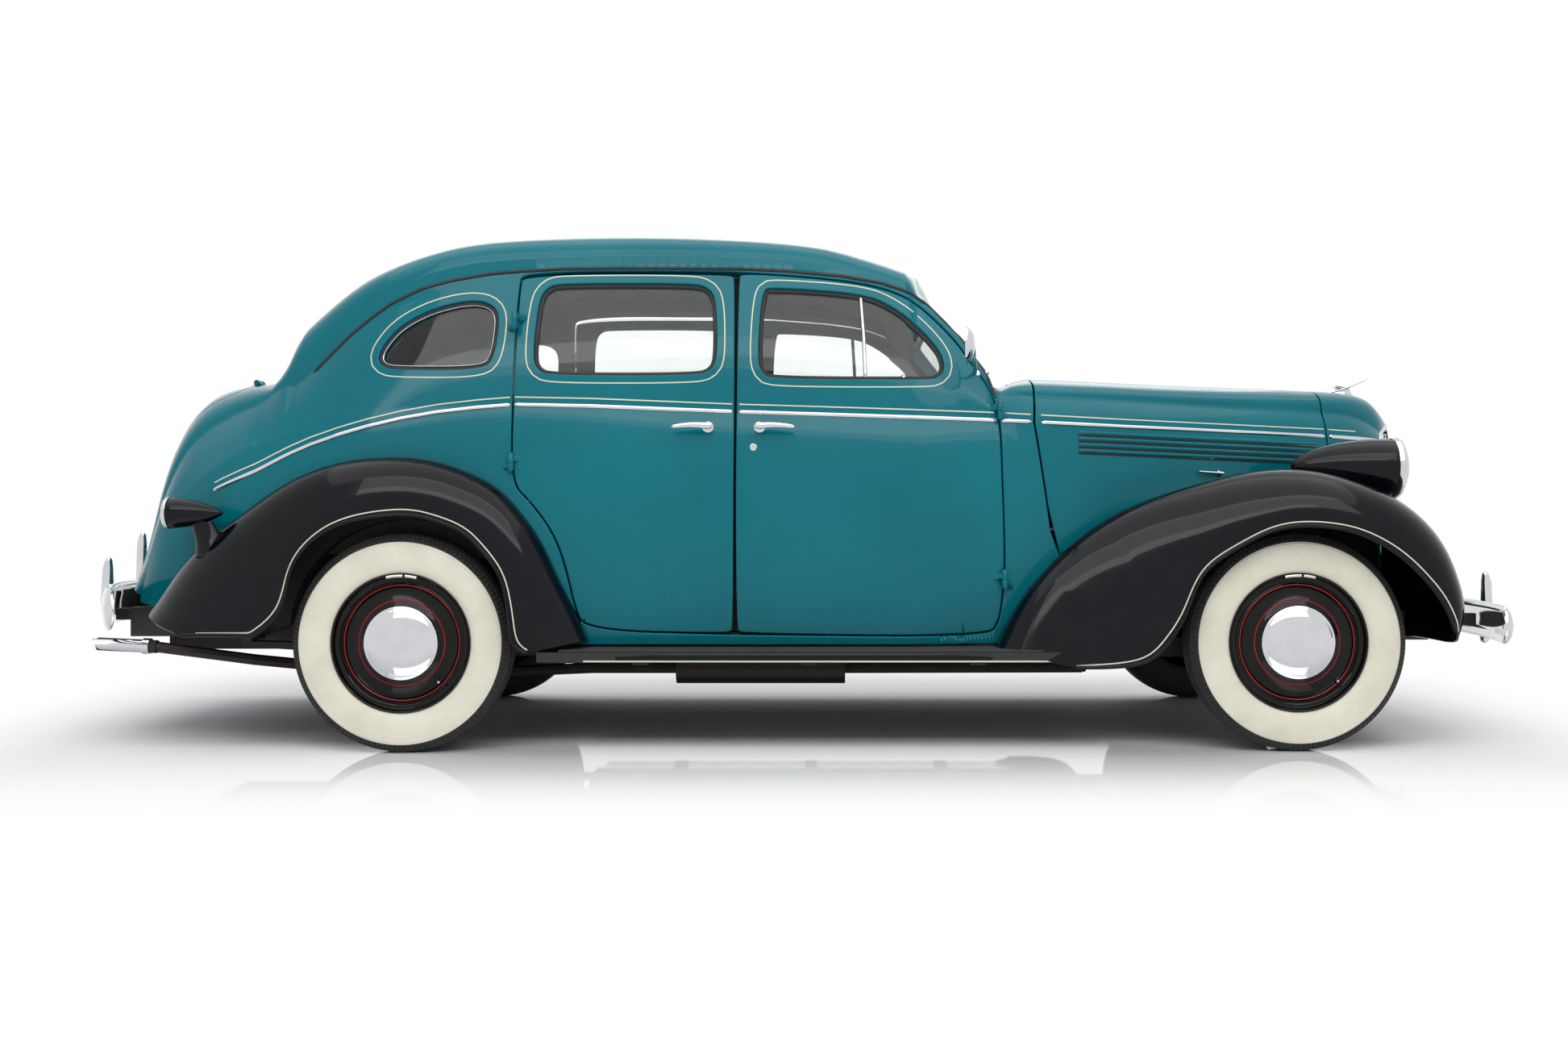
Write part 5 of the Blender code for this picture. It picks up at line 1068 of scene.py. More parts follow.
class Bench:
    """The workbench: turns sheets, profiles and paths into finished objects."""

    count = 0

    @staticmethod
    def clear() -> None:
        """Leave object mode with nothing selected."""
        if bpy.context.mode != "OBJECT":
            bpy.ops.object.mode_set(mode="OBJECT")
        bpy.ops.object.select_all(action="DESELECT")

    @staticmethod
    def link(name: str, mesh: bpy.types.Mesh) -> bpy.types.Object:
        """Put a mesh into the scene as an object."""
        thing = bpy.data.objects.new(name, mesh)
        bpy.context.scene.collection.objects.link(thing)
        return thing

    @classmethod
    def done(cls, thing: bpy.types.Object, finishes: str | Sequence[str], body: str, slot: str,
            replaces: Sequence[str] = ()) -> bpy.types.Object:
        """Dress a piece and let it ride.

        Args:
            thing: the piece.
            finishes: names of its finishes.
            body: the body that carries it.
            slot: the record's material slot; not used.
            replaces: frame nodes that it stands for.

        Returns:
            The piece.
        """
        names = [finishes] if isinstance(finishes, str) else list(finishes)
        if not thing.data.materials:
            for name in names:
                thing.data.materials.append(FINISHES.get(name))
        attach(thing, body)
        if replaces:
            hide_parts(*replaces)
        cls.count += 1
        LOG.info("%s on %s: %d faces", thing.name, body, len(thing.data.polygons))
        return thing

    @classmethod
    def sheet(cls, name: str, sheet: Sheet) -> bpy.types.Object:
        """Make an object of a sheet with its exact normals."""
        mesh = bpy.data.meshes.new(name)
        mesh.from_pydata(sheet.points.tolist(), [], sheet.faces)
        mesh.shade_smooth()
        flat = [tuple(n) for corner in sheet.normals for n in corner]
        mesh.normals_split_custom_set(flat)
        mesh.update()
        return cls.link(name, mesh)

    @classmethod
    def mesh(cls, name: str, points: Iterable, faces: Sequence, smooth: float = 32.0) -> bpy.types.Object:
        """Make an object from points and faces, turned outward.

        Args:
            name: of the object.
            points: its corners.
            faces: corner numbers of each face.
            smooth: angle in degrees up to which edges are smooth.

        Returns:
            The object.
        """
        mesh = bpy.data.meshes.new(name)
        mesh.from_pydata([tuple(p) for p in points], [], [tuple(f) for f in faces])
        shape = bmesh.new()
        shape.from_mesh(mesh)
        bmesh.ops.remove_doubles(shape, verts=shape.verts, dist=0.00002)
        bmesh.ops.recalc_face_normals(shape, faces=shape.faces)
        shape.to_mesh(mesh)
        shape.free()
        thing = cls.link(name, mesh)
        mesh.shade_smooth()
        mesh.set_sharp_from_angle(angle=math.radians(smooth))
        return thing

    @staticmethod
    def bands(wide: int, count: int, closed: bool) -> list[tuple[int, ...]]:
        """Faces between rings that follow each other, with a cap on each open end.

        Args:
            wide: points of a ring.
            count: number of rings.
            closed: whether the last ring meets the first.

        Returns:
            Corner numbers of the faces.
        """
        faces = []
        for k in range(count if closed else count - 1):
            n = (k + 1) % count
            for i in range(wide):
                j = (i + 1) % wide
                faces.append((k * wide + i, k * wide + j, n * wide + j, n * wide + i))
        if not closed:
            faces += [tuple(range(wide)), tuple(range((count - 1) * wide, count * wide))]
        return faces

    @classmethod
    def tube(cls, name: str, path: np.ndarray, profile: np.ndarray | tuple[float, float, int],
            up: np.ndarray | Point = (0.0, 0.0, 1.0), closed: bool = False,
            taper: Optional[Callable[[float], float]] = None) -> bpy.types.Object:
        """Sweep a closed profile along a path.

        Args:
            name: of the object.
            path: points of the path.
            profile: points of the section, sideways and up, or the half sizes and steps of an oval.
            up: one up direction, or one per path point.
            closed: whether the path closes.
            taper: size of the section at a share of the path.

        Returns:
            The object.
        """
        if isinstance(profile, tuple):
            wide, tall, steps = profile
            turn = np.linspace(0.0, math.tau, steps, endpoint=False)
            profile = arc(turn, wide, tall)
        path = np.asarray(path, float)
        count = len(path)
        ups = np.broadcast_to(np.asarray(up, float), (count, 3))
        if closed:
            along = np.roll(path, -1, axis=0) - np.roll(path, 1, axis=0)
        else:
            along = np.gradient(path, axis=0)
        along = unit(along)
        side = unit(np.cross(along, ups))
        true_up = np.cross(side, along)
        points = []
        for k in range(count):
            size = taper(k / max(1, count - 1)) if taper else 1.0
            for a, b in profile:
                points.append(path[k] + side[k] * a * size + true_up[k] * b * size)
        return cls.mesh(name, points, cls.bands(len(profile), count, closed), 40.0)

    @classmethod
    def spun(cls, name: str, profile: Sequence[tuple[float, float]], centre: Point, way: Point,
            steps: int = 64, smooth: float = 32.0) -> bpy.types.Object:
        """Spin a profile about an axis with the spin tool.

        Args:
            name: of the object.
            profile: (along, radius) points.
            centre: where along is nothing.
            way: direction of the axis.
            steps: faces round the piece.
            smooth: angle in degrees up to which edges are smooth.

        Returns:
            The object.
        """
        cls.clear()
        axis = Vector(way).normalized()
        helper = Vector((0.0, 0.0, 1.0)) if abs(axis.z) < 0.9 else Vector((1.0, 0.0, 0.0))
        side = axis.cross(helper).normalized()
        points = [Vector(centre) + axis * a + side * r for a, r in profile]
        mesh = bpy.data.meshes.new(name)
        mesh.from_pydata([tuple(p) for p in points], [(k, k + 1) for k in range(len(points) - 1)], [])
        thing = cls.link(name, mesh)
        thing.select_set(True)
        bpy.context.view_layer.objects.active = thing
        bpy.ops.object.mode_set(mode="EDIT")
        bpy.ops.mesh.select_all(action="SELECT")
        bpy.ops.mesh.spin(steps=steps, angle=math.tau, center=centre, axis=tuple(axis))
        bpy.ops.mesh.select_all(action="SELECT")
        bpy.ops.mesh.remove_doubles(threshold=0.00002)
        bpy.ops.mesh.normals_make_consistent(inside=False)
        bpy.ops.object.mode_set(mode="OBJECT")
        mesh.shade_smooth()
        mesh.set_sharp_from_angle(angle=math.radians(smooth))
        thing.select_set(False)
        return thing

    @classmethod
    def block(cls, name: str, low: Point, high: Point, bevel: float = 0.003,
            segments: int = 3) -> bpy.types.Object:
        """Add a box by hand and bevel all its edges in edit mode.

        Args:
            name: of the object.
            low: lowest corner.
            high: highest corner.
            bevel: width of the rounding.
            segments: steps of the rounding.

        Returns:
            The object.
        """
        cls.clear()
        centre = [(a + b) / 2.0 for a, b in zip(low, high)]
        bpy.ops.mesh.primitive_cube_add(size=1.0, location=centre)
        thing = bpy.context.object
        thing.name = name
        thing.data.name = name
        thing.scale = [abs(b - a) for a, b in zip(low, high)]
        bpy.ops.object.transform_apply(location=True, rotation=True, scale=True)
        bpy.ops.object.mode_set(mode="EDIT")
        bpy.ops.mesh.select_all(action="SELECT")
        bpy.ops.mesh.bevel(offset=bevel, segments=segments, affect="EDGES")
        bpy.ops.object.mode_set(mode="OBJECT")
        thing.data.shade_smooth()
        thing.data.set_sharp_from_angle(angle=math.radians(40.0))
        thing.select_set(False)
        return thing

    @classmethod
    def joined(cls, name: str, things: Sequence[bpy.types.Object]) -> bpy.types.Object:
        """Join pieces to one object."""
        cls.clear()
        for thing in things:
            thing.select_set(True)
        bpy.context.view_layer.objects.active = things[0]
        if len(things) > 1:
            bpy.ops.object.join()
        result = bpy.context.view_layer.objects.active
        result.name = name
        result.data.name = name
        result.select_set(False)
        return result

    @classmethod
    def copy(cls, thing: bpy.types.Object, name: str, flip: bool = False,
            shift: Point = (0.0, 0.0, 0.0)) -> bpy.types.Object:
        """Copy a piece with its own mesh, moved or mirrored to the other side of the car.

        Args:
            thing: the piece.
            name: of the copy.
            flip: whether y changes its sign first.
            shift: how far the copy is moved.

        Returns:
            The copy.
        """
        mesh = thing.data.copy()
        if flip:
            mesh.transform(Matrix.Scale(-1.0, 4, Vector((0.0, 1.0, 0.0))))
            mesh.flip_normals()
        mesh.transform(Matrix.Translation(shift))
        mesh.name = name
        return cls.link(name, mesh)

    @classmethod
    def rings(cls, name: str, rings: Sequence, smooth: float = 40.0) -> bpy.types.Object:
        """Join rings of equal length to a closed skin with capped ends.

        Args:
            name: of the object.
            rings: points of each ring.
            smooth: angle in degrees up to which edges are smooth.

        Returns:
            The object.
        """
        points = [p for ring in rings for p in ring]
        return cls.mesh(name, points, cls.bands(len(rings[0]), len(rings), False), smooth)

    @classmethod
    def pair(cls, thing: Optional[bpy.types.Object], finish: str, body: str, slot: str) -> None:
        """Dress a right-hand piece and its mirror image.

        Args:
            thing: the piece, if there is one.
            finish: name of its finish.
            body: the body that carries it; a star stands for the side.
            slot: the record's material slot.
        """
        if thing is None:
            return
        other = cls.copy(thing, f"{thing.name}_left", True)
        thing.name = f"{thing.name}_right"
        cls.done(thing, finish, body.replace("*", "right"), slot)
        cls.done(other, finish, body.replace("*", "left"), slot)


class Skins:
    """The faired surfaces that all panels and trim of the car follow."""

    def __init__(self) -> None:
        """Fair body, hood, nose and fenders."""
        self.body = loft(BODY_ROWS, 300, (12, 34, 44, 58), 9.0, (7, 8, 18, 20, 22, 23), (-0.75, 0.0, 0.9))
        self.hood = loft(HOOD_ROWS, 120, (10, 24, 14, 46), 9.0, (), (1.2, 0.0, 0.7))
        self.nose = loft(NOSE_ROWS, 80, (30, 24, 14, 40), 1.0, (), (1.9, 0.0, 0.7))
        self.front_fender = self._front_fender()
        self.rear_fender = self._rear_fender()

    @staticmethod
    def side_y(x: float) -> float:
        """Half width of the form beside the fenders at x from the rear axle."""
        rows = BODY_ROWS if x < HOOD_START_X else HOOD_ROWS if x < NOSE_START_X else NOSE_ROWS
        pick = 0 if rows is HOOD_ROWS else 1
        places = [row[pick][0] for row in rows]
        return float(np.interp(x, places, [row[pick][1] for row in rows]))

    @staticmethod
    def _fair_pairs(top: Outline, lip: Outline, steps: int, stiffness: float) -> tuple[np.ndarray,
            np.ndarray]:
        """Fair the crest and the lip of a fender together."""
        table = np.hstack([np.array(top), np.array(lip)])
        knots = np.concatenate([[0.0], np.cumsum(np.linalg.norm(np.diff(table[:, :2], axis=0), axis=1))])
        at = np.linspace(0.0, knots[-1], steps)
        fair = faired(knots, table, at, stiffness)
        return fair[:, :2], fair[:, 2:]

    def _front_fender(self) -> Skin:
        """Skin of the front fender from the hood side over the crest to the lip."""
        tops, lips = self._fair_pairs(FRONT_FENDER_TOP, FRONT_FENDER_LIP, 150, 3.0)
        edge_x = [row[0][0] for row in HOOD_ROWS]
        edge_z = [row[0][2] for row in HOOD_ROWS]
        grid = []
        for k, (top, lip) in enumerate(zip(tops, lips)):
            share = k / (len(tops) - 1)
            x = float(top[0])
            x_in = min(x, 3.4)
            side = self.side_y(x_in)
            if x < HOOD_START_X:
                z_in = top[1] - 0.002 - 0.03 * share
            else:
                blend = min(1.0, max(0.0, (x - 3.12) / 0.1))
                at_hood = min(float(np.interp(x, edge_x, edge_z)) - 0.012, top[1] - 0.035)
                z_in = at_hood * (1 - blend) + (top[1] - 0.035) * blend
            crest_y = max(0.7 + 0.05 * min(1.0, max(0.0, (2.3 - x) / 0.2)), side + 0.03)
            deep = np.array((x_in, side - 0.045, z_in + 0.004))
            start = np.array((x_in, side + 0.004, z_in))
            crest = np.array((x, crest_y, top[1]))
            line = [deep * (1 - s) + start * s for s in (0.0, 0.5)]
            reach = float(np.linalg.norm(crest - start))
            for i in range(22):
                s = i / 22
                h = (2 * s ** 3 - 3 * s ** 2 + 1, s ** 3 - 2 * s ** 2 + s, -2 * s ** 3 + 3 * s ** 2,
                    s ** 3 - s ** 2)
                rise = 0.55 if x > 2.3 else 0.15
                tangent_in = np.array((0.0, 1.0, 0.25)) * reach * 0.9
                tangent_out = np.array((0.0, 1.0, 0.0)) * reach * (1.5 + rise * 0.2)
                line.append(start * h[0] + tangent_in * h[1] + crest * h[2] + tangent_out * h[3])
            for i in range(37):
                angle = math.pi / 2.0 * i / 36
                down = 1.0 - max(0.0, math.cos(angle)) ** 0.85
                y = crest_y + (FENDER_FACE - crest_y) * math.sin(angle)
                line.append(np.array((x + (lip[0] - x) * down, y, top[1] + (lip[1] - top[1]) * down)))
            grid.append(line)
        return right_skin(grid, (1.6, -0.6, 0.4))

    def _rear_fender(self) -> Skin:
        """Skin of the rear fender from the body side to the lip."""
        tops, lips = self._fair_pairs(REAR_FENDER_TOP, REAR_FENDER_LIP, 130, 3.0)
        grid = []
        for top, lip in zip(tops, lips):
            side = self.side_y(float(top[0]))
            line = [np.array((top[0], side - 0.03 * (1 - s), top[1])) for s in (0.0, 0.5)]
            for i in range(45):
                angle = math.pi / 2.0 * i / 44
                out = math.sin(angle) ** 0.86
                down = 1.0 - max(0.0, math.cos(angle))
                y = side + (FENDER_FACE - side) * out
                line.append(np.array((top[0] + (lip[0] - top[0]) * down, y,
                    top[1] + (lip[1] - top[1]) * down)))
            grid.append(line)
        return right_skin(grid, (-1.25, -0.6, 0.4))


def hide(thing: bpy.types.Object, outline: np.ndarray, beyond: float = 0.0, inner: bool = False) -> None:
    """Turn the faces that lie behind a fender to the second finish.

    Args:
        thing: the panel.
        outline: side-view loop of the hidden part.
        beyond: half width below which faces stay painted.
        inner: whether faces that look inward are turned too.
    """
    mesh = thing.data
    centres = np.empty(len(mesh.polygons) * 3)
    mesh.polygons.foreach_get("center", centres)
    centres = centres.reshape(-1, 3)
    number = np.empty(len(mesh.polygons), np.int32)
    mesh.polygons.foreach_get("material_index", number)
    number[inside(centres[:, [0, 2]] - (REAR_AXLE_X, 0.0), outline) & (np.abs(centres[:, 1]) > beyond)] = 1
    if inner:
        ways = np.empty(len(mesh.polygons) * 3)
        mesh.polygons.foreach_get("normal", ways)
        number[np.sum(ways.reshape(-1, 3)[:, 1:] * (centres[:, 1:] - (0.0, 0.75)), axis=1) < 0.0] = 1
    mesh.polygons.foreach_set("material_index", number)


def split_runs(mask: np.ndarray) -> list[tuple[int, int]]:
    """Find the runs of true values.

    Args:
        mask: truth values.

    Returns:
        First and last-plus-one number of each run of three or more.
    """
    runs = []
    start = None
    for k, value in enumerate([*mask.tolist(), False]):
        if value and start is None:
            start = k
        if not value and start is not None:
            if k - start >= 3:
                runs.append((start, k))
            start = None
    return runs


@dataclass
class Trim:
    """A strip of metal or a painted line laid on a skin along a side-view path."""

    skin: Skin
    wide: float
    tall: float
    lift: float = 0.0
    flat: bool = False

    def lay(self, name: str, path: Outline, keep: Optional[Callable[[np.ndarray], np.ndarray]] = None,
            closed: bool = False, step: float = 0.008) -> Optional[bpy.types.Object]:
        """Lay the strip.

        Args:
            name: of the piece.
            path: x from the rear axle and z of the strip's middle.
            keep: tells which path points the strip may cover.
            closed: whether the path closes.
            step: spacing along the strip.

        Returns:
            The strip on the right-hand side, or nothing where no part is kept.
        """
        fine = even(np.array(path, float), step, closed=closed)
        mask = np.ones(len(fine), bool) if keep is None else keep(fine)
        parts = []
        whole = closed and bool(mask.all())
        runs = [(0, len(fine))] if whole else split_runs(mask)
        for number, (start, end) in enumerate(runs):
            run = fine[start:end]
            points, normals = self.skin.read(self.skin.side_path(run))
            wide, tall = self.wide / 2.0, self.tall
            if self.flat:
                profile = np.array([(-wide, -0.0006), (wide, -0.0006), (wide * 0.9, tall),
                    (-wide * 0.9, tall)])
            else:
                profile = crowned(wide, tall, 0.001, 7)
            taper = None if whole or self.flat else (lambda s: 1.0 if 0.004 < s < 0.996 else 0.55)
            parts.append(Bench.tube(f"{name}_{number}", points + normals * self.lift, profile, normals, whole,
                taper))
        return Bench.joined(name, parts) if parts else None


BELT_PATH = ((-0.667, 0.855), (-0.64, 0.868), (-0.59, 0.889), (-0.527, 0.914), (-0.47, 0.942), (-0.4, 0.976),
    (-0.33, 1.006), (-0.24, 1.037), (-0.14, 1.066), (-0.03, 1.092), (0.09, 1.113), (0.22, 1.128),
    (0.346, 1.138), (0.6, 1.133), (1.08, 1.114), (1.5, 1.102), (1.92, 1.0895), (2.08, 1.084), (2.4, 1.073),
    (2.87, 1.061), (3.15, 1.053), (3.3, 1.047), (3.42, 1.04), (3.452, 1.038))
DRIP_PATH = ((-0.357, 1.255), (-0.3, 1.315), (-0.232, 1.382), (-0.16, 1.44), (-0.094, 1.487), (0.008, 1.536),
    (0.111, 1.563), (0.249, 1.587), (0.35, 1.595), (0.503, 1.6035), (0.708, 1.605), (1.084, 1.603),
    (1.241, 1.596), (1.436, 1.579), (1.568, 1.557), (1.665, 1.524), (1.73, 1.48), (1.798, 1.414),
    (1.838, 1.368), (1.89, 1.291), (1.922, 1.24), (1.948, 1.165))


@dataclass
class Coachwork:
    """Roof, quarters, cowl and sills in one shell, with its doors, glass and trunk lid."""

    skins: Skins
    loops: dict[str, np.ndarray] = field(default_factory=dict)
    outlines: dict[str, np.ndarray] = field(default_factory=dict)

    def __post_init__(self) -> None:
        """Work out every outline once, in side view and on the skin."""
        skin = self.skins.body
        self.outlines["rear_door"] = rounded(REAR_DOOR)
        self.outlines["front_door"] = rounded(FRONT_DOOR)
        self.outlines["front_window"] = rounded(FRONT_WINDOW, edge=0.01)
        self.outlines["rear_window"] = rounded(REAR_WINDOW_SIDE, edge=0.01)
        self.outlines["quarter_window"] = rounded(QUARTER_WINDOW, edge=0.01)
        both = [*[(x, z + 0.006) for x, z in REAR_DOOR[:4]], *FRONT_DOOR, *REAR_DOOR[4:]]
        self.outlines["doorway"] = grown(rounded(both), DOOR_GAP)
        for name, outline in self.outlines.items():
            self.loops[name] = skin.side_path(outline)
        self.loops["trunk"] = self.trunk_loop(0.0)
        self.loops["trunk_hole"] = self.trunk_loop(0.005)
        self.loops["windshield_hole"] = self.front_loop(WINDSHIELD_PANE, 0.0)
        self.loops["back_hole"] = self.back_loop()

    def front_loop(self, half: Outline, gap: float) -> np.ndarray:
        """Loop of one windshield half, met from the front."""
        return self.skins.body.front_path(grown(rounded(half, sharp=60.0, edge=0.01), gap))

    def back_loop(self) -> np.ndarray:
        """Half loop of the back glass, closed along the middle of the car."""
        curve = rounded(full_outline(BACK_PANE), sharp=80.0, edge=0.01)
        curve = curve[curve[:, 0] >= 0.0]
        curve = curve[np.argsort(np.arctan2(curve[:, 1] - np.array(BACK_PANE)[:, 1].mean(), curve[:, 0]))]
        skin = self.skins.body
        last = skin.grid.shape[1] - 1
        loop = [skin.from_behind(max(y, 0.0004), z) for y, z in curve]
        result = [(a, min(b, last - 0.02)) for a, b in loop]
        return np.array([(result[0][0], float(last)), *result, (result[-1][0], float(last))])

    def trunk_loop(self, gap: float) -> np.ndarray:
        """Half loop of the trunk lid, closed along the middle of the car."""
        skin = self.skins.body
        last = float(skin.grid.shape[1] - 1)
        low = [(y + (gap if y > 0.0 else 0.0), z - gap) for y, z in ((0.0, 0.655), (0.3, 0.655),
            (0.345, 0.672), (0.37, 0.705), (0.385, 0.76), (0.395, 0.84), (0.4, 0.94), (0.401, 1.0))]
        path = even(np.array(low), 0.012)
        loop = [skin.from_behind(max(y, 0.0005), z) for y, z in path]
        top_x = TRUNK_FRONT_X + gap + REAR_AXLE_X
        corner = 0.045
        upper = []
        for x in np.arange(-2.14, top_x - corner, 0.012):
            upper.append((x, 0.4 + gap))
        for k in range(9):
            turn = math.pi / 2.0 * k / 8
            upper.append((top_x - corner + corner * math.sin(turn), 0.4 + gap - corner
                + corner * math.cos(turn)))
        for y in np.arange(0.4 - corner - 0.012, 0.004, -0.012):
            upper.append((top_x, y))
        upper.append((top_x, 0.0005))
        loop += [skin.cast((x, -y, 3.0), (0.0, 0.0, -1.0)) for x, y in upper]
        loop[0] = (loop[0][0], last)
        loop[-1] = (loop[-1][0], last)
        return np.array(loop)

    def outside_doors(self, points: np.ndarray) -> np.ndarray:
        """Tell which side-view points are on the shell beside the doors."""
        return ~inside(points, grown(self.outlines["doorway"], 0.002))

    def on_door(self, name: str) -> Callable[[np.ndarray], np.ndarray]:
        """Make a test for points on one door."""
        outline = grown(self.outlines[name], -0.003)
        return lambda points: inside(points, outline)

    def shell(self) -> None:
        """Cut the shell panel with all its openings and join its halves."""
        skin = self.skins.body
        rows, columns = skin.grid.shape[0] - 1.0, skin.grid.shape[1] - 1.0
        along = skin.grid[:, 0, 0] - REAR_AXLE_X
        sills = [(float(i), 0.0) for i in np.arange(0.0, rows, 0.8)]
        place = np.interp([p[0] for p in sills], np.arange(len(along)), along)
        edge = [p for p, x in zip(sills, place) if x < -ARCH_RADIUS - 0.004]
        turn = np.radians(np.linspace(172.4, 0.0, 100))
        arch = arc(turn, ARCH_RADIUS, ARCH_RADIUS) + (0.0, WHEEL_CENTRE_Z)
        edge += [tuple(p) for p in skin.side_path(arch)]
        edge += [p for p, x in zip(sills, place) if x > ARCH_RADIUS + 0.004]
        edge += [(rows, float(j)) for j in range(0, int(columns), 2)]
        edge += [(float(i), columns) for i in range(int(rows), 0, -2)]
        edge += [(0.0, float(j)) for j in range(int(columns), 0, -2)]
        openings = [self.loops["doorway"], self.loops["quarter_window"], self.loops["windshield_hole"],
            self.loops["back_hole"], self.loops["trunk_hole"]]
        panel = Panel(skin, [np.array(edge), *openings], WALL, 0.004, (3, 3)).build()
        panel = drop_faces_on_middle(panel).both()
        thing = Bench.sheet("coach_shell", panel)
        for outline in UNDER_FENDERS:
            hide(thing, np.array(outline))
        Bench.done(thing, ["teal_enamel", "under_coat"], "car", "body_paint", ["body_shell"])

    def doors(self) -> None:
        """Cut the doors and their glass for both sides."""
        skin = self.skins.body
        for name, window, node in (("rear_door", "rear_window", "door_rear"),
                ("front_door", "front_window", "door_front")):
            panel = Panel(skin, [self.loops[name], self.loops[window]], WALL, 0.004, (3, 3)).build()
            pane = self.side_pane(window)
            for (side, leaf), (_, light) in zip(panel.sides(), pane.sides()):
                body = f"{name}_{side.word}"
                Bench.done(Bench.sheet(f"{body}_panel", leaf), "teal_enamel", body, "body_paint",
                    [f"{node}_{side.word}"])
                Bench.done(Bench.sheet(f"{body}_pane", light), "window_glass", body, "glass",
                    [f"{node}_glass_{side.word}"])

    def pane(self, loop: np.ndarray, sink: float = 0.014) -> Sheet:
        """Cut one pane that lies a little under the skin."""
        return Panel(self.skins.body, [loop], 0.005, 0.001, (4, 4), sink).build()

    def side_pane(self, window: str) -> Sheet:
        """Cut the pane of a side window with the edge that its rubber holds."""
        return self.pane(self.skins.body.side_path(grown(self.outlines[window], 0.006)), 0.017)

    def glass(self) -> None:
        """Cut the fixed glass."""
        for side, quarter in self.side_pane("quarter_window").sides():
            Bench.done(Bench.sheet(f"quarter_pane_{side.word}", quarter), "window_glass", "car", "glass",
                [f"quarter_glass_{side.word}"])
        for side, front in self.pane(self.front_loop(WINDSHIELD_PANE, 0.005)).sides():
            Bench.done(Bench.sheet(f"windshield_pane_{side.word}", front), "window_glass", "car", "glass",
                ["windshield"] if side is Side.RIGHT else [])
        back = drop_faces_on_middle(self.pane(self.loops["back_hole"])).both()
        Bench.done(Bench.sheet("back_pane", back), "window_glass", "car", "glass", ["rear_window"])

    def trunk(self) -> None:
        """Cut the trunk lid."""
        lid = Panel(self.skins.body, [self.loops["trunk"]], 0.026, 0.004, (2, 2)).build()
        thing = Bench.sheet("trunk_panel", drop_faces_on_middle(lid).both())
        Bench.done(thing, ["teal_enamel"], "trunk", "body_paint", ["trunk_lid"])

    def build(self) -> None:
        """Build the whole coachwork."""
        self.shell()
        self.doors()
        self.glass()
        self.trunk()


@dataclass
class Bonnet:
    """Hood halves and the nose shell with its grille opening."""

    skins: Skins
    split: float = 0.0075

    def hood(self) -> None:
        """Cut one hood half and mirror it."""
        skin = self.skins.hood
        rows = skin.grid.shape[0] - 1.0
        top = []
        for i in np.linspace(0.0, rows, 100):
            line = skin.grid[int(round(i))]
            reach = np.interp(self.split, line[::-1, 1] * -1.0, np.arange(len(line))[::-1])
            top.append((i, float(reach)))
        edge = [(i, 0.0) for i in np.linspace(0.0, rows, 100)]
        edge += [(rows, j) for j in np.linspace(1.0, top[-1][1], 70)][:-1]
        edge += list(reversed(top))
        edge += [(0.0, j) for j in np.linspace(top[0][1], 1.0, 70)][1:]
        panel = Panel(skin, [np.array(edge)], 0.006, 0.003, (2, 2)).build()
        for side, sheet in panel.sides():
            thing = Bench.sheet(f"hood_panel_{side.word}", sheet)
            hide(thing, np.array(UNDER_NOSE), 0.0, True)
            Bench.done(thing, ["teal_enamel", "under_coat"], f"hood_half_{side.word}", "body_paint",
                [f"hood_{side.word}"])

    def nose(self) -> None:
        """Cut the nose shell with its grille opening."""
        skin = self.skins.nose
        rows, columns = skin.grid.shape[0] - 1.0, skin.grid.shape[1] - 1.0
        curve = rounded(full_outline(GRILLE_HALF), sharp=80.0, edge=0.01)
        curve = curve[curve[:, 0] > 0.002]
        curve = curve[np.argsort(np.arctan2(curve[:, 1] - 0.8, curve[:, 0]))]
        loop = [skin.cast((3.0, -y, z), BACKWARD) or skin.nearest((2.2, -y, z)) for y, z in curve]
        edge = [(i, 0.0) for i in np.linspace(0.0, rows, 60)]
        edge += [(rows, j) for j in np.linspace(1.0, columns, 60)][:-1]
        edge += [(i, columns) for i in np.linspace(rows, 0.0, 60)]
        edge += [(0.0, j) for j in np.linspace(columns, 1.0, 70)][1:-1]
        hole = np.array([(rows, max(loop[0][1], 0.6)), *loop, (rows, min(columns - 0.6, loop[-1][1]))])
        panel = Panel(skin, [np.array(edge), hole], 0.01, 0.003, (1, 1)).build()
        thing = Bench.sheet("nose_panel", drop_faces_on_middle(panel).both())
        hide(thing, np.array(UNDER_NOSE), 0.235, True)
        Bench.done(thing, ["teal_enamel", "under_coat"], "car", "body_paint", ["nose_shell"])

    def build(self) -> None:
        """Build hood and nose."""
        self.hood()
        self.nose()


@dataclass
class Wings:
    """The four fenders with their rolled lips."""

    skins: Skins

    def fenders(self) -> None:
        """Thicken the fender skins and set their lips."""
        for word, skin in (("front", self.skins.front_fender), ("rear", self.skins.rear_fender)):
            sheet = whole_grid(skin, 0.006)
            for side, one in sheet.sides():
                Bench.done(Bench.sheet(f"{word}_wing_{side.word}", one), ["navy_enamel"], "car",
                    "fender_paint", [f"{word}_fender_{side.word}"])
            lip = skin.grid[:, -1]
            bead = Bench.tube(f"{word}_lip_right", even(lip, 0.012), (0.0065, 0.0065, 10), (0.0, -1.0, 0.0))
            Bench.done(bead, ["navy_enamel"], "car", "fender_paint")
            Bench.done(Bench.copy(bead, f"{word}_lip_left", True), ["navy_enamel"], "car", "fender_paint")

    def build(self) -> None:
        """Build all four."""
        self.fenders()


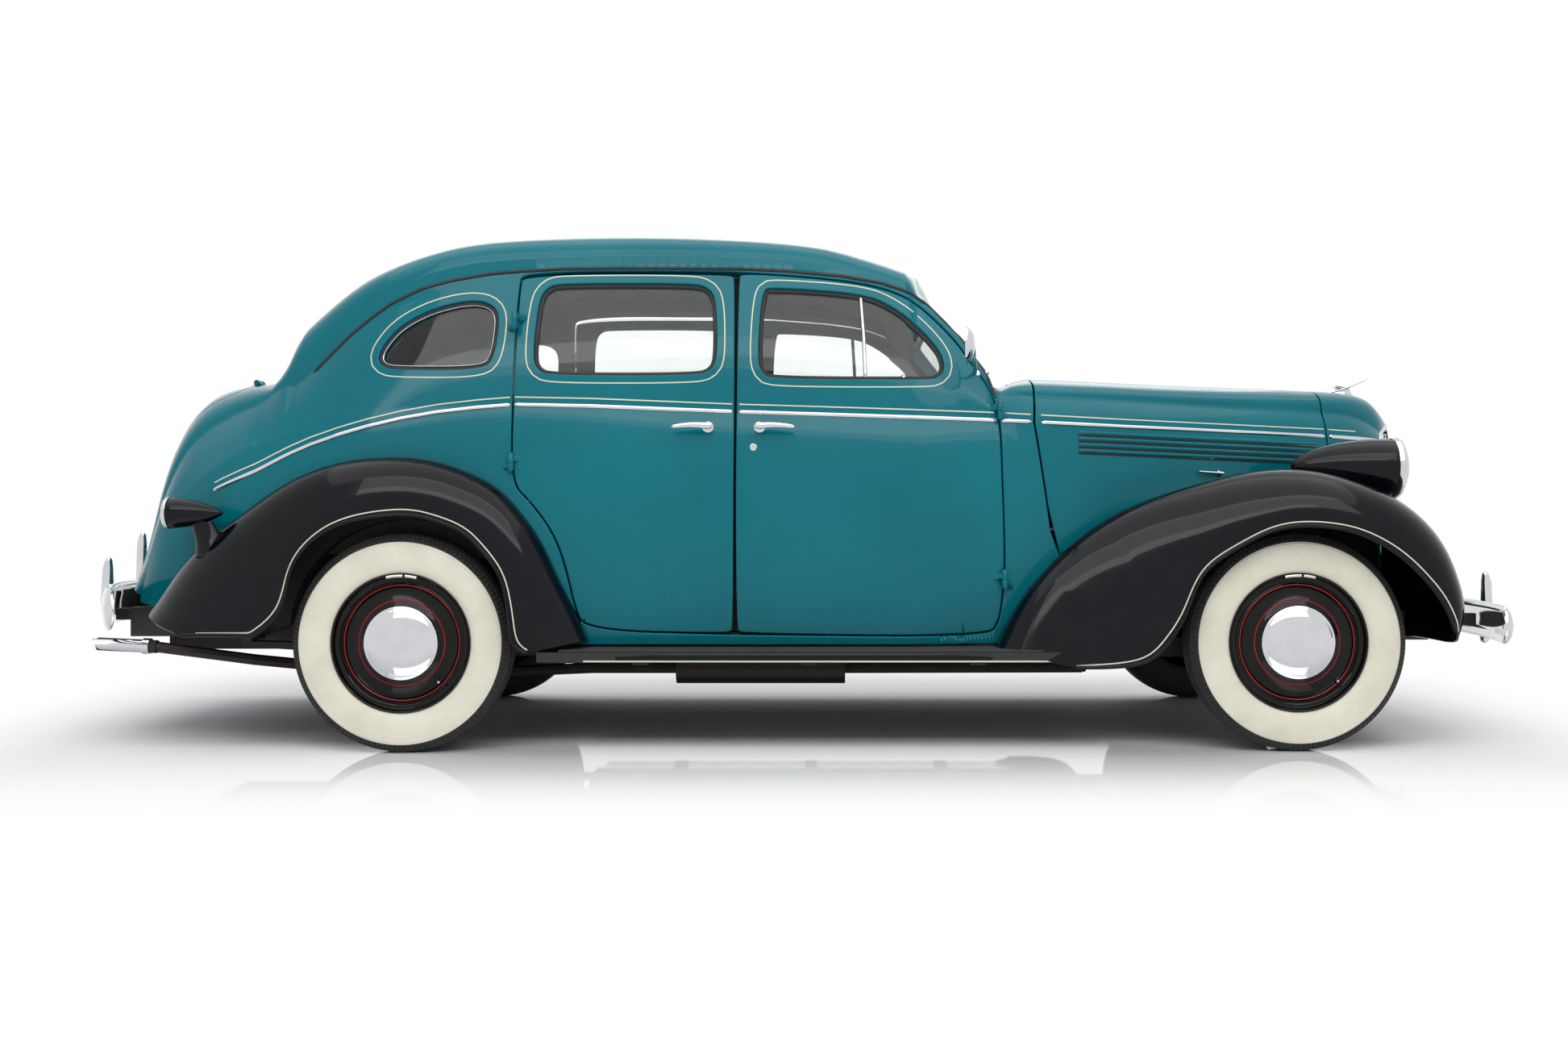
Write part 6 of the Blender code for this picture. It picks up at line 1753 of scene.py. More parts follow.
@dataclass
class Housings:
    """Wheel houses let into the body above the rear wheels and splash panels beside the engine."""

    skins: Skins

    @staticmethod
    def rear_house() -> bpy.types.Object:
        """Rolled liner of the rear arch with its inner wall, right-hand side."""
        rings = []
        for turn in np.radians(np.linspace(171.0, 1.0, 60)):
            way = np.array((math.cos(turn), math.sin(turn)))
            ring = []
            for y, radius in ((-0.602, 0.404), (-0.645, 0.406), (-0.69, 0.404), (-0.69, 0.412),
                    (-0.602, 0.412)):
                x, z = way * radius
                ring.append((x + REAR_AXLE_X, y, z + WHEEL_CENTRE_Z))
            rings.append(ring)
        liner = Bench.rings("house_liner", rings)
        low = math.asin((0.545 - WHEEL_CENTRE_Z) / 0.411)
        rim = [(math.cos(t) * 0.411 + REAR_AXLE_X, math.sin(t) * 0.411 + WHEEL_CENTRE_Z)
            for t in np.linspace(low, math.pi - low, 40)]
        plate = [[(x, y, z) for x, z in rim] for y in (-0.604, -0.597)]
        wall = Bench.rings("house_wall", plate)
        return Bench.joined("rear_house_right", [liner, wall])

    def splash(self) -> bpy.types.Object:
        """Inner panel between hood side and frame, pressed with two long beads."""
        places = [row[0][0] for row in HOOD_ROWS]
        edge = [row[0][2] for row in HOOD_ROWS]
        rings = []
        for x in np.linspace(2.185, 3.165, 50):
            top_y = self.skins.side_y(float(x)) - 0.05
            top_z = float(np.interp(x, places, edge)) - 0.014
            low_y = min(0.452, top_y)
            outer, inner = [], []
            for s in np.linspace(0.0, 1.0, 15):
                bead = 0.004 * max(0.0, math.sin(s * math.pi * 4.0)) ** 2
                y = top_y + (low_y - top_y) * s
                z = top_z + (0.455 - top_z) * s
                outer.append((x + REAR_AXLE_X, -(y + bead), z))
                inner.append((x + REAR_AXLE_X, -(y + bead - 0.004), z))
            rings.append(outer + inner[::-1])
        return Bench.rings("front_splash_right", rings)

    def build(self) -> None:
        """Build both sides."""
        for thing in (self.rear_house(), self.splash()):
            Bench.done(thing, "under_coat", "car", "frame_black")
            copy = Bench.copy(thing, thing.name.replace("right", "left"), True)
            Bench.done(copy, "under_coat", "car", "frame_black")


TYRE_HALF = ((0.05, 0.215, 0), (0.057, 0.224, 0), (0.064, 0.2296, 0), (0.0715, 0.24, 0), (0.0765, 0.254, 0),
    (0.0786, 0.27, 0), (0.0784, 0.288, 0), (0.0768, 0.304, 0), (0.0746, 0.316, 0), (0.0738, 0.3182, 0),
    (0.0746, 0.32, 0), (0.0736, 0.3218, 0), (0.0722, 0.327, 0), (0.0712, 0.3288, 0), (0.07, 0.3296, 0),
    (0.0696, 0.332, 0), (0.0688, 0.334, 1), (0.066, 0.3395, 1), (0.0615, 0.345, 1), (0.056, 0.3495, 1),
    (0.0525, 0.3515, 0), (0.051, 0.353, 0), (0.04, 0.3545, 0), (0.0395, 0.35, 0), (0.0345, 0.3503, 0),
    (0.034, 0.3553, 0), (0.02, 0.3563, 0), (0.0195, 0.3515, 0), (0.0145, 0.3517, 0), (0.014, 0.3565, 0),
    (0.0, 0.3568, 0))
DISC_PROFILE = ((0.058, 0.0), (0.058, 0.116), (0.0575, 0.1185), (0.0555, 0.124), (0.0515, 0.13),
    (0.0468, 0.1395), (0.043, 0.15), (0.0385, 0.165), (0.0362, 0.174), (0.036, 0.1785), (0.0385, 0.1815),
    (0.044, 0.1838), (0.0462, 0.1862), (0.0462, 0.19), (0.044, 0.1925), (0.043, 0.195), (0.044, 0.1985),
    (0.049, 0.201), (0.051, 0.204), (0.051, 0.21), (0.053, 0.2145), (0.059, 0.2175), (0.065, 0.22),
    (0.0672, 0.2225), (0.0675, 0.225), (0.0655, 0.2268), (0.0615, 0.2265), (0.059, 0.2245), (0.057, 0.2215),
    (0.052, 0.215), (0.02, 0.213), (0.015, 0.205), (-0.02, 0.205), (-0.025, 0.213), (-0.051, 0.214),
    (-0.057, 0.2215), (-0.059, 0.2245), (-0.064, 0.2268), (-0.0665, 0.224), (-0.064, 0.22), (-0.052, 0.212),
    (-0.03, 0.21), (-0.023, 0.199), (0.012, 0.199), (0.02, 0.185), (0.028, 0.176), (0.034, 0.15),
    (0.04, 0.138), (0.04, 0.13), (0.013, 0.128), (0.013, 0.0))
CAP_PROFILE = ((0.057, 0.0), (0.057, 0.119), (0.0585, 0.1208), (0.0612, 0.1214), (0.064, 0.1204),
    (0.0656, 0.118), (0.0664, 0.114), (0.07, 0.109), (0.0765, 0.096), (0.082, 0.08), (0.086, 0.062),
    (0.0888, 0.042), (0.0904, 0.021), (0.091, 0.0))
DRUM_PROFILE = ((0.011, 0.032), (0.011, 0.124), (0.005, 0.13), (-0.044, 0.13), (-0.044, 0.136),
    (-0.05, 0.136), (-0.05, 0.126), (-0.008, 0.124), (0.001, 0.118), (0.001, 0.032), (0.011, 0.032))


@dataclass
class Wheels:
    """Whitewall tyres on pressed wheels with stepped rims, red rings and plain domed caps."""

    notches: int = 132

    def tyre(self) -> bpy.types.Object:
        """One tyre about the origin, outward to the right, with grooved tread and notched shoulders."""
        table = [*TYRE_HALF, *[(-a, r, n) for a, r, n in reversed(TYRE_HALF[:-1])]]
        steps = self.notches * 4
        points = []
        for k in range(steps):
            turn = math.tau * k / steps
            low = k % 4 < 2
            for across, radius, notch in table:
                depth = 0.0032 if notch and low else 0.0
                out, side = radius - depth, across - math.copysign(depth * 0.7, across)
                points.append((math.sin(turn) * out, -side, math.cos(turn) * out))
        thing = Bench.mesh("tyre_pattern", points, Bench.bands(len(table), steps, True), 30.0)
        for face in thing.data.polygons:
            centre = face.center
            radius = math.hypot(centre.x, centre.z)
            face.material_index = 1 if centre.y < -0.05 and 0.2235 < radius < 0.3285 else 0
        return thing

    @staticmethod
    def ring(name: str, along: float, radius: float, slope: float) -> bpy.types.Object:
        """Fine painted ring lying on the wheel face."""
        half = 0.0017
        profile = [(along + half * slope, radius - half), (along + 0.0009, radius),
            (along - half * slope, radius + half), (along - 0.002, radius + half),
            (along - 0.002, radius - half), (along + half * slope, radius - half)]
        return Bench.spun(name, profile, ORIGIN, TO_RIGHT, 160)

    @staticmethod
    def clip(middle: float, spread: float) -> bpy.types.Object:
        """Balance weight clipped on the rim flange over a part of its turn."""
        turn = np.radians(np.linspace(middle - spread, middle + spread, 14))
        path = np.stack([np.sin(turn) * 0.2185, np.full(14, -0.0672), np.cos(turn) * 0.2185], axis=1)
        return Bench.tube("weight", path, (0.005, 0.0034, 10), (0.0, -1.0, 0.0))

    def build(self) -> None:
        """Build the pieces once and set them at the four corners."""
        disc = Bench.spun("disc", DISC_PROFILE, ORIGIN, TO_RIGHT, 192, 24.0)
        cap = Bench.spun("cap", CAP_PROFILE, ORIGIN, TO_RIGHT, 160, 50.0)
        drum = Bench.spun("drum", DRUM_PROFILE, ORIGIN, TO_RIGHT, 96)
        rings = Bench.joined("rings", [self.ring("ring", 0.047, 0.14, 0.42),
            self.ring("ring", 0.0466, 0.1881, 0.0)])
        stem = Bench.tube("stem", np.array([(0.118, -0.03, -0.118), (0.122, -0.052, -0.122),
            (0.125, -0.072, -0.125)]), (0.0038, 0.0038, 12))
        clips = Bench.joined("clips", [self.clip(-5.0, 7.0), self.clip(9.0, 5.0)])
        parts = ((self.tyre(), ["black_rubber", "white_rubber"], "rubber_tyre", "tyre"),
            (disc, ["wheel_enamel"], "fender_paint", "wheel"), (cap, ["chrome_plate"], "chrome", ""),
            (drum, ["cast_metal"], "iron", ""), (rings, ["red_line"], "fender_paint", ""),
            (stem, ["chrome_plate"], "chrome", ""), (clips, ["satin_steel"], "iron", ""))
        for word, x, track in (("front", FRONT_AXLE_X, FRONT_TRACK_HALF),
                ("rear", REAR_AXLE_X, REAR_TRACK_HALF)):
            for side in Side:
                for part, finishes, slot, node in parts:
                    one = Bench.copy(part, f"{word}_{side.word}_{part.name.split('_')[0]}", side is Side.LEFT,
                        (x, side.value * track, WHEEL_CENTRE_Z))
                    replaces = [f"{word}_{node}_{side.word}"] if node else []
                    Bench.done(one, finishes, f"wheel_{word}_{side.word}", slot, replaces)
        for part, _, _, _ in parts:
            bpy.data.objects.remove(part, do_unlink=True)


@dataclass
class Bumper:
    """Bowed chrome face bar with a soft crown and upright guards."""

    name: str
    centre_x: float
    bow: float
    low: float
    high: float
    turn: float
    guards: tuple[tuple[float, float, float], ...]

    def blade(self) -> bpy.types.Object:
        """Sweep the face bar, rounding its ends."""
        turns = np.linspace(-math.pi / 2.0, math.pi / 2.0, 15)
        face = [(0.022 * math.cos(t) ** 0.8 + 0.003 * math.exp(-(math.sin(t) / 0.16) ** 2), math.sin(t))
            for t in turns]
        back = [(-0.006, 0.93), (-0.009, 0.8), (-0.004, 0.5), (-0.002, 0.0), (-0.004, -0.5), (-0.009, -0.8),
            (-0.006, -0.93)]
        middle, tall = (self.low + self.high) / 2.0, (self.high - self.low) / 2.0
        rings = []
        for share in np.linspace(-1.0, 1.0, 121):
            near = max(0.0, (abs(share) - 0.9) / 0.1)
            size = max(0.12, math.sqrt(max(0.0, 1.0 - near ** 2.4)))
            x = self.centre_x - self.turn * self.bow * abs(share) ** 2.2
            rings.append([(x + self.turn * a * min(1.0, size + 0.3), share * BUMPER_HALF,
                middle + tall * b * size) for a, b in (*face, *back)])
        return Bench.rings(f"{self.name}_blade", rings, smooth=36.0)

    def guard(self, y: float, bottom: float, top: float) -> bpy.types.Object:
        """Loft one upright guard that narrows to a rounded horn."""
        x = self.centre_x - self.turn * self.bow * abs(y / BUMPER_HALF) ** 2.2
        middle = (self.low + self.high) / 2.0
        knots = (bottom, bottom + 0.02, middle, top - 0.04, top)
        rings = []
        for s in np.linspace(0.0, 1.0, 41):
            z = bottom + (top - bottom) * s
            front = float(np.interp(z, knots, (0.024, 0.036, 0.0445, 0.04, 0.026)))
            back = float(np.interp(z, knots, (0.006, 0.002, 0.004, 0.006, 0.01)))
            half = float(np.interp(s, (0.0, 0.15, 0.5, 1.0), (0.016, 0.023, 0.021, 0.012)))
            cap = min(1.0, math.sqrt(max(0.02, 1.0 - max(0.0, (s - 0.94) / 0.06) ** 2)),
                math.sqrt(max(0.02, 1.0 - max(0.0, (0.05 - s) / 0.05) ** 2)))
            ring = []
            for k in range(20):
                angle = math.tau * k / 20
                deep = (front + back) / 2.0 + (front - back) / 2.0 * cap * math.copysign(
                    abs(math.cos(angle)) ** 0.8, math.cos(angle))
                wide = half * cap * math.copysign(abs(math.sin(angle)) ** 0.7, math.sin(angle))
                ring.append((x + self.turn * deep, y + wide, z))
            rings.append(ring)
        return Bench.rings(f"{self.name}_guard", rings, smooth=50.0)

    def build(self) -> None:
        """Build blade and guards as one plated piece."""
        parts = [self.blade(), *[self.guard(*row) for row in self.guards]]
        Bench.done(Bench.joined(f"{self.name}_plated", parts), "chrome_plate", "car", "chrome", [self.name])


@dataclass
class Lamps:
    """Headlamps on the front fenders and tail lamps on the rear ones."""

    head: Point = (3.175 + REAR_AXLE_X, -0.52, 0.935)
    tail: Point = (-0.69 + REAR_AXLE_X, -0.745, 0.779)

    def headlamp(self) -> None:
        """Teardrop shell with rim, fluted lens, reflector, bulb and foot."""
        way = (1.0, 0.0, -0.02)
        shell = [(-0.2, 0.0), (-0.196, 0.012), (-0.182, 0.026), (-0.16, 0.04), (-0.13, 0.056), (-0.09, 0.071),
            (-0.04, 0.084), (0.01, 0.092), (0.06, 0.0975), (0.11, 0.0995), (0.146, 0.1), (0.15, 0.099),
            (0.15, 0.096), (0.06, 0.093), (-0.04, 0.078), (-0.13, 0.05), (-0.19, 0.0)]
        rim = [(0.14, 0.0985), (0.14, 0.1025), (0.147, 0.1055), (0.157, 0.1058), (0.165, 0.1025),
            (0.1675, 0.0975), (0.1655, 0.0935), (0.16, 0.0945), (0.152, 0.0965), (0.14, 0.0985)]
        lens = [(0.1935, 0.0), (0.193, 0.018), (0.1905, 0.038), (0.185, 0.06), (0.1765, 0.08),
            (0.165, 0.0935), (0.159, 0.094), (0.159, 0.09), (0.172, 0.076), (0.181, 0.056), (0.1865, 0.034),
            (0.1895, 0.0)]
        bowl = [(0.156, 0.092), (0.11, 0.084), (0.07, 0.068), (0.045, 0.048), (0.03, 0.024), (0.026, 0.0),
            (0.022, 0.0), (0.026, 0.025), (0.041, 0.05), (0.067, 0.071), (0.108, 0.087), (0.156, 0.0945),
            (0.156, 0.092)]
        bulb = [(0.024, 0.0), (0.024, 0.008), (0.05, 0.009), (0.056, 0.015), (0.066, 0.017), (0.076, 0.015),
            (0.082, 0.009), (0.084, 0.0)]
        for part, profile, finish, slot in (("shell", shell, "navy_enamel", "fender_paint"),
                ("rim", rim, "chrome_plate", "chrome"), ("glass", lens, "fluted_glass", "glass"),
                ("bowl", bowl, "mirror_plate", "chrome"), ("bulb", bulb, "lamp_glass", "glass")):
            thing = Bench.spun(f"headlamp_{part}_right", profile, self.head, way, 96, 50.0)
            other = Bench.copy(thing, f"headlamp_{part}_left", True)
            for side, one in (("right", thing), ("left", other)):
                Bench.done(one, finish, "car", slot, [f"headlamp_lens_{side}"] if part == "glass" else [])
        x, y, z = self.head
        foot = self.foot("headlamp_foot", (x - 0.01, y - 0.004), (z - 0.05, 0.8), (0.105, 0.04),
            (0.155, 0.085))
        Bench.pair(foot, "navy_enamel", "car", "fender_paint")

    @staticmethod
    def foot(name: str, place: tuple[float, float], heights: tuple[float, float], top: tuple[float, float],
            base: tuple[float, float], lean: float = 0.0) -> bpy.types.Object:
        """Streamlined foot that leans and widens down to the fender."""
        rings = []
        for s in np.linspace(0.0, 1.0, 30):
            flare = s ** 2.2
            long, wide = (a + (b - a) * flare for a, b in zip(top, base))
            ring = []
            for k in range(48):
                angle = math.tau * k / 48
                along = math.cos(angle)
                reach = long * (1.0 if along > 0.0 else 1.15)
                ring.append((place[0] + lean * s + along * reach * 0.6, place[1]
                    + math.sin(angle) * wide * 0.6, heights[0] + (heights[1] - heights[0]) * s))
            rings.append(ring)
        return Bench.rings(name, rings, smooth=60.0)

    def tail_lamp(self) -> None:
        """Slim teardrop tail lamp with rim and red lens."""
        shell = [(-0.092, 0.0), (-0.092, 0.045), (-0.088, 0.0492), (-0.08, 0.0508), (-0.06, 0.05),
            (-0.02, 0.0445), (0.02, 0.035), (0.055, 0.0225), (0.078, 0.0105), (0.087, 0.004), (0.089, 0.0)]
        rim = [(-0.084, 0.0505), (-0.084, 0.0525), (-0.091, 0.053), (-0.097, 0.0505), (-0.0985, 0.0465),
            (-0.095, 0.044), (-0.09, 0.045), (-0.084, 0.0505)]
        lens = [(-0.09, 0.0), (-0.09, 0.045), (-0.096, 0.044), (-0.0995, 0.04), (-0.1015, 0.03),
            (-0.103, 0.015), (-0.1035, 0.0)]
        for part, profile, finish, slot in (("shell", shell, "navy_enamel", "fender_paint"),
                ("rim", rim, "chrome_plate", "chrome"), ("lens", lens, "red_glass", "glass")):
            Bench.pair(Bench.spun(f"tail_lamp_{part}", profile, self.tail, FORWARD, 72, 50.0), finish, "car",
                slot)
        x, y, z = self.tail
        foot = self.foot("tail_lamp_foot", (x + 0.02, y), (z - 0.028, 0.635), (0.06, 0.032), (0.115, 0.08),
            0.055)
        Bench.pair(foot, "navy_enamel", "car", "fender_paint")

    def build(self) -> None:
        """Build all four lamps."""
        self.headlamp()
        self.tail_lamp()


HANDLES = {"rear_door": (0.99, 1.0), "front_door": (1.16, -1.0)}
HINGES = {"rear_door": ((0.345, -0.752, 0.945), (0.345, -0.688, 1.42), 1.0),
    "front_door": ((1.97, -0.726, 0.56), (1.96, -0.685, 1.12), -1.0)}


@dataclass
class Fittings:
    """Bright strips, painted lines, window rubbers, handles, hinges and mirrors on the coachwork."""

    skins: Skins
    coach: Coachwork

    def along_car(self, trim: Trim, name: str, path: Outline, finish: str, slot: str) -> None:
        """Lay one line over shell and doors, broken at each gap."""
        shell = self.coach.outside_doors
        areas = (("shell", "car", lambda p: shell(p) & (p[:, 0] < 2.07)),
            ("rear_door", "rear_door_*", self.coach.on_door("rear_door")),
            ("front_door", "front_door_*", self.coach.on_door("front_door")))
        for word, body, keep in areas:
            Bench.pair(trim.lay(f"{name}_{word}", path, keep), finish, body, slot)

    @staticmethod
    def between(low: float, high: float) -> Callable[[np.ndarray], np.ndarray]:
        """Make a test for path points between two places along the car."""
        return lambda points: (points[:, 0] > low) & (points[:, 0] < high)

    def belt(self) -> None:
        """Chrome belt strip with a cream line above it, from tail to nose."""
        high = [(x, z + 0.0255) for x, z in BELT_PATH]
        body, hood, nose = self.skins.body, self.skins.hood, self.skins.nose
        self.along_car(Trim(body, 0.015, 0.0065), "belt", BELT_PATH, "chrome_plate", "chrome")
        self.along_car(Trim(body, 0.0046, 0.0009, flat=True), "belt_line", high, "cream_line", "body_paint")
        for word, skin, where, low, top in (("hood", hood, "hood_half_*", 2.103, 3.166),
                ("nose", nose, "car", 3.184, 3.44)):
            keep = self.between(low, top)
            Bench.pair(Trim(skin, 0.015, 0.0065).lay(f"belt_{word}", BELT_PATH, keep, step=0.004),
                "chrome_plate", where, "chrome")
            ends = self.between(low, min(top, 3.3))
            Bench.pair(Trim(skin, 0.0046, 0.0009, flat=True).lay(f"belt_line_{word}", high, ends, step=0.004),
                "cream_line", where, "body_paint")

    def windows(self) -> None:
        """Rubber round each side window, a bright bead round the quarter window, and a cream line outside
        each.
        """
        skin = self.skins.body
        table = (("front_window", "front_door_*"), ("rear_window", "rear_door_*"), ("quarter_window", "car"))
        for name, body in table:
            outline = self.coach.outlines[name]
            inner = grown(outline, -0.0045)
            Bench.pair(Trim(skin, 0.017, 0.0075, -0.016).lay(f"{name}_rubber", inner, closed=True),
                "black_rubber", body, "rubber_tyre")
            if name == "quarter_window":
                bead = grown(outline, -0.0135)
                Bench.pair(Trim(skin, 0.004, 0.0035, -0.0105).lay(f"{name}_bead", bead, closed=True),
                    "chrome_plate", body, "chrome")
            line = even(grown(even(outline, 0.02, True), 0.027), 0.006, True)
            Bench.pair(Trim(skin, 0.0044, 0.0009, flat=True).lay(f"{name}_line", line, closed=True),
                "cream_line", body, "body_paint")
        vent = [(1.5125, 1.232), (1.5075, 1.38), (1.4985, 1.514)]
        Bench.pair(Trim(skin, 0.013, 0.008, -0.0145).lay("vent_bar", vent), "chrome_plate", "front_door_*",
            "chrome")
        pivot = Bench.spun("vent_pivot", [(0.0, 0.0), (0.0, 0.007), (0.003, 0.0085), (0.008, 0.0085),
            (0.01, 0.006), (0.01, 0.0)], self.on_side(1.64, 1.232, -0.012), (0.0, -0.3, 1.0), 24)
        Bench.pair(pivot, "chrome_plate", "front_door_*", "chrome")

    def on_side(self, x: float, z: float, lift: float = 0.0) -> Point:
        """Place on the body side seen at x from the rear axle and z, lifted off it."""
        points, normals = self.skins.body.read(self.skins.body.side_path([(x, z)]))
        return tuple(points[0] + normals[0] * lift)

    def drip(self) -> None:
        """Dark drip rail over doors and quarter window; its black stands partly for the rail's own dark strip
        and partly, as painted shade, for the shadow line under it.
        """
        shell = self.coach.outside_doors
        trim = Trim(self.skins.body, 0.011, 0.0065)
        # Black rubber here is partly painted shade: it also stands for the shadow line under the rail.
        Bench.pair(trim.lay("drip_rail", DRIP_PATH, shell, step=0.006), "black_rubber", "car", "rubber_tyre")

    def handles(self) -> None:
        """Lever handle on an oval plate for each door, with a key lock on the front ones."""
        for name, (x, turn) in HANDLES.items():
            root = Vector(self.on_side(x, 1.062))
            plate = Bench.spun(f"{name}_plate", [(-0.004, 0.0), (-0.004, 0.019), (0.0015, 0.0185),
                (0.0045, 0.015), (0.006, 0.01), (0.02, 0.0082), (0.03, 0.0085), (0.03, 0.0)], tuple(root),
                (0.0, -1.0, 0.06), 48)
            share = np.linspace(0.0, 1.0, 30)
            reach = -turn * (0.132 * share - 0.016)
            path = np.stack([root.x + reach, root.y - 0.0355 - 0.01 * share * (1.4 - share) * 2.0,
                root.z + 0.0015 + 0.005 * np.sin(share * math.pi) - 0.002 * share], axis=1)
            grip = Bench.tube(f"{name}_grip", path, (0.007, 0.0098, 16), (0.0, 0.0, 1.0),
                taper=lambda s: float(np.interp(s, (0.0, 0.04, 0.15, 0.5, 0.9, 0.97, 1.0),
                (0.45, 0.85, 1.15, 0.95, 0.72, 0.6, 0.25))))
            Bench.pair(Bench.joined(f"{name}_handle", [plate, grip]), "chrome_plate", f"{name}_*", "chrome")
        lock = Bench.spun("door_lock", [(-0.003, 0.0), (-0.003, 0.0125), (0.001, 0.0125), (0.0035, 0.01),
            (0.0035, 0.0072), (0.002, 0.0066), (0.002, 0.0012), (0.0, 0.0012), (0.0, 0.0)],
            self.on_side(1.1405, 0.995), (0.0, -1.0, 0.02), 40)
        Bench.pair(lock, "chrome_plate", "front_door_*", "chrome")

    def hinges(self) -> None:
        """Painted barrel hinges in halves."""
        spots = self.skins.body.grid.reshape(-1, 3)
        for name, (low, high, forward) in HINGES.items():
            ends = [Vector((x + REAR_AXLE_X, y, z)) for x, y, z in (low, high)]
            line = (ends[1] - ends[0]).normalized()
            for number, place in enumerate(ends):
                for word, body, way, sign in (("fixed", "car", -1.0, -forward),
                        ("moving", f"{name}_*", 1.0, forward)):
                    profile = [(0.0002, 0.0), (0.0002, 0.0095), (0.001, 0.0103), (0.0255, 0.0103),
                        (0.0275, 0.0092), (0.0285, 0.007), (0.032, 0.0055), (0.0335, 0.003), (0.0335, 0.0)]
                    barrel = Bench.spun(f"{name}_{word}_{number}", profile, tuple(place), tuple(line * way),
                        32)
                    middle = place + line * way * 0.014
                    aim = np.array(middle + Vector((sign * 0.03, 0.0, 0.0)))
                    foot = spots[int(np.argmin(np.linalg.norm(spots - aim, axis=1)))]
                    target = Vector(foot) + Vector((0.0, 0.012, 0.0))
                    path = np.array([middle.lerp(target, s) for s in (0.0, 0.25, 0.5, 0.75, 1.0)])
                    strap = Bench.tube("strap", path, (0.0075, 0.0115, 16), tuple(line),
                        taper=lambda s: 0.85 + 0.35 * s)
                    Bench.pair(Bench.joined(barrel.name, [barrel, strap]), "teal_enamel", body, "body_paint")

    @staticmethod
    def mirrors() -> None:
        """Round mirror on a curved arm at each windshield post."""
        centre = (1.846 + REAR_AXLE_X, -0.79, 1.327)
        way = (-1.0, 0.12, 0.0)
        back = [(-0.0195, 0.0), (-0.019, 0.012), (-0.0165, 0.026), (-0.011, 0.042), (-0.0035, 0.0545),
            (0.0045, 0.0605), (0.0085, 0.062), (0.0115, 0.0615), (0.012, 0.059), (0.0105, 0.0575),
            (0.009, 0.056), (0.006, 0.05), (-0.008, 0.03), (-0.014, 0.0)]
        shell = Bench.spun("mirror_shell", back, centre, way, 72, 60.0)
        path = np.array([(1.882, -0.624, 1.247), (1.878, -0.668, 1.258), (1.872, -0.712, 1.276),
            (1.866, -0.752, 1.3), (1.862, -0.782, 1.324)])
        path[:, 0] += REAR_AXLE_X
        arm = Bench.tube("mirror_arm", even(path, 0.006), (0.0058, 0.0058, 16),
            taper=lambda s: 1.35 - 0.5 * s)
        boss = Bench.spun("mirror_boss", [(-0.006, 0.0), (-0.006, 0.017), (0.0, 0.017), (0.006, 0.0125),
            (0.009, 0.0)], (path[0][0], path[0][1] - 0.004, path[0][2]), (0.0, -1.0, 0.25), 32)
        Bench.pair(Bench.joined("door_mirror", [shell, arm, boss]), "chrome_plate", "front_door_*", "chrome")
        glass = [(0.0095, 0.0), (0.0095, 0.0572), (0.0112, 0.0568), (0.0112, 0.0)]
        Bench.pair(Bench.spun("mirror_glass", glass, centre, way, 64), "mirror_plate", "front_door_*",
            "chrome")

    def front_glass(self) -> None:
        """Rubber and bright bead round each windshield half, the middle bar and the wipers."""
        skin = self.skins.body
        places = skin.front_path(grown(rounded(WINDSHIELD_PANE, sharp=60.0, edge=0.01), -0.002))
        points, normals = skin.read(places)
        Bench.pair(Bench.tube("windshield_rubber", points - normals * 0.007, (0.0085, 0.0065, 12), normals,
            True), "black_rubber", "car", "rubber_tyre")
        bead = Bench.tube("windshield_bead", points - normals * 0.0015, (0.0035, 0.003, 10), normals, True)
        Bench.pair(bead, "chrome_plate", "car", "chrome")
        column = float(skin.grid.shape[1] - 1.05)
        rows = [place[0] for place in places if skin.read(np.array([place]))[0][0][1] > -0.04]
        span = np.linspace(min(rows) - 1.0, max(rows) + 1.0, 40)
        bar_points, bar_normals = skin.read(np.array([(i, column) for i in span]))
        bar_points[:, 1] = 0.0
        bar_normals[:, 1] = 0.0
        profile = crowned(0.011, 0.0075, 0.004, 9)
        bar = Bench.tube("windshield_bar", bar_points, profile, bar_normals)
        Bench.done(bar, "chrome_plate", "car", "chrome")
        y_root, y_tip = 0.26, 0.1
        track = [(y_root + (y_tip - y_root) * s, 1.272 + 0.15 * s) for s in np.linspace(0.0, 1.0, 24)]
        where, out = skin.read(skin.front_path(track))
        arm = Bench.tube("wiper_arm", where + out * 0.02, (0.0032, 0.0024, 8), out,
            taper=lambda s: 1.4 - 0.7 * s)
        track = [(y_tip + 0.115 * (s - 0.5), 1.412 + 0.11 * (s - 0.5)) for s in np.linspace(0.0, 1.0, 16)]
        at, normal = skin.read(skin.front_path(track))
        lath = np.array(((-0.002, -0.011), (0.002, -0.011), (0.003, 0.003), (-0.003, 0.003)))
        blade = Bench.tube("wiper_blade", at + normal * 0.007, lath, normal)
        boss = Bench.spun("wiper_boss", [(-0.01, 0.0), (-0.01, 0.012), (0.012, 0.011), (0.024, 0.007),
            (0.026, 0.0)], tuple(where[0]), tuple(out[0]), 24)
        Bench.pair(Bench.joined("wiper", [arm, blade, boss]), "satin_steel", "car", "chrome")

    def back_glass(self) -> None:
        """Rubber round the back glass."""
        outline = grown(rounded(full_outline(BACK_PANE), sharp=80.0, edge=0.01), -0.002)
        skin = self.skins.body
        flip = np.array((1.0, -1.0, 1.0))
        points, normals = [], []
        for y, z in outline:
            spot, out = skin.read(np.array([skin.from_behind(max(abs(y), 0.0005), z)]))
            points.append(spot[0] * (flip if y < 0.0 else 1.0))
            normals.append(out[0] * (flip if y < 0.0 else 1.0))
        points, normals = np.array(points), np.array(normals)
        rubber = Bench.tube("back_rubber", points - normals * 0.006, (0.009, 0.007, 12), normals, True)
        Bench.done(rubber, "black_rubber", "car", "rubber_tyre")

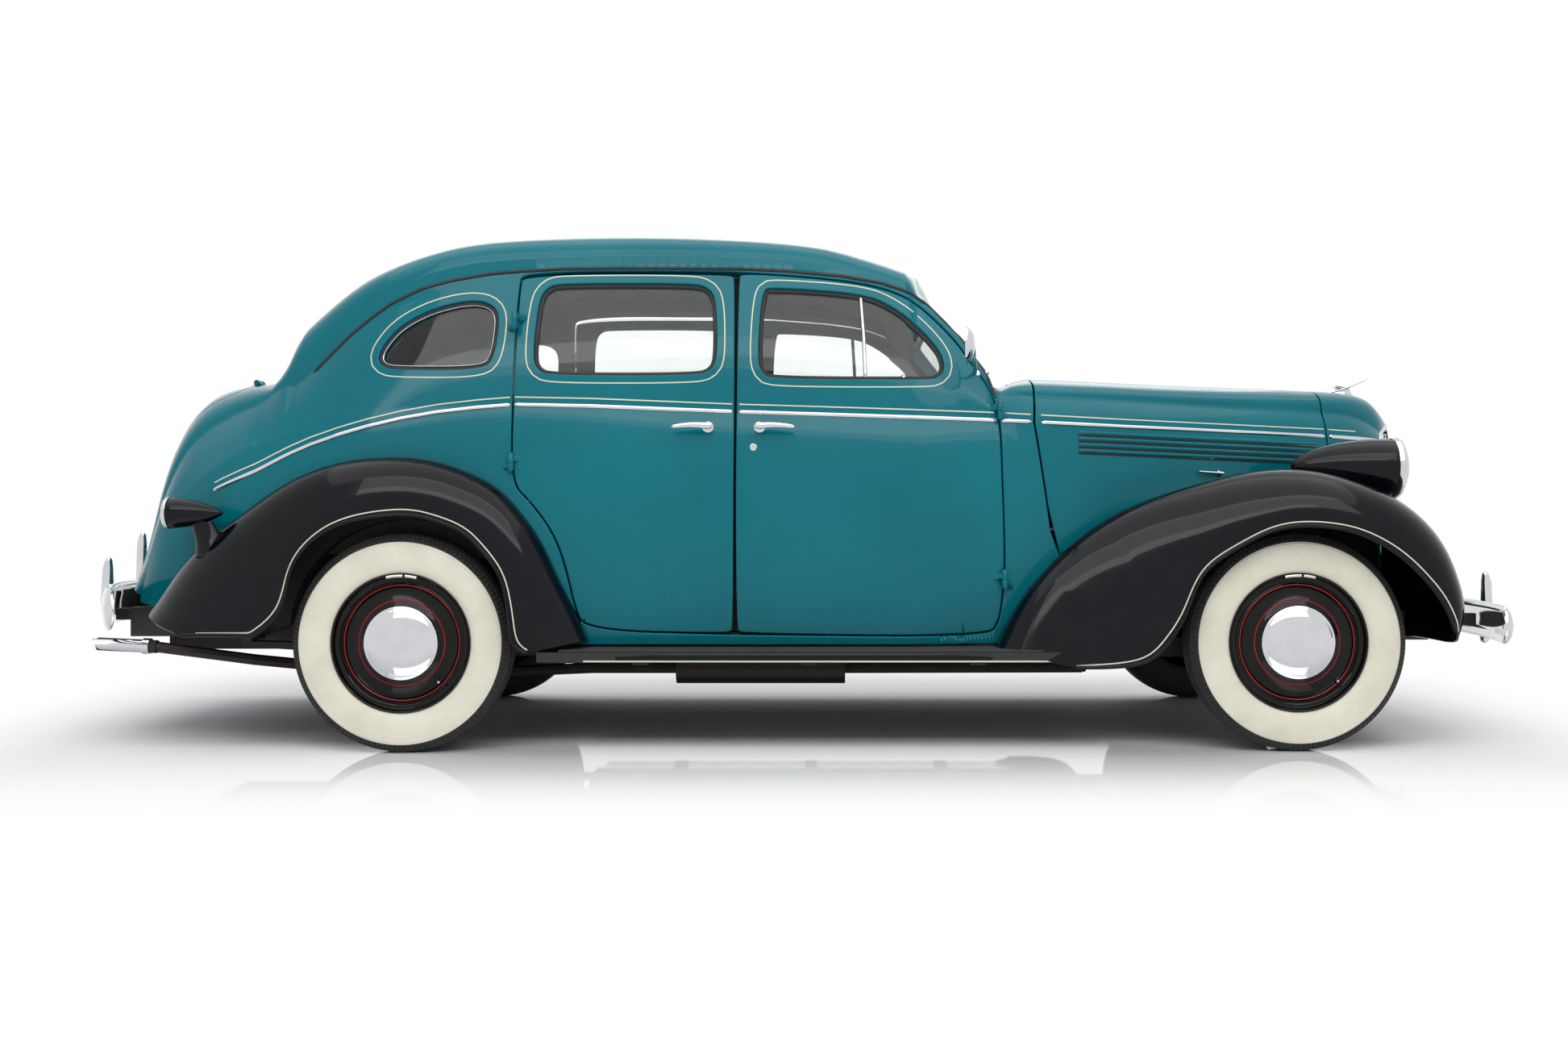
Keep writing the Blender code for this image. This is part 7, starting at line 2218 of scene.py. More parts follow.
    def trunk_trim(self) -> None:
        """Handle of the trunk lid on its plate, and the lid's hinges."""
        skin = self.skins.body
        root = Vector(skin.read(np.array([skin.from_behind(0.0005, 0.8)]))[0][0])
        plate = Bench.spun("lid_plate", [(-0.006, 0.0), (-0.006, 0.026), (0.002, 0.025), (0.006, 0.018),
            (0.01, 0.011), (0.03, 0.009), (0.03, 0.0)], (root.x, 0.0, root.z), (-1.0, 0.0, 0.35), 40)
        share = np.linspace(-1.0, 1.0, 24)
        path = np.stack([root.x - 0.036 - 0.006 * (1 - share ** 2), share * 0.062,
            np.full(24, root.z + 0.012)], axis=1)
        grip = Bench.tube("lid_grip", path, (0.0075, 0.0095, 16), taper=lambda s: float(
            np.interp(s, (0.0, 0.06, 0.5, 0.94, 1.0), (0.3, 0.8, 1.1, 0.8, 0.3))))
        Bench.done(Bench.joined("lid_handle", [plate, grip]), "chrome_plate", "trunk", "chrome")
        axis_x, axis_z = -0.66 + REAR_AXLE_X, 1.2455
        for word, body, way in (("moving", "trunk", -1.0), ("fixed", "car", 1.0)):
            profile = [(0.0003, 0.0), (0.0003, 0.0095), (0.002, 0.0104), (0.03, 0.0104), (0.032, 0.0085),
                (0.032, 0.0)]
            barrel = Bench.spun(f"lid_hinge_{word}", profile, (axis_x, -0.25, axis_z), (0.0, -way, 0.0), 32)
            middle = np.array((axis_x, -0.25 - way * 0.016, axis_z))
            drop = np.array([middle + np.array((way * 0.05 * s, 0.0, -0.004 - 0.02 * s ** 2))
                for s in np.linspace(0, 1, 8)])
            strap = Bench.tube("strap", drop, (0.0115, 0.005, 16), (0.0, 0.0, 1.0),
                taper=lambda s: 1.0 - 0.45 * s)
            Bench.pair(Bench.joined(barrel.name, [barrel, strap]), "teal_enamel", body, "body_paint")

    def build(self) -> None:
        """Build every fitting."""
        self.belt()
        self.windows()
        self.drip()
        self.handles()
        self.hinges()
        self.mirrors()
        self.front_glass()
        self.back_glass()
        self.trunk_trim()


@dataclass
class Face:
    """Louvres, latches, bead and ornament of the hood, and the barred grille."""

    skins: Skins

    def louvres(self) -> None:
        """Four long pressed ribs, each with a bright lip and a flat near-black strip of painted shade under
        it where the slot lies in shadow.
        """
        skin = self.skins.hood
        slope = -0.0335
        for k in range(4):
            start_x, end_x = 2.232, 3.128 - 0.012 * k
            top = 1.0515 - 0.0205 * k

            def path(drop: float, first: float = start_x, last: float = end_x, high: float = top) -> Outline:
                """Line of one edge of the louvre."""
                return [(x, high - drop + slope * (x - start_x)) for x in np.linspace(first, last, 24)]

            rib = Trim(skin, 0.0135, 0.0065).lay(f"louvre_rib_{k}", path(0.0))
            # The flat near-black strip under each rib is painted shade for the shadowed slot; no opening is
            # cut.
            slot = Trim(skin, 0.0062, 0.0012, flat=True).lay(f"louvre_slot_{k}", path(0.0102))
            lip = Trim(skin, 0.0026, 0.004).lay(f"louvre_lip_{k}", path(0.0068))
            for piece, finish, slot_name in ((rib, "teal_enamel", "body_paint"),
                    (slot, "black_gap", "frame_black"), (lip, "chrome_plate", "chrome")):
                Bench.pair(piece, finish, "hood_half_*", slot_name)

    def latch(self) -> None:
        """Small lever latch under the louvres."""
        skin = self.skins.hood
        points, normals = skin.read(skin.side_path([(x, 0.921 - 0.006 * (x - 2.66) / 0.08)
            for x in np.linspace(2.66, 2.75, 16)]))
        lever = Bench.tube("hood_latch", points + normals * 0.016, (0.0045, 0.0055, 12), normals,
            taper=lambda s: 0.8 + 0.5 * s)
        post = Bench.spun("latch_post", [(-0.003, 0.0), (-0.003, 0.012), (0.003, 0.011), (0.008, 0.006),
            (0.02, 0.006), (0.022, 0.0)], tuple(points[-2]), tuple(normals[-2]), 24)
        Bench.pair(Bench.joined("hood_latch", [lever, post]), "chrome_plate", "hood_half_*", "chrome")

    @staticmethod
    def bead() -> None:
        """Hinge rod between the hood halves."""
        low = np.array([(x + REAR_AXLE_X, 0.0, 1.2612 + (1.2318 - 1.2612) * (x - 2.06) / 1.1177 + 0.001)
            for x in np.linspace(2.062, 3.174, 30)])
        rod = Bench.tube("hood_rod", low, (0.0046, 0.0046, 14))
        Bench.done(rod, "chrome_plate", "car", "chrome")

    def ornament(self) -> None:
        """Plain streamlined fin that rises from the nose."""
        spine = np.array([(3.272, 1.229), (3.3, 1.235), (3.33, 1.244), (3.36, 1.256), (3.39, 1.269),
            (3.412, 1.2785), (3.426, 1.284)])
        spine = even(spine, 0.004)
        rings = []
        for k, (x, z) in enumerate(spine):
            s = k / (len(spine) - 1)
            wide = float(np.interp(s, (0.0, 0.1, 0.4, 0.8, 0.95, 1.0), (0.004, 0.01, 0.011, 0.0085, 0.006,
                0.0015)))
            tall = float(np.interp(s, (0.0, 0.2, 0.6, 0.9, 1.0), (0.004, 0.008, 0.0065, 0.0055, 0.0012)))
            turn = np.linspace(0.0, math.tau, 20, endpoint=False)
            rings.append([(x + REAR_AXLE_X, wide * math.cos(t), z + tall * math.sin(t)) for t in turn])
        fin = Bench.rings("fin_body", rings, smooth=60.0)
        base = []
        for s in np.linspace(0.0, 1.0, 14):
            grow = 1.0 + 0.7 * s ** 2
            ring = []
            for k in range(28):
                angle = math.tau * k / 28
                x = 3.318 + math.cos(angle) * 0.04 * grow
                ring.append((x + REAR_AXLE_X, math.sin(angle) * 0.009 * grow,
                    (1.237 + 0.01 * math.cos(angle)) * (1.0 - s) + (self.top_of_nose(x) - 0.002) * s))
            base.append(ring)
        foot = Bench.rings("fin_foot", base, smooth=60.0)
        wings = []
        for sign in (1.0, -1.0):
            blade = []
            for s in np.linspace(0.0, 1.0, 10):
                chord = 0.05 * (1.0 - 0.75 * s)
                lead = 3.352 - 0.046 * s
                ring = [(lead + REAR_AXLE_X - chord * (0.5 - 0.5 * math.cos(a)), sign * (0.004 + 0.02 * s),
                    1.248 + 0.006 * s + math.sin(a) * 0.0022 * (1.0 - 0.6 * s))
                    for a in np.linspace(0, math.tau, 16, False)]
                blade.append(ring)
            wings.append(Bench.rings("fin_wing", blade, smooth=60.0))
        Bench.done(Bench.joined("nose_ornament", [fin, foot, *wings]), "chrome_plate", "car", "chrome")

    @staticmethod
    def top_of_nose(x: float) -> float:
        """Height of the nose's middle line at x from the rear axle."""
        rows = [(row[4][0], row[4][1]) for row in NOSE_ROWS]
        return float(np.interp(x, [r[0] for r in rows], [r[1] for r in rows]))

    def across_nose(self, z: float, sink: float, half: float) -> np.ndarray:
        """Path over the nose at one height, from right to left.

        Args:
            z: height of the path.
            sink: how far it lies under the skin.
            half: half of its width.

        Returns:
            Points of the path.
        """
        skin = self.skins.nose
        line = []
        for y in np.linspace(-half, -0.0, 26):
            hit = skin.cast((3.0, min(y, -0.03), z), (-1.0, 0.0, 0.0)) or skin.nearest(
                (2.245, min(y, -0.03), z))
            spot, out = skin.read(np.array([hit]))
            way = out[0] / max(1e-6, math.hypot(out[0][0], out[0][1]))
            point = spot[0] - np.array((way[0], way[1], 0.0)) * sink
            if y > -0.03:
                bulge = 0.01 * (1.0 - (y / 0.03) ** 2) * 0.6
                point = np.array((point[0] + bulge, y, z))
            line.append((point[0], point[1], z))
        right = np.array(line)
        left = right[:-1][::-1] * np.array((1.0, -1.0, 1.0))
        return np.vstack([right, left])

    @staticmethod
    def half_width(z: float) -> float:
        """Half width of the grille opening at one height."""
        outline = np.array(GRILLE_HALF)
        return float(np.interp(z, outline[1:-1, 1], outline[1:-1, 0])) if z < 1.075 else float(
            np.interp(z, (1.075, 1.115), (0.13, 0.0)))

    def grille(self) -> None:
        """Level bars in a bright frame before a near-black backing of painted shade for the dark opening,
        split by a middle strip.
        """
        bars = []
        turn = np.linspace(-math.pi / 2.0, math.pi / 2.0, 6)
        profile = np.vstack([arc(turn, 0.0045, 0.0036), [(-0.01, 0.0022), (-0.01, -0.0022)]])
        for z in np.arange(0.518, 1.1, 0.0158):
            half = self.half_width(float(z)) - 0.004
            if half < 0.035:
                continue
            path = self.across_nose(float(z), 0.0075, half)
            bars.append(Bench.tube("bar", path, profile, (0.0, 0.0, 1.0)))
        Bench.done(Bench.joined("grille_bars", bars), "chrome_plate", "car", "chrome", ["grille"])
        # The near-black backing behind the bars is painted shade for the shadowed space behind the grille.
        core = []
        for z in np.linspace(0.505, 1.098, 30):
            path = self.across_nose(float(z), 0.024, max(0.034, self.half_width(float(z)) + 0.004))
            core.append(even(path, np.sum(np.linalg.norm(np.diff(path, axis=0), axis=1)) / 40.0)[:40])
        front = np.array(core)
        back = front - np.array((0.006, 0.0, 0.0))
        rows, wide = front.shape[:2]
        points = np.vstack([front.reshape(-1, 3), back.reshape(-1, 3)])
        faces = []
        count = rows * wide
        for i in range(rows - 1):
            for j in range(wide - 1):
                a = i * wide + j
                faces.append((a, a + 1, a + wide + 1, a + wide))
                faces.append((a + count, a + wide + count, a + wide + 1 + count, a + 1 + count))
        for i in range(rows - 1):
            for j in (0, wide - 1):
                a = i * wide + j
                faces.append((a, a + wide, a + wide + count, a + count))
        for j in range(wide - 1):
            for i in (0, rows - 1):
                a = i * wide + j
                faces.append((a, a + 1, a + 1 + count, a + count))
        Bench.done(Bench.mesh("grille_core", points, faces), "black_gap", "car", "frame_black")
        outline = rounded(full_outline(GRILLE_HALF), sharp=80.0, edge=0.008)
        skin = self.skins.nose
        points, normals = [], []
        for y, z in outline:
            hit = skin.cast((3.0, -max(abs(y), 0.03), z), (-1.0, 0.0, 0.0)) or skin.nearest((2.2, -abs(y), z))
            spot, out = skin.read(np.array([hit]))
            flip = np.array((1.0, -1.0 if y < 0.0 else 1.0, 1.0))
            point = spot[0] * flip
            if abs(y) < 0.03:
                point = np.array((point[0] + 0.006 * (1.0 - (y / 0.03) ** 2), -y, z))
            points.append(point)
            normals.append(out[0] * flip)
        frame_path, frame_out = np.array(points), np.array(normals)
        rim = Bench.tube("grille_frame", frame_path, (0.0085, 0.006, 14), frame_out, True)
        path = np.array([self.across_nose(float(z), 0.002, 0.031)[25] for z in np.linspace(0.512, 1.1, 50)])
        strip = Bench.tube("grille_strip", path, (0.0062, 0.0055, 14), (0.0, 1.0, 0.0))
        Bench.done(Bench.joined("grille_surround", [rim, strip]), "chrome_plate", "car", "chrome")

    @staticmethod
    def apron() -> None:
        """Close the shell under the grille with a curved apron."""
        rings = []
        for z in np.linspace(0.52, 0.449, 9):
            half = 0.15 + 0.05 * (0.52 - z) / 0.071
            across = np.linspace(-half, half, 33)
            along = 3.436 + REAR_AXLE_X - 0.067 * (across / 0.24) ** 2
            rings.append([(x, y, z) for x, y in zip(along, across)] + [(x - 0.006, y, z) for x,
                y in zip(along[::-1], across[::-1])])
        Bench.done(Bench.rings("nose_apron", rings, smooth=50.0), "teal_enamel", "car", "body_paint")

    def build(self) -> None:
        """Build everything on hood and nose."""
        self.apron()
        self.louvres()
        self.latch()
        self.bead()
        self.ornament()
        self.grille()


@dataclass
class Sides:
    """Running boards, the cream lines along the fender lips and the bright exhaust tip."""

    skins: Skins

    @staticmethod
    def board() -> None:
        """Rounded running board with a ribbed rubber tread and a cream line along its edge."""
        low, high = (0.452 + REAR_AXLE_X, 0.652, 0.297), (2.165 + REAR_AXLE_X, 0.87, 0.3335)
        span = np.linspace(low[0], high[0], 40)
        rings = []
        for x in span:
            s = (x - low[0]) / (high[0] - low[0])
            out = high[1] - 0.004 * (2.0 * s - 1.0) ** 2
            rings.append([(x, -y, z) for y, z in ((low[1], 0.3335), (out - 0.014, 0.3335),
                (out - 0.006, 0.3315), (out - 0.001, 0.326), (out, 0.318), (out, 0.306), (out - 0.002, 0.3),
                (out - 0.007, 0.297), (low[1], 0.297))])
        slab = Bench.rings("running_board", rings, smooth=50.0)
        Bench.pair(slab, "navy_enamel", "car", "fender_paint")
        ribs = []
        for y in np.arange(0.668, 0.862, 0.0095):
            ribs.append([(y, 0.3335), (y, 0.3378), (y + 0.0012, 0.3388), (y + 0.0048, 0.3388),
                (y + 0.006, 0.3378), (y + 0.006, 0.3352)])
        top = [p for rib in ribs for p in rib]
        outline = [*top, (0.864, 0.3352), (0.864, 0.333), (0.664, 0.333)]
        tread = Bench.rings("board_tread", [[(x, -y, z) for y, z in outline]
            for x in np.linspace(0.52 + REAR_AXLE_X, 2.08 + REAR_AXLE_X, 12)], smooth=20.0)
        Bench.pair(tread, "board_rubber", "car", "rubber_tyre")
        path = np.array([(x, -(high[1] - 0.004 * (2.0 * (x - low[0]) / (high[0] - low[0]) - 1.0) ** 2)
            - 0.0004, 0.3035) for x in np.linspace(0.6 + REAR_AXLE_X, 2.1 + REAR_AXLE_X, 40)])
        line = Bench.tube("board_line", path, (0.0016, 0.0026, 10))
        Bench.pair(line, "cream_line", "car", "body_paint")

    def lip_lines(self) -> None:
        """Cream line a finger's width from the lip of each fender."""
        for word, skin in (("front", self.skins.front_fender), ("rear", self.skins.rear_fender)):
            places = []
            for i in range(2, skin.grid.shape[0] - 2):
                row = skin.grid[i][::-1]
                reach = np.concatenate([[0.0], np.cumsum(np.linalg.norm(np.diff(row, axis=0), axis=1))])
                places.append((float(i), skin.grid.shape[1] - 1.0 - float(np.interp(LIP_INSET, reach,
                    np.arange(len(row))))))
            points, normals = skin.read(np.array(places))
            profile = np.array([(-0.0022, -0.0006), (0.0022, -0.0006), (0.002, 0.0008), (-0.002, 0.0008)])
            line = Bench.tube(f"{word}_lip_line", points, profile, normals)
            Bench.pair(line, "cream_line", "car", "body_paint")

    @staticmethod
    def tail_pipe() -> None:
        """Bright flattened outlet clamped over the exhaust pipe."""
        start, end = np.array((-0.955 + REAR_AXLE_X, TAIL_PIPE_Y, 0.3178)), np.array(
            (-1.136 + REAR_AXLE_X, TAIL_PIPE_Y, 0.3265))
        path = np.array([start + (end - start) * s for s in np.linspace(0.0, 1.0, 24)])
        rings = []
        for k, point in enumerate(path):
            s = k / 23
            wide, tall = 0.0236 + 0.009 * s ** 2, 0.0236 - 0.004 * s
            rings.append([(point[0] - (0.016 * math.sin(t) * s ** 2), point[1] + wide * math.cos(t),
                point[2] + tall * math.sin(t)) for t in np.linspace(0.0, math.tau, 32, False)])
        inner = [[(x, TAIL_PIPE_Y + (y - TAIL_PIPE_Y) * 0.9, 0.3225 + (z - 0.3225) * 0.9) for x, y, z in ring]
            for ring in reversed(rings[6:])]
        tip = Bench.rings("tail_pipe", [*rings, *inner], smooth=50.0)
        clamp = Bench.spun("clamp", [(-0.012, 0.0238), (-0.012, 0.0275), (0.012, 0.0275), (0.012, 0.0238),
            (-0.012, 0.0238)], (-0.965 + REAR_AXLE_X, TAIL_PIPE_Y, 0.3184), (1.0, 0.0, -0.04), 40)
        Bench.done(Bench.joined("tail_pipe", [tip, clamp]), "chrome_plate", "car", "chrome")

    def build(self) -> None:
        """Build the pieces low on the sides."""
        self.board()
        self.lip_lines()
        self.tail_pipe()


FRONT_CUSHION = ((1.445, 0.52), (1.455, 0.6), (1.435, 0.672), (1.37, 0.7), (1.24, 0.7), (1.1, 0.68),
    (1.06, 0.62), (1.065, 0.53), (1.1, 0.505), (1.4, 0.505))
FRONT_BACK = ((1.078, 0.64), (1.08, 0.72), (1.05, 0.88), (1.01, 1.02), (0.985, 1.085), (0.95, 1.112),
    (0.908, 1.1), (0.892, 1.06), (0.898, 0.9), (0.905, 0.7), (0.92, 0.62), (1.0, 0.6))
REAR_CUSHION = ((0.585, 0.575), (0.592, 0.64), (0.56, 0.695), (0.47, 0.714), (0.3, 0.704), (0.16, 0.684),
    (0.12, 0.64), (0.12, 0.575), (0.2, 0.56), (0.5, 0.555))
REAR_BACK = ((0.15, 0.65), (0.128, 0.72), (0.08, 0.9), (0.02, 1.08), (-0.01, 1.125), (-0.055, 1.142),
    (-0.11, 1.122), (-0.122, 1.06), (-0.12, 0.8), (-0.1, 0.62), (-0.02, 0.585), (0.1, 0.6))


@dataclass
class Cabin:
    """Seats, dashboard, steering wheel, carpet and trim seen through the glass."""

    skins: Skins
    coach: Coachwork

    def cushion(self, name: str, outline: Outline, half: float, rolls: int, swell: float) -> bpy.types.Object:
        """Pad one bench cushion with sewn rolls by a short cloth simulation.

        Args:
            name: of the piece.
            outline: side view, x from the rear axle and z.
            half: half of its width.
            rolls: number of sewn rolls across it.
            swell: how far a point may move.

        Returns:
            The cushion.
        """
        edge = rounded(outline, sharp=180.0, passes=3, edge=0.012)
        middle = edge.mean(axis=0)
        rings = []
        for y in np.linspace(-half, half, 61):
            near = max(0.0, (abs(y) - half + 0.055) / 0.055)
            size = 1.0 - 0.16 * near ** 2.4
            loop = middle + (edge - middle) * size
            rings.append([(x + REAR_AXLE_X, y, z) for x, z in loop])
        thing = Bench.rings(name, rings, smooth=70.0)
        self.swell(thing, swell)
        for vertex in thing.data.vertices:
            across = (vertex.co.y + half) / (2.0 * half) * rolls
            groove = abs(math.sin(math.pi * across)) ** 0.45
            out = Vector((vertex.co.x - REAR_AXLE_X - middle[0], 0.0, vertex.co.z - middle[1]))
            if out.length > 1e-6:
                vertex.co -= out.normalized() * 0.0075 * (1.0 - groove)
        thing.data.update()
        thing.data.shade_smooth()
        return thing

    @staticmethod
    def swell(thing: bpy.types.Object, reach: float) -> None:
        """Blow the cushion up as cloth and keep the result in its mesh."""
        Bench.clear()
        remesh = thing.modifiers.new("voxels", "REMESH")
        remesh.mode = "VOXEL"
        remesh.voxel_size = 0.012
        bpy.context.view_layer.objects.active = thing
        bpy.ops.object.modifier_apply(modifier=remesh.name)
        rest = [v.co.copy() for v in thing.data.vertices]
        cloth = thing.modifiers.new("cloth", "CLOTH")
        cloth.settings.quality = 4
        cloth.settings.use_pressure = True
        cloth.settings.uniform_pressure_force = 4.0
        cloth.settings.effector_weights.gravity = 0.0
        cloth.point_cache.frame_start = 1
        cloth.point_cache.frame_end = 14
        for frame_number in range(1, 15):
            bpy.context.scene.frame_set(frame_number)
        shown = thing.evaluated_get(bpy.context.evaluated_depsgraph_get())
        moved = [v.co.copy() for v in shown.data.vertices]
        thing.modifiers.clear()
        bpy.context.scene.frame_set(1)
        for vertex, old, new in zip(thing.data.vertices, rest, moved):
            shift = new - old
            if shift.length > reach:
                shift = shift.normalized() * reach
            vertex.co = old + shift
        finer = thing.modifiers.new("fine", "SUBSURF")
        finer.levels = 1
        finer.render_levels = 1
        bpy.context.view_layer.objects.active = thing
        bpy.ops.object.modifier_apply(modifier=finer.name)

    @staticmethod
    def box(name: str, low: Point, high: Point, bevel: float, segments: int, finish: str) -> None:
        """Set one rounded box, x from the rear axle, and dress it in cloth."""
        ends = [(x + REAR_AXLE_X, y, z) for x, y, z in (low, high)]
        Bench.done(Bench.block(name, *ends, bevel, segments), finish, "car", "cloth")

    def seats(self) -> None:
        """Front and rear benches on their bases."""
        table = (("front_cushion", FRONT_CUSHION, 0.5, 12, ["front_seat"]),
            ("front_backrest", FRONT_BACK, 0.5, 12, []), ("rear_cushion", REAR_CUSHION, 0.54, 13,
            ["rear_seat"]), ("rear_backrest", REAR_BACK, 0.54, 13, []))
        for name, outline, half, rolls, nodes in table:
            thing = self.cushion(name, outline, half, rolls, 0.022)
            Bench.done(thing, "seat_cloth", "car", "cloth", nodes)
        for name, low, high, bevel, segments in (("front_seat_base", (0.885, -0.5, 0.386),
                (1.425, 0.5, 0.512), 0.012, 4), ("front_seat_shell", (0.882, -0.5, 0.512), (0.903, 0.5, 1.04),
                0.009, 4), ("rear_seat_base", (0.4, -0.54, 0.386), (0.545, 0.54, 0.575), 0.01, 3)):
            self.box(name, low, high, bevel, segments, "trim_cloth")
        rail = Bench.tube("robe_rail", np.array([(0.874 + REAR_AXLE_X, y, 0.985 - 0.02 * (y / 0.34) ** 8)
            for y in np.linspace(-0.34, 0.34, 41)]), (0.007, 0.007, 12))
        Bench.done(rail, "chrome_plate", "car", "chrome")

    def lining(self) -> None:
        """Headliner, pillar trim and door cards on the inner side of the shell."""
        skin = self.skins.body
        rows, columns = skin.grid.shape[0] - 1, skin.grid.shape[1] - 1
        first = next(i for i in range(rows) if skin.grid[i, 0, 0] > REAR_AXLE_X - 0.42)
        last = next(i for i in range(rows) if skin.grid[i, 0, 0] > REAR_AXLE_X + 1.93)
        low = next(j for j in range(columns) if -skin.grid[150, j, 2] < -0.62)
        edge = [(float(i), float(low)) for i in range(first, last, 2)]
        edge += [(float(last), float(j)) for j in range(low, columns, 2)]
        edge += [(float(i), float(columns)) for i in range(last, first, -2)]
        edge += [(float(first), float(j)) for j in range(columns, low, -2)]
        wide = [skin.side_path(grown(self.coach.outlines[name], amount)) for name,
            amount in (("doorway", 0.012), ("quarter_window", 0.004))]
        screen = self.coach.front_loop(WINDSHIELD_PANE, 0.004)
        holes = [*wide, screen, self.coach.loops["back_hole"]]
        sheet = drop_faces_on_middle(Panel(skin, [np.array(edge), *holes], 0.003, 0.001, (4, 4),
            WALL + 0.0115).build()).both()
        Bench.done(Bench.sheet("cabin_lining", sheet), "trim_cloth", "car", "cloth")
        for name, window in (("rear_door", "rear_window"), ("front_door", "front_window")):
            loops = [skin.side_path(grown(self.coach.outlines[name], -0.01)),
                skin.side_path(grown(self.coach.outlines[window], 0.003))]
            card = Panel(skin, loops, 0.004, 0.002, (3, 3), WALL + 0.0005).build()
            for side, one in card.sides():
                Bench.done(Bench.sheet(f"{name}_card_{side.word}", one), "trim_cloth", f"{name}_{side.word}",
                    "cloth")
            x, z = ((0.8, 0.93) if name == "rear_door" else (1.3, 0.93))
            root = self.inner(x, z)
            crank = Bench.spun("crank", [(0.0, 0.0), (0.0, 0.022), (0.006, 0.02), (0.012, 0.01),
                (0.02, 0.008), (0.022, 0.0)], root, (0.0, 1.0, 0.0), 32)
            arm = Bench.tube("crank_arm", np.array([(root[0], root[1] + 0.018, root[2]),
                (root[0] + 0.02, root[1] + 0.022, root[2] - 0.03), (root[0] + 0.035, root[1] + 0.024,
                root[2] - 0.075)]), (0.005, 0.007, 10), (0.0, 1.0, 0.0))
            Bench.pair(Bench.joined(f"{name}_crank", [crank, arm]), "chrome_plate", f"{name}_*", "chrome")

    def inner(self, x: float, z: float) -> Point:
        """Place on the inner face of a door card."""
        points, normals = self.skins.body.read(self.skins.body.side_path([(x, z)]))
        return tuple(points[0] - normals[0] * (WALL + 0.005))

    def posts(self) -> None:
        """Trimmed centre posts between the doors."""
        rings = []
        skin = self.skins.body
        for z in np.linspace(0.386, 1.578, 30):
            y = -skin.read(skin.side_path([(1.08, float(z))]))[0][0][1]
            out, deep = y - 0.0665, y - 0.102
            rings.append([(x + REAR_AXLE_X, -v, float(z)) for x, v in ((1.03, out), (1.13, out),
                (1.128, out - 0.012), (1.118, deep), (1.042, deep), (1.032, out - 0.012))])
        Bench.pair(Bench.rings("centre_post", rings, smooth=40.0), "trim_cloth", "car", "cloth")

    @staticmethod
    def dash() -> None:
        """Dashboard with rolled top, wood-grained face, round gauges and knobs."""
        x0 = 1.8 + REAR_AXLE_X
        profile = [(2.115, 1.18), (2.0, 1.1845), (1.9, 1.184), (1.84, 1.18), (1.812, 1.17), (1.801, 1.152),
            (1.801, 1.13), (1.812, 1.12), (1.826, 1.06), (1.822, 1.015), (1.83, 1.001), (1.865, 1.0005),
            (1.868, 1.09), (1.872, 1.145), (1.9, 1.15), (2.115, 1.15)]
        rings = []
        for y in np.linspace(-DASH_HALF, DASH_HALF, 61):
            bow = DASH_BOW * (y / DASH_HALF) ** 2
            rings.append([(x + REAR_AXLE_X + (bow if x < 1.9 else 0.0), y, z) for x, z in profile])
        Bench.done(Bench.rings("dashboard", rings, smooth=42.0), "wood_grain", "car", "control_plastic")
        for name, y, radius in (("speed_gauge", 0.36, 0.058), ("left_gauge", 0.2, 0.036),
                ("clock", -0.36, 0.048)):
            middle = (x0 + 0.0095 + DASH_BOW * (y / DASH_HALF) ** 2, y, 1.085)
            bezel = Bench.spun(name, [(-0.004, radius), (0.004, radius + 0.003), (0.009, radius),
                (0.0095, radius - 0.005), (0.004, radius - 0.008), (-0.004, radius - 0.008),
                (-0.004, radius)], middle, (-1.0, 0.0, 0.1), 64)
            Bench.done(bezel, "chrome_plate", "car", "chrome")
            plate = Bench.spun(f"{name}_face", [(-0.003, 0.0), (-0.003, radius - 0.006),
                (0.002, radius - 0.007), (0.002, 0.004), (0.005, 0.003), (0.005, 0.0)], middle,
                (-1.0, 0.0, 0.1), 48)
            Bench.done(plate, "ivory_plastic", "car", "control_plastic")
        knobs = []
        for y in (-0.18, -0.11, -0.04, 0.04, 0.11):
            knobs.append(Bench.spun("knob", [(0.0, 0.0), (0.0, 0.005), (0.014, 0.005), (0.016, 0.011),
                (0.024, 0.012), (0.029, 0.008), (0.03, 0.0)], (1.82 + REAR_AXLE_X
                + DASH_BOW * (y / DASH_HALF) ** 2, y, 1.038), (-1.0, 0.0, 0.0), 24))
        Bench.done(Bench.joined("dash_knobs", knobs), "ivory_plastic", "car", "control_plastic")
        lever = Bench.tube("gear_lever", np.array([(1.78, 0.0, 0.392), (1.74, 0.0, 0.52), (1.68, 0.0, 0.66),
            (1.62, 0.0, 0.76)]) + np.array((REAR_AXLE_X, 0.0, 0.0)), (0.006, 0.006, 12))
        Bench.done(lever, "chrome_plate", "car", "chrome")
        ball = Bench.spun("gear_knob", [(-0.02, 0.0), (-0.018, 0.011), (-0.006, 0.02), (0.008, 0.02),
            (0.02, 0.01), (0.023, 0.0)], (1.615 + REAR_AXLE_X, 0.0, 0.77), (-0.5, 0.0, 0.85), 32)
        Bench.done(ball, "brown_plastic", "car", "control_plastic")
        mirror = Bench.rings("cabin_mirror", [[(1.8 + REAR_AXLE_X + 0.008 * math.cos(a), y,
            1.435 + 0.028 * math.sin(a) * (1.0 - 0.25 * (abs(y) / 0.09) ** 3))
            for a in np.linspace(0, math.tau, 24, False)] for y in np.linspace(-0.09, 0.09, 21)], smooth=50.0)
        Bench.done(mirror, "satin_steel", "car", "chrome")

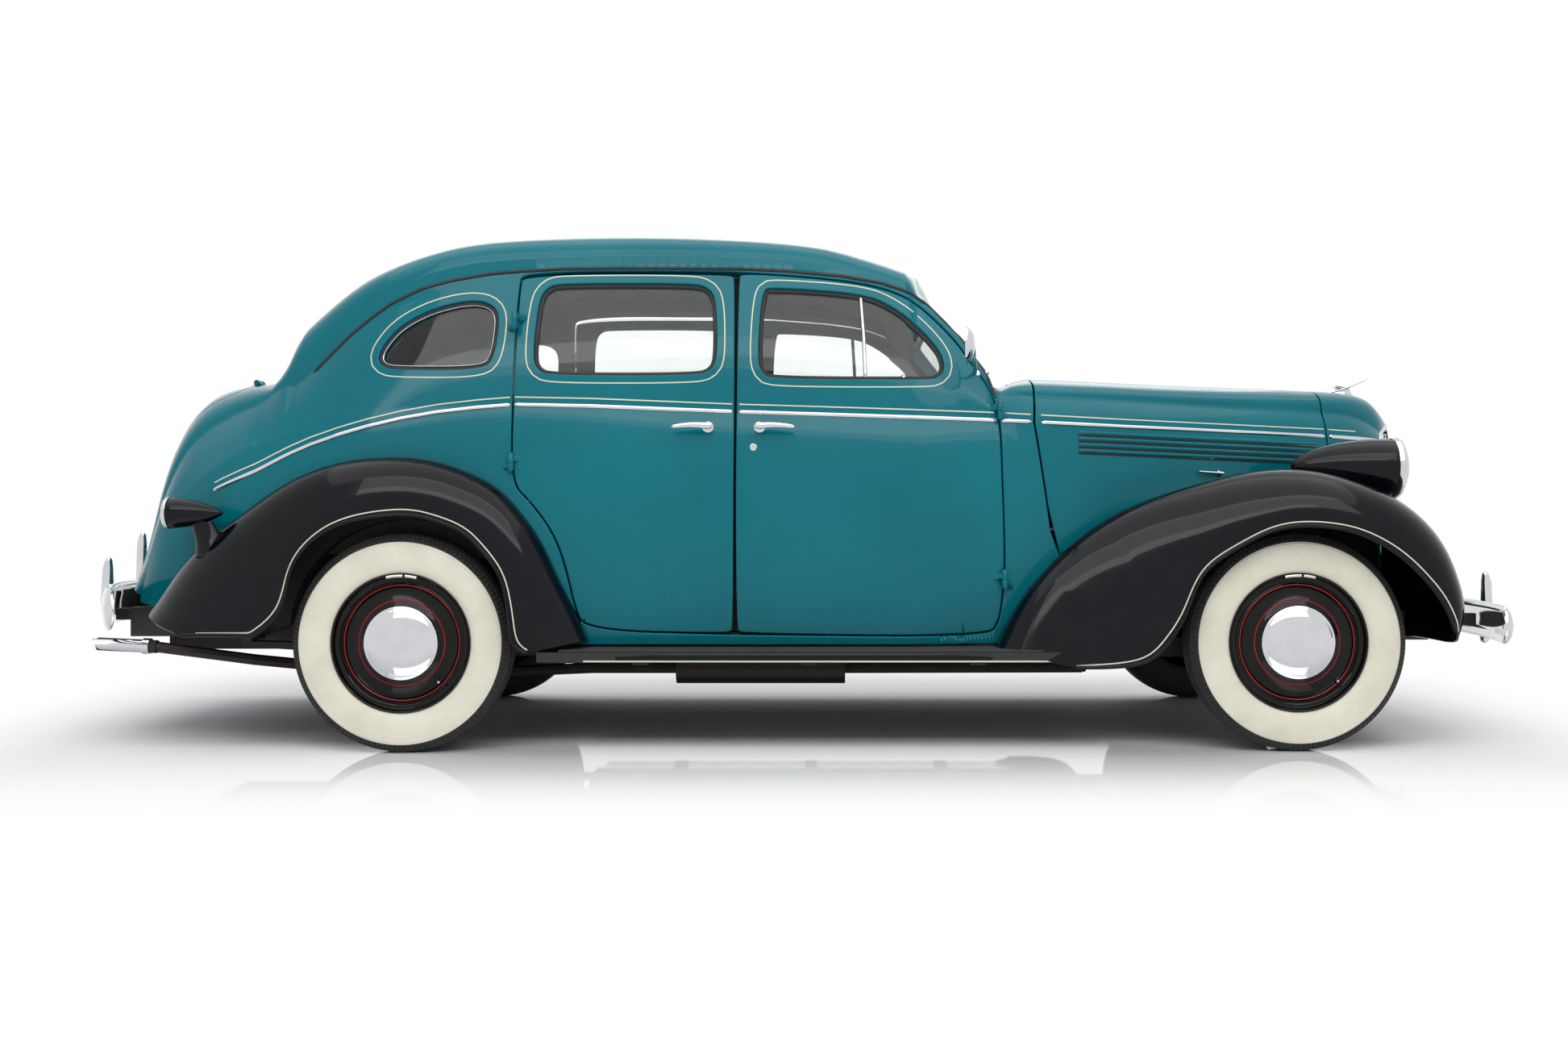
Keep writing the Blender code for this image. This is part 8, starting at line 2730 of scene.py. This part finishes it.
    @staticmethod
    def steering() -> None:
        """Column and three-spoked steering wheel."""
        centre = np.array((1.5 + REAR_AXLE_X, 0.36, 1.02))
        way = np.array((0.82, 0.0, -0.572))
        way /= np.linalg.norm(way)
        side = np.array((0.0, 1.0, 0.0))
        up = np.cross(side, way)
        turn = np.linspace(0.0, math.tau, 96, endpoint=False)
        circle = np.array([centre + (side * math.cos(t) + up * math.sin(t)) * 0.205 for t in turn])
        rim = Bench.tube("rim", circle, (0.0118, 0.0095, 16), way, True)
        hub = Bench.spun("hub", [(-0.032, 0.0), (-0.03, 0.014), (-0.022, 0.028), (-0.01, 0.034),
            (0.02, 0.032), (0.046, 0.024), (0.0485, 0.02), (0.0485, 0.0)], tuple(centre), tuple(way), 48)
        spokes = []
        for degrees in (90.0, 210.0, 330.0):
            t = math.radians(degrees)
            out = side * math.cos(t) + up * math.sin(t)
            path = np.array([centre + out * r - way * 0.01 * math.sin(math.pi * (r - 0.02) / 0.19)
                for r in np.linspace(0.02, 0.203, 16)])
            spokes.append(Bench.tube("spoke", path, (0.0075, 0.0055, 12), way))
        Bench.done(Bench.joined("steering_ring", [rim, *spokes, hub]), "brown_plastic", "hand_wheel",
            "control_plastic", ["steering_wheel"])
        button = Bench.spun("horn_button", [(-0.0325, 0.0), (-0.0345, 0.012), (-0.0385, 0.011),
            (-0.0415, 0.007), (-0.0425, 0.0)], tuple(centre), tuple(way), 32)
        Bench.done(button, "chrome_plate", "hand_wheel", "chrome")
        start, end = centre + way * 0.0505, centre + way * 0.8
        column = Bench.tube("steering_column", np.array([start + (end - start) * s
            for s in np.linspace(0, 1, 20)]), (0.022, 0.022, 24), (0.0, 1.0, 0.0))
        Bench.done(column, "frame_enamel", "car", "frame_black")

    def carpet(self) -> None:
        """Carpet over the cabin floor and the parcel shelf."""
        self.box("front_carpet", (0.56, -0.6, 0.3855), (1.975, 0.6, 0.3925), 0.003, 2, "floor_carpet")
        self.box("parcel_shelf", (-0.4, -0.56, 1.085), (-0.14, 0.56, 1.1), 0.004, 2, "trim_cloth")

    def build(self) -> None:
        """Build the whole cabin."""
        self.seats()
        self.lining()
        self.posts()
        self.dash()
        self.steering()
        self.carpet()


@dataclass
class Studio:
    """Floor, backdrop, lights and the camera at the photograph's angle."""

    def build(self) -> None:
        """Set the studio up."""
        scene = bpy.context.scene
        scene.view_settings.view_transform = "Standard"
        self._floor()
        self._world(scene)
        self._lamp("sky_box", (0.0, -1.0, 6.5), (0.0, 0.0, 0.0), (11.0, 7.0), 230.0)
        self._lamp("near_box", (0.5, -6.5, 6.5), (0.0, 0.0, 0.7), (11.0, 4.0), 330.0)
        self._lamp("far_box", (0.0, 7.5, 5.0), (0.0, 0.0, 0.8), (9.0, 3.0), 80.0)
        self._lamp("long_strip", (0.0, -5.0, 3.6), (0.0, 0.0, 0.9), (7.0, 0.6), 26.0)
        data = bpy.data.cameras.new("camera")
        data.sensor_fit = "HORIZONTAL"
        data.sensor_width = SENSOR_WIDE
        data.lens = FOCAL_PIXELS / PHOTO_WIDE * SENSOR_WIDE
        data.shift_x = -(PHOTO_AXIS[0] - PHOTO_CENTRE[0]) / PHOTO_WIDE
        data.shift_y = -(PHOTO_CENTRE[1] - PHOTO_AXIS[1]) / PHOTO_WIDE
        data.clip_end = 200.0
        camera = bpy.data.objects.new("camera", data)
        camera.location = (1.349 + REAR_AXLE_X, -5.81, 0.79)
        camera.rotation_euler = (math.pi / 2.0, 0.0, 0.0)
        scene.collection.objects.link(camera)
        scene.camera = camera

    @staticmethod
    def _seen(tree: bpy.types.NodeTree) -> bpy.types.NodeSocket:
        """Share of rays that meet the background plainly: seen, mirrored or through glass."""
        path = tree.nodes.new("ShaderNodeLightPath")
        total = path.outputs["Is Camera Ray"]
        for name in ("Is Glossy Ray", "Is Transmission Ray"):
            most = tree.nodes.new("ShaderNodeMath")
            most.operation = "MAXIMUM"
            tree.links.new(total, most.inputs[0])
            tree.links.new(path.outputs[name], most.inputs[1])
            total = most.outputs[0]
        return total

    def _floor(self) -> None:
        """Pale floor that mirrors the car faintly near it and turns to plain white far off."""
        board = Board("studio_floor")
        tree = board.tree
        size = 60.0
        across = board.axis(1).size()
        along = board.axis(0).size()
        near = across.ramp(0.52, 0.8) * across.ramp(0.85, 2.0, 1.0, 0.0) * along.ramp(2.45, 3.4, 1.0, 0.0)
        away = 1.0 - across.ramp(0.95, 2.1, 1.0, 0.0) * along.ramp(2.3, 3.2, 1.0, 0.0)
        board.set(Base_Color=(0.92, 0.92, 0.92), Roughness=0.9, Specular_IOR_Level=0.0)
        mirror = tree.nodes.new("ShaderNodeBsdfGlossy")
        mirror.inputs["Roughness"].default_value = 0.03
        white = tree.nodes.new("ShaderNodeEmission")
        polished = tree.nodes.new("ShaderNodeMixShader")
        board.link(polished.inputs[0], near * 0.42)
        tree.links.new(board.shader.outputs[0], polished.inputs[1])
        tree.links.new(mirror.outputs[0], polished.inputs[2])
        faded = tree.nodes.new("ShaderNodeMixShader")
        board.link(faded.inputs[0], away * Value(board, self._seen(tree)))
        tree.links.new(polished.outputs[0], faded.inputs[1])
        tree.links.new(white.outputs[0], faded.inputs[2])
        tree.links.new(faded.outputs[0], tree.nodes["Material Output"].inputs[0])
        mesh = bpy.data.meshes.new("floor")
        mesh.from_pydata([(-size, -size, 0.0), (size, -size, 0.0), (size, size, 0.0), (-size, size, 0.0)], [],
            [(0, 1, 2, 3)])
        mesh.materials.append(board.material)
        Bench.link("floor", mesh)

    def _world(self, scene: bpy.types.Scene) -> None:
        """Plain light from all round, with a white background where it is seen."""
        world = bpy.data.worlds.new("studio_world")
        scene.world = world
        world.use_nodes = True
        tree = world.node_tree
        light = tree.nodes["Background"]
        light.inputs["Color"].default_value = (0.92, 0.95, 1.0, 1.0)
        light.inputs["Strength"].default_value = 0.45
        white = tree.nodes.new("ShaderNodeBackground")
        white.inputs["Color"].default_value = (1.0, 1.0, 1.0, 1.0)
        mix = tree.nodes.new("ShaderNodeMixShader")
        tree.links.new(self._seen(tree), mix.inputs[0])
        tree.links.new(light.outputs[0], mix.inputs[1])
        tree.links.new(white.outputs[0], mix.inputs[2])
        tree.links.new(mix.outputs[0], tree.nodes["World Output"].inputs[0])

    @staticmethod
    def _lamp(name: str, place: Point, target: Point, size: tuple[float, float], power: float) -> None:
        """Hang one soft box."""
        data = bpy.data.lights.new(name, "AREA")
        data.shape = "RECTANGLE"
        data.size, data.size_y = size
        data.energy = power
        lamp = bpy.data.objects.new(name, data)
        lamp.location = place
        lamp.rotation_euler = (Vector(target) - Vector(place)).to_track_quat("-Z", "Y").to_euler()
        bpy.context.scene.collection.objects.link(lamp)


def plain(nodes: Iterable[str], finish: str) -> None:
    """Give carried-over frame nodes their finish."""
    for name in nodes:
        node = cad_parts[name]
        node.data.materials.clear()
        node.data.materials.append(FINISHES.get(finish))


def main() -> None:
    """Build the car and its studio in order."""
    logging.basicConfig(level=logging.INFO, format="%(message)s")
    skins = Skins()
    Studio().build()
    coach = Coachwork(skins)
    coach.build()
    Bonnet(skins).build()
    Wings(skins).build()
    Housings(skins).build()
    Fittings(skins, coach).build()
    Face(skins).build()
    Sides(skins).build()
    Lamps().build()
    Wheels().build()
    Bumper("front_bumper", 3.705 + REAR_AXLE_X, 0.1, 0.345, 0.47, 1.0,
        ((0.38, 0.32, 0.575), (-0.38, 0.32, 0.575))).build()
    Bumper("rear_bumper", -1.17 + REAR_AXLE_X, 0.22, 0.39, 0.53, -1.0,
        ((0.38, 0.38, 0.625), (-0.38, 0.38, 0.625), (0.0, 0.38, 0.71))).build()
    Cabin(skins, coach).build()
    plain(("chassis_frame",), "frame_enamel")
    plain(("front_axle", "rear_axle", "knuckle_left", "knuckle_right", "tie_rod"), "cast_metal")
    plain(("engine_block",), "engine_green")
    plain(("exhaust",), "exhaust_metal")
    LOG.info("%d pieces built", Bench.count)


if __name__ == "__main__":
    main()
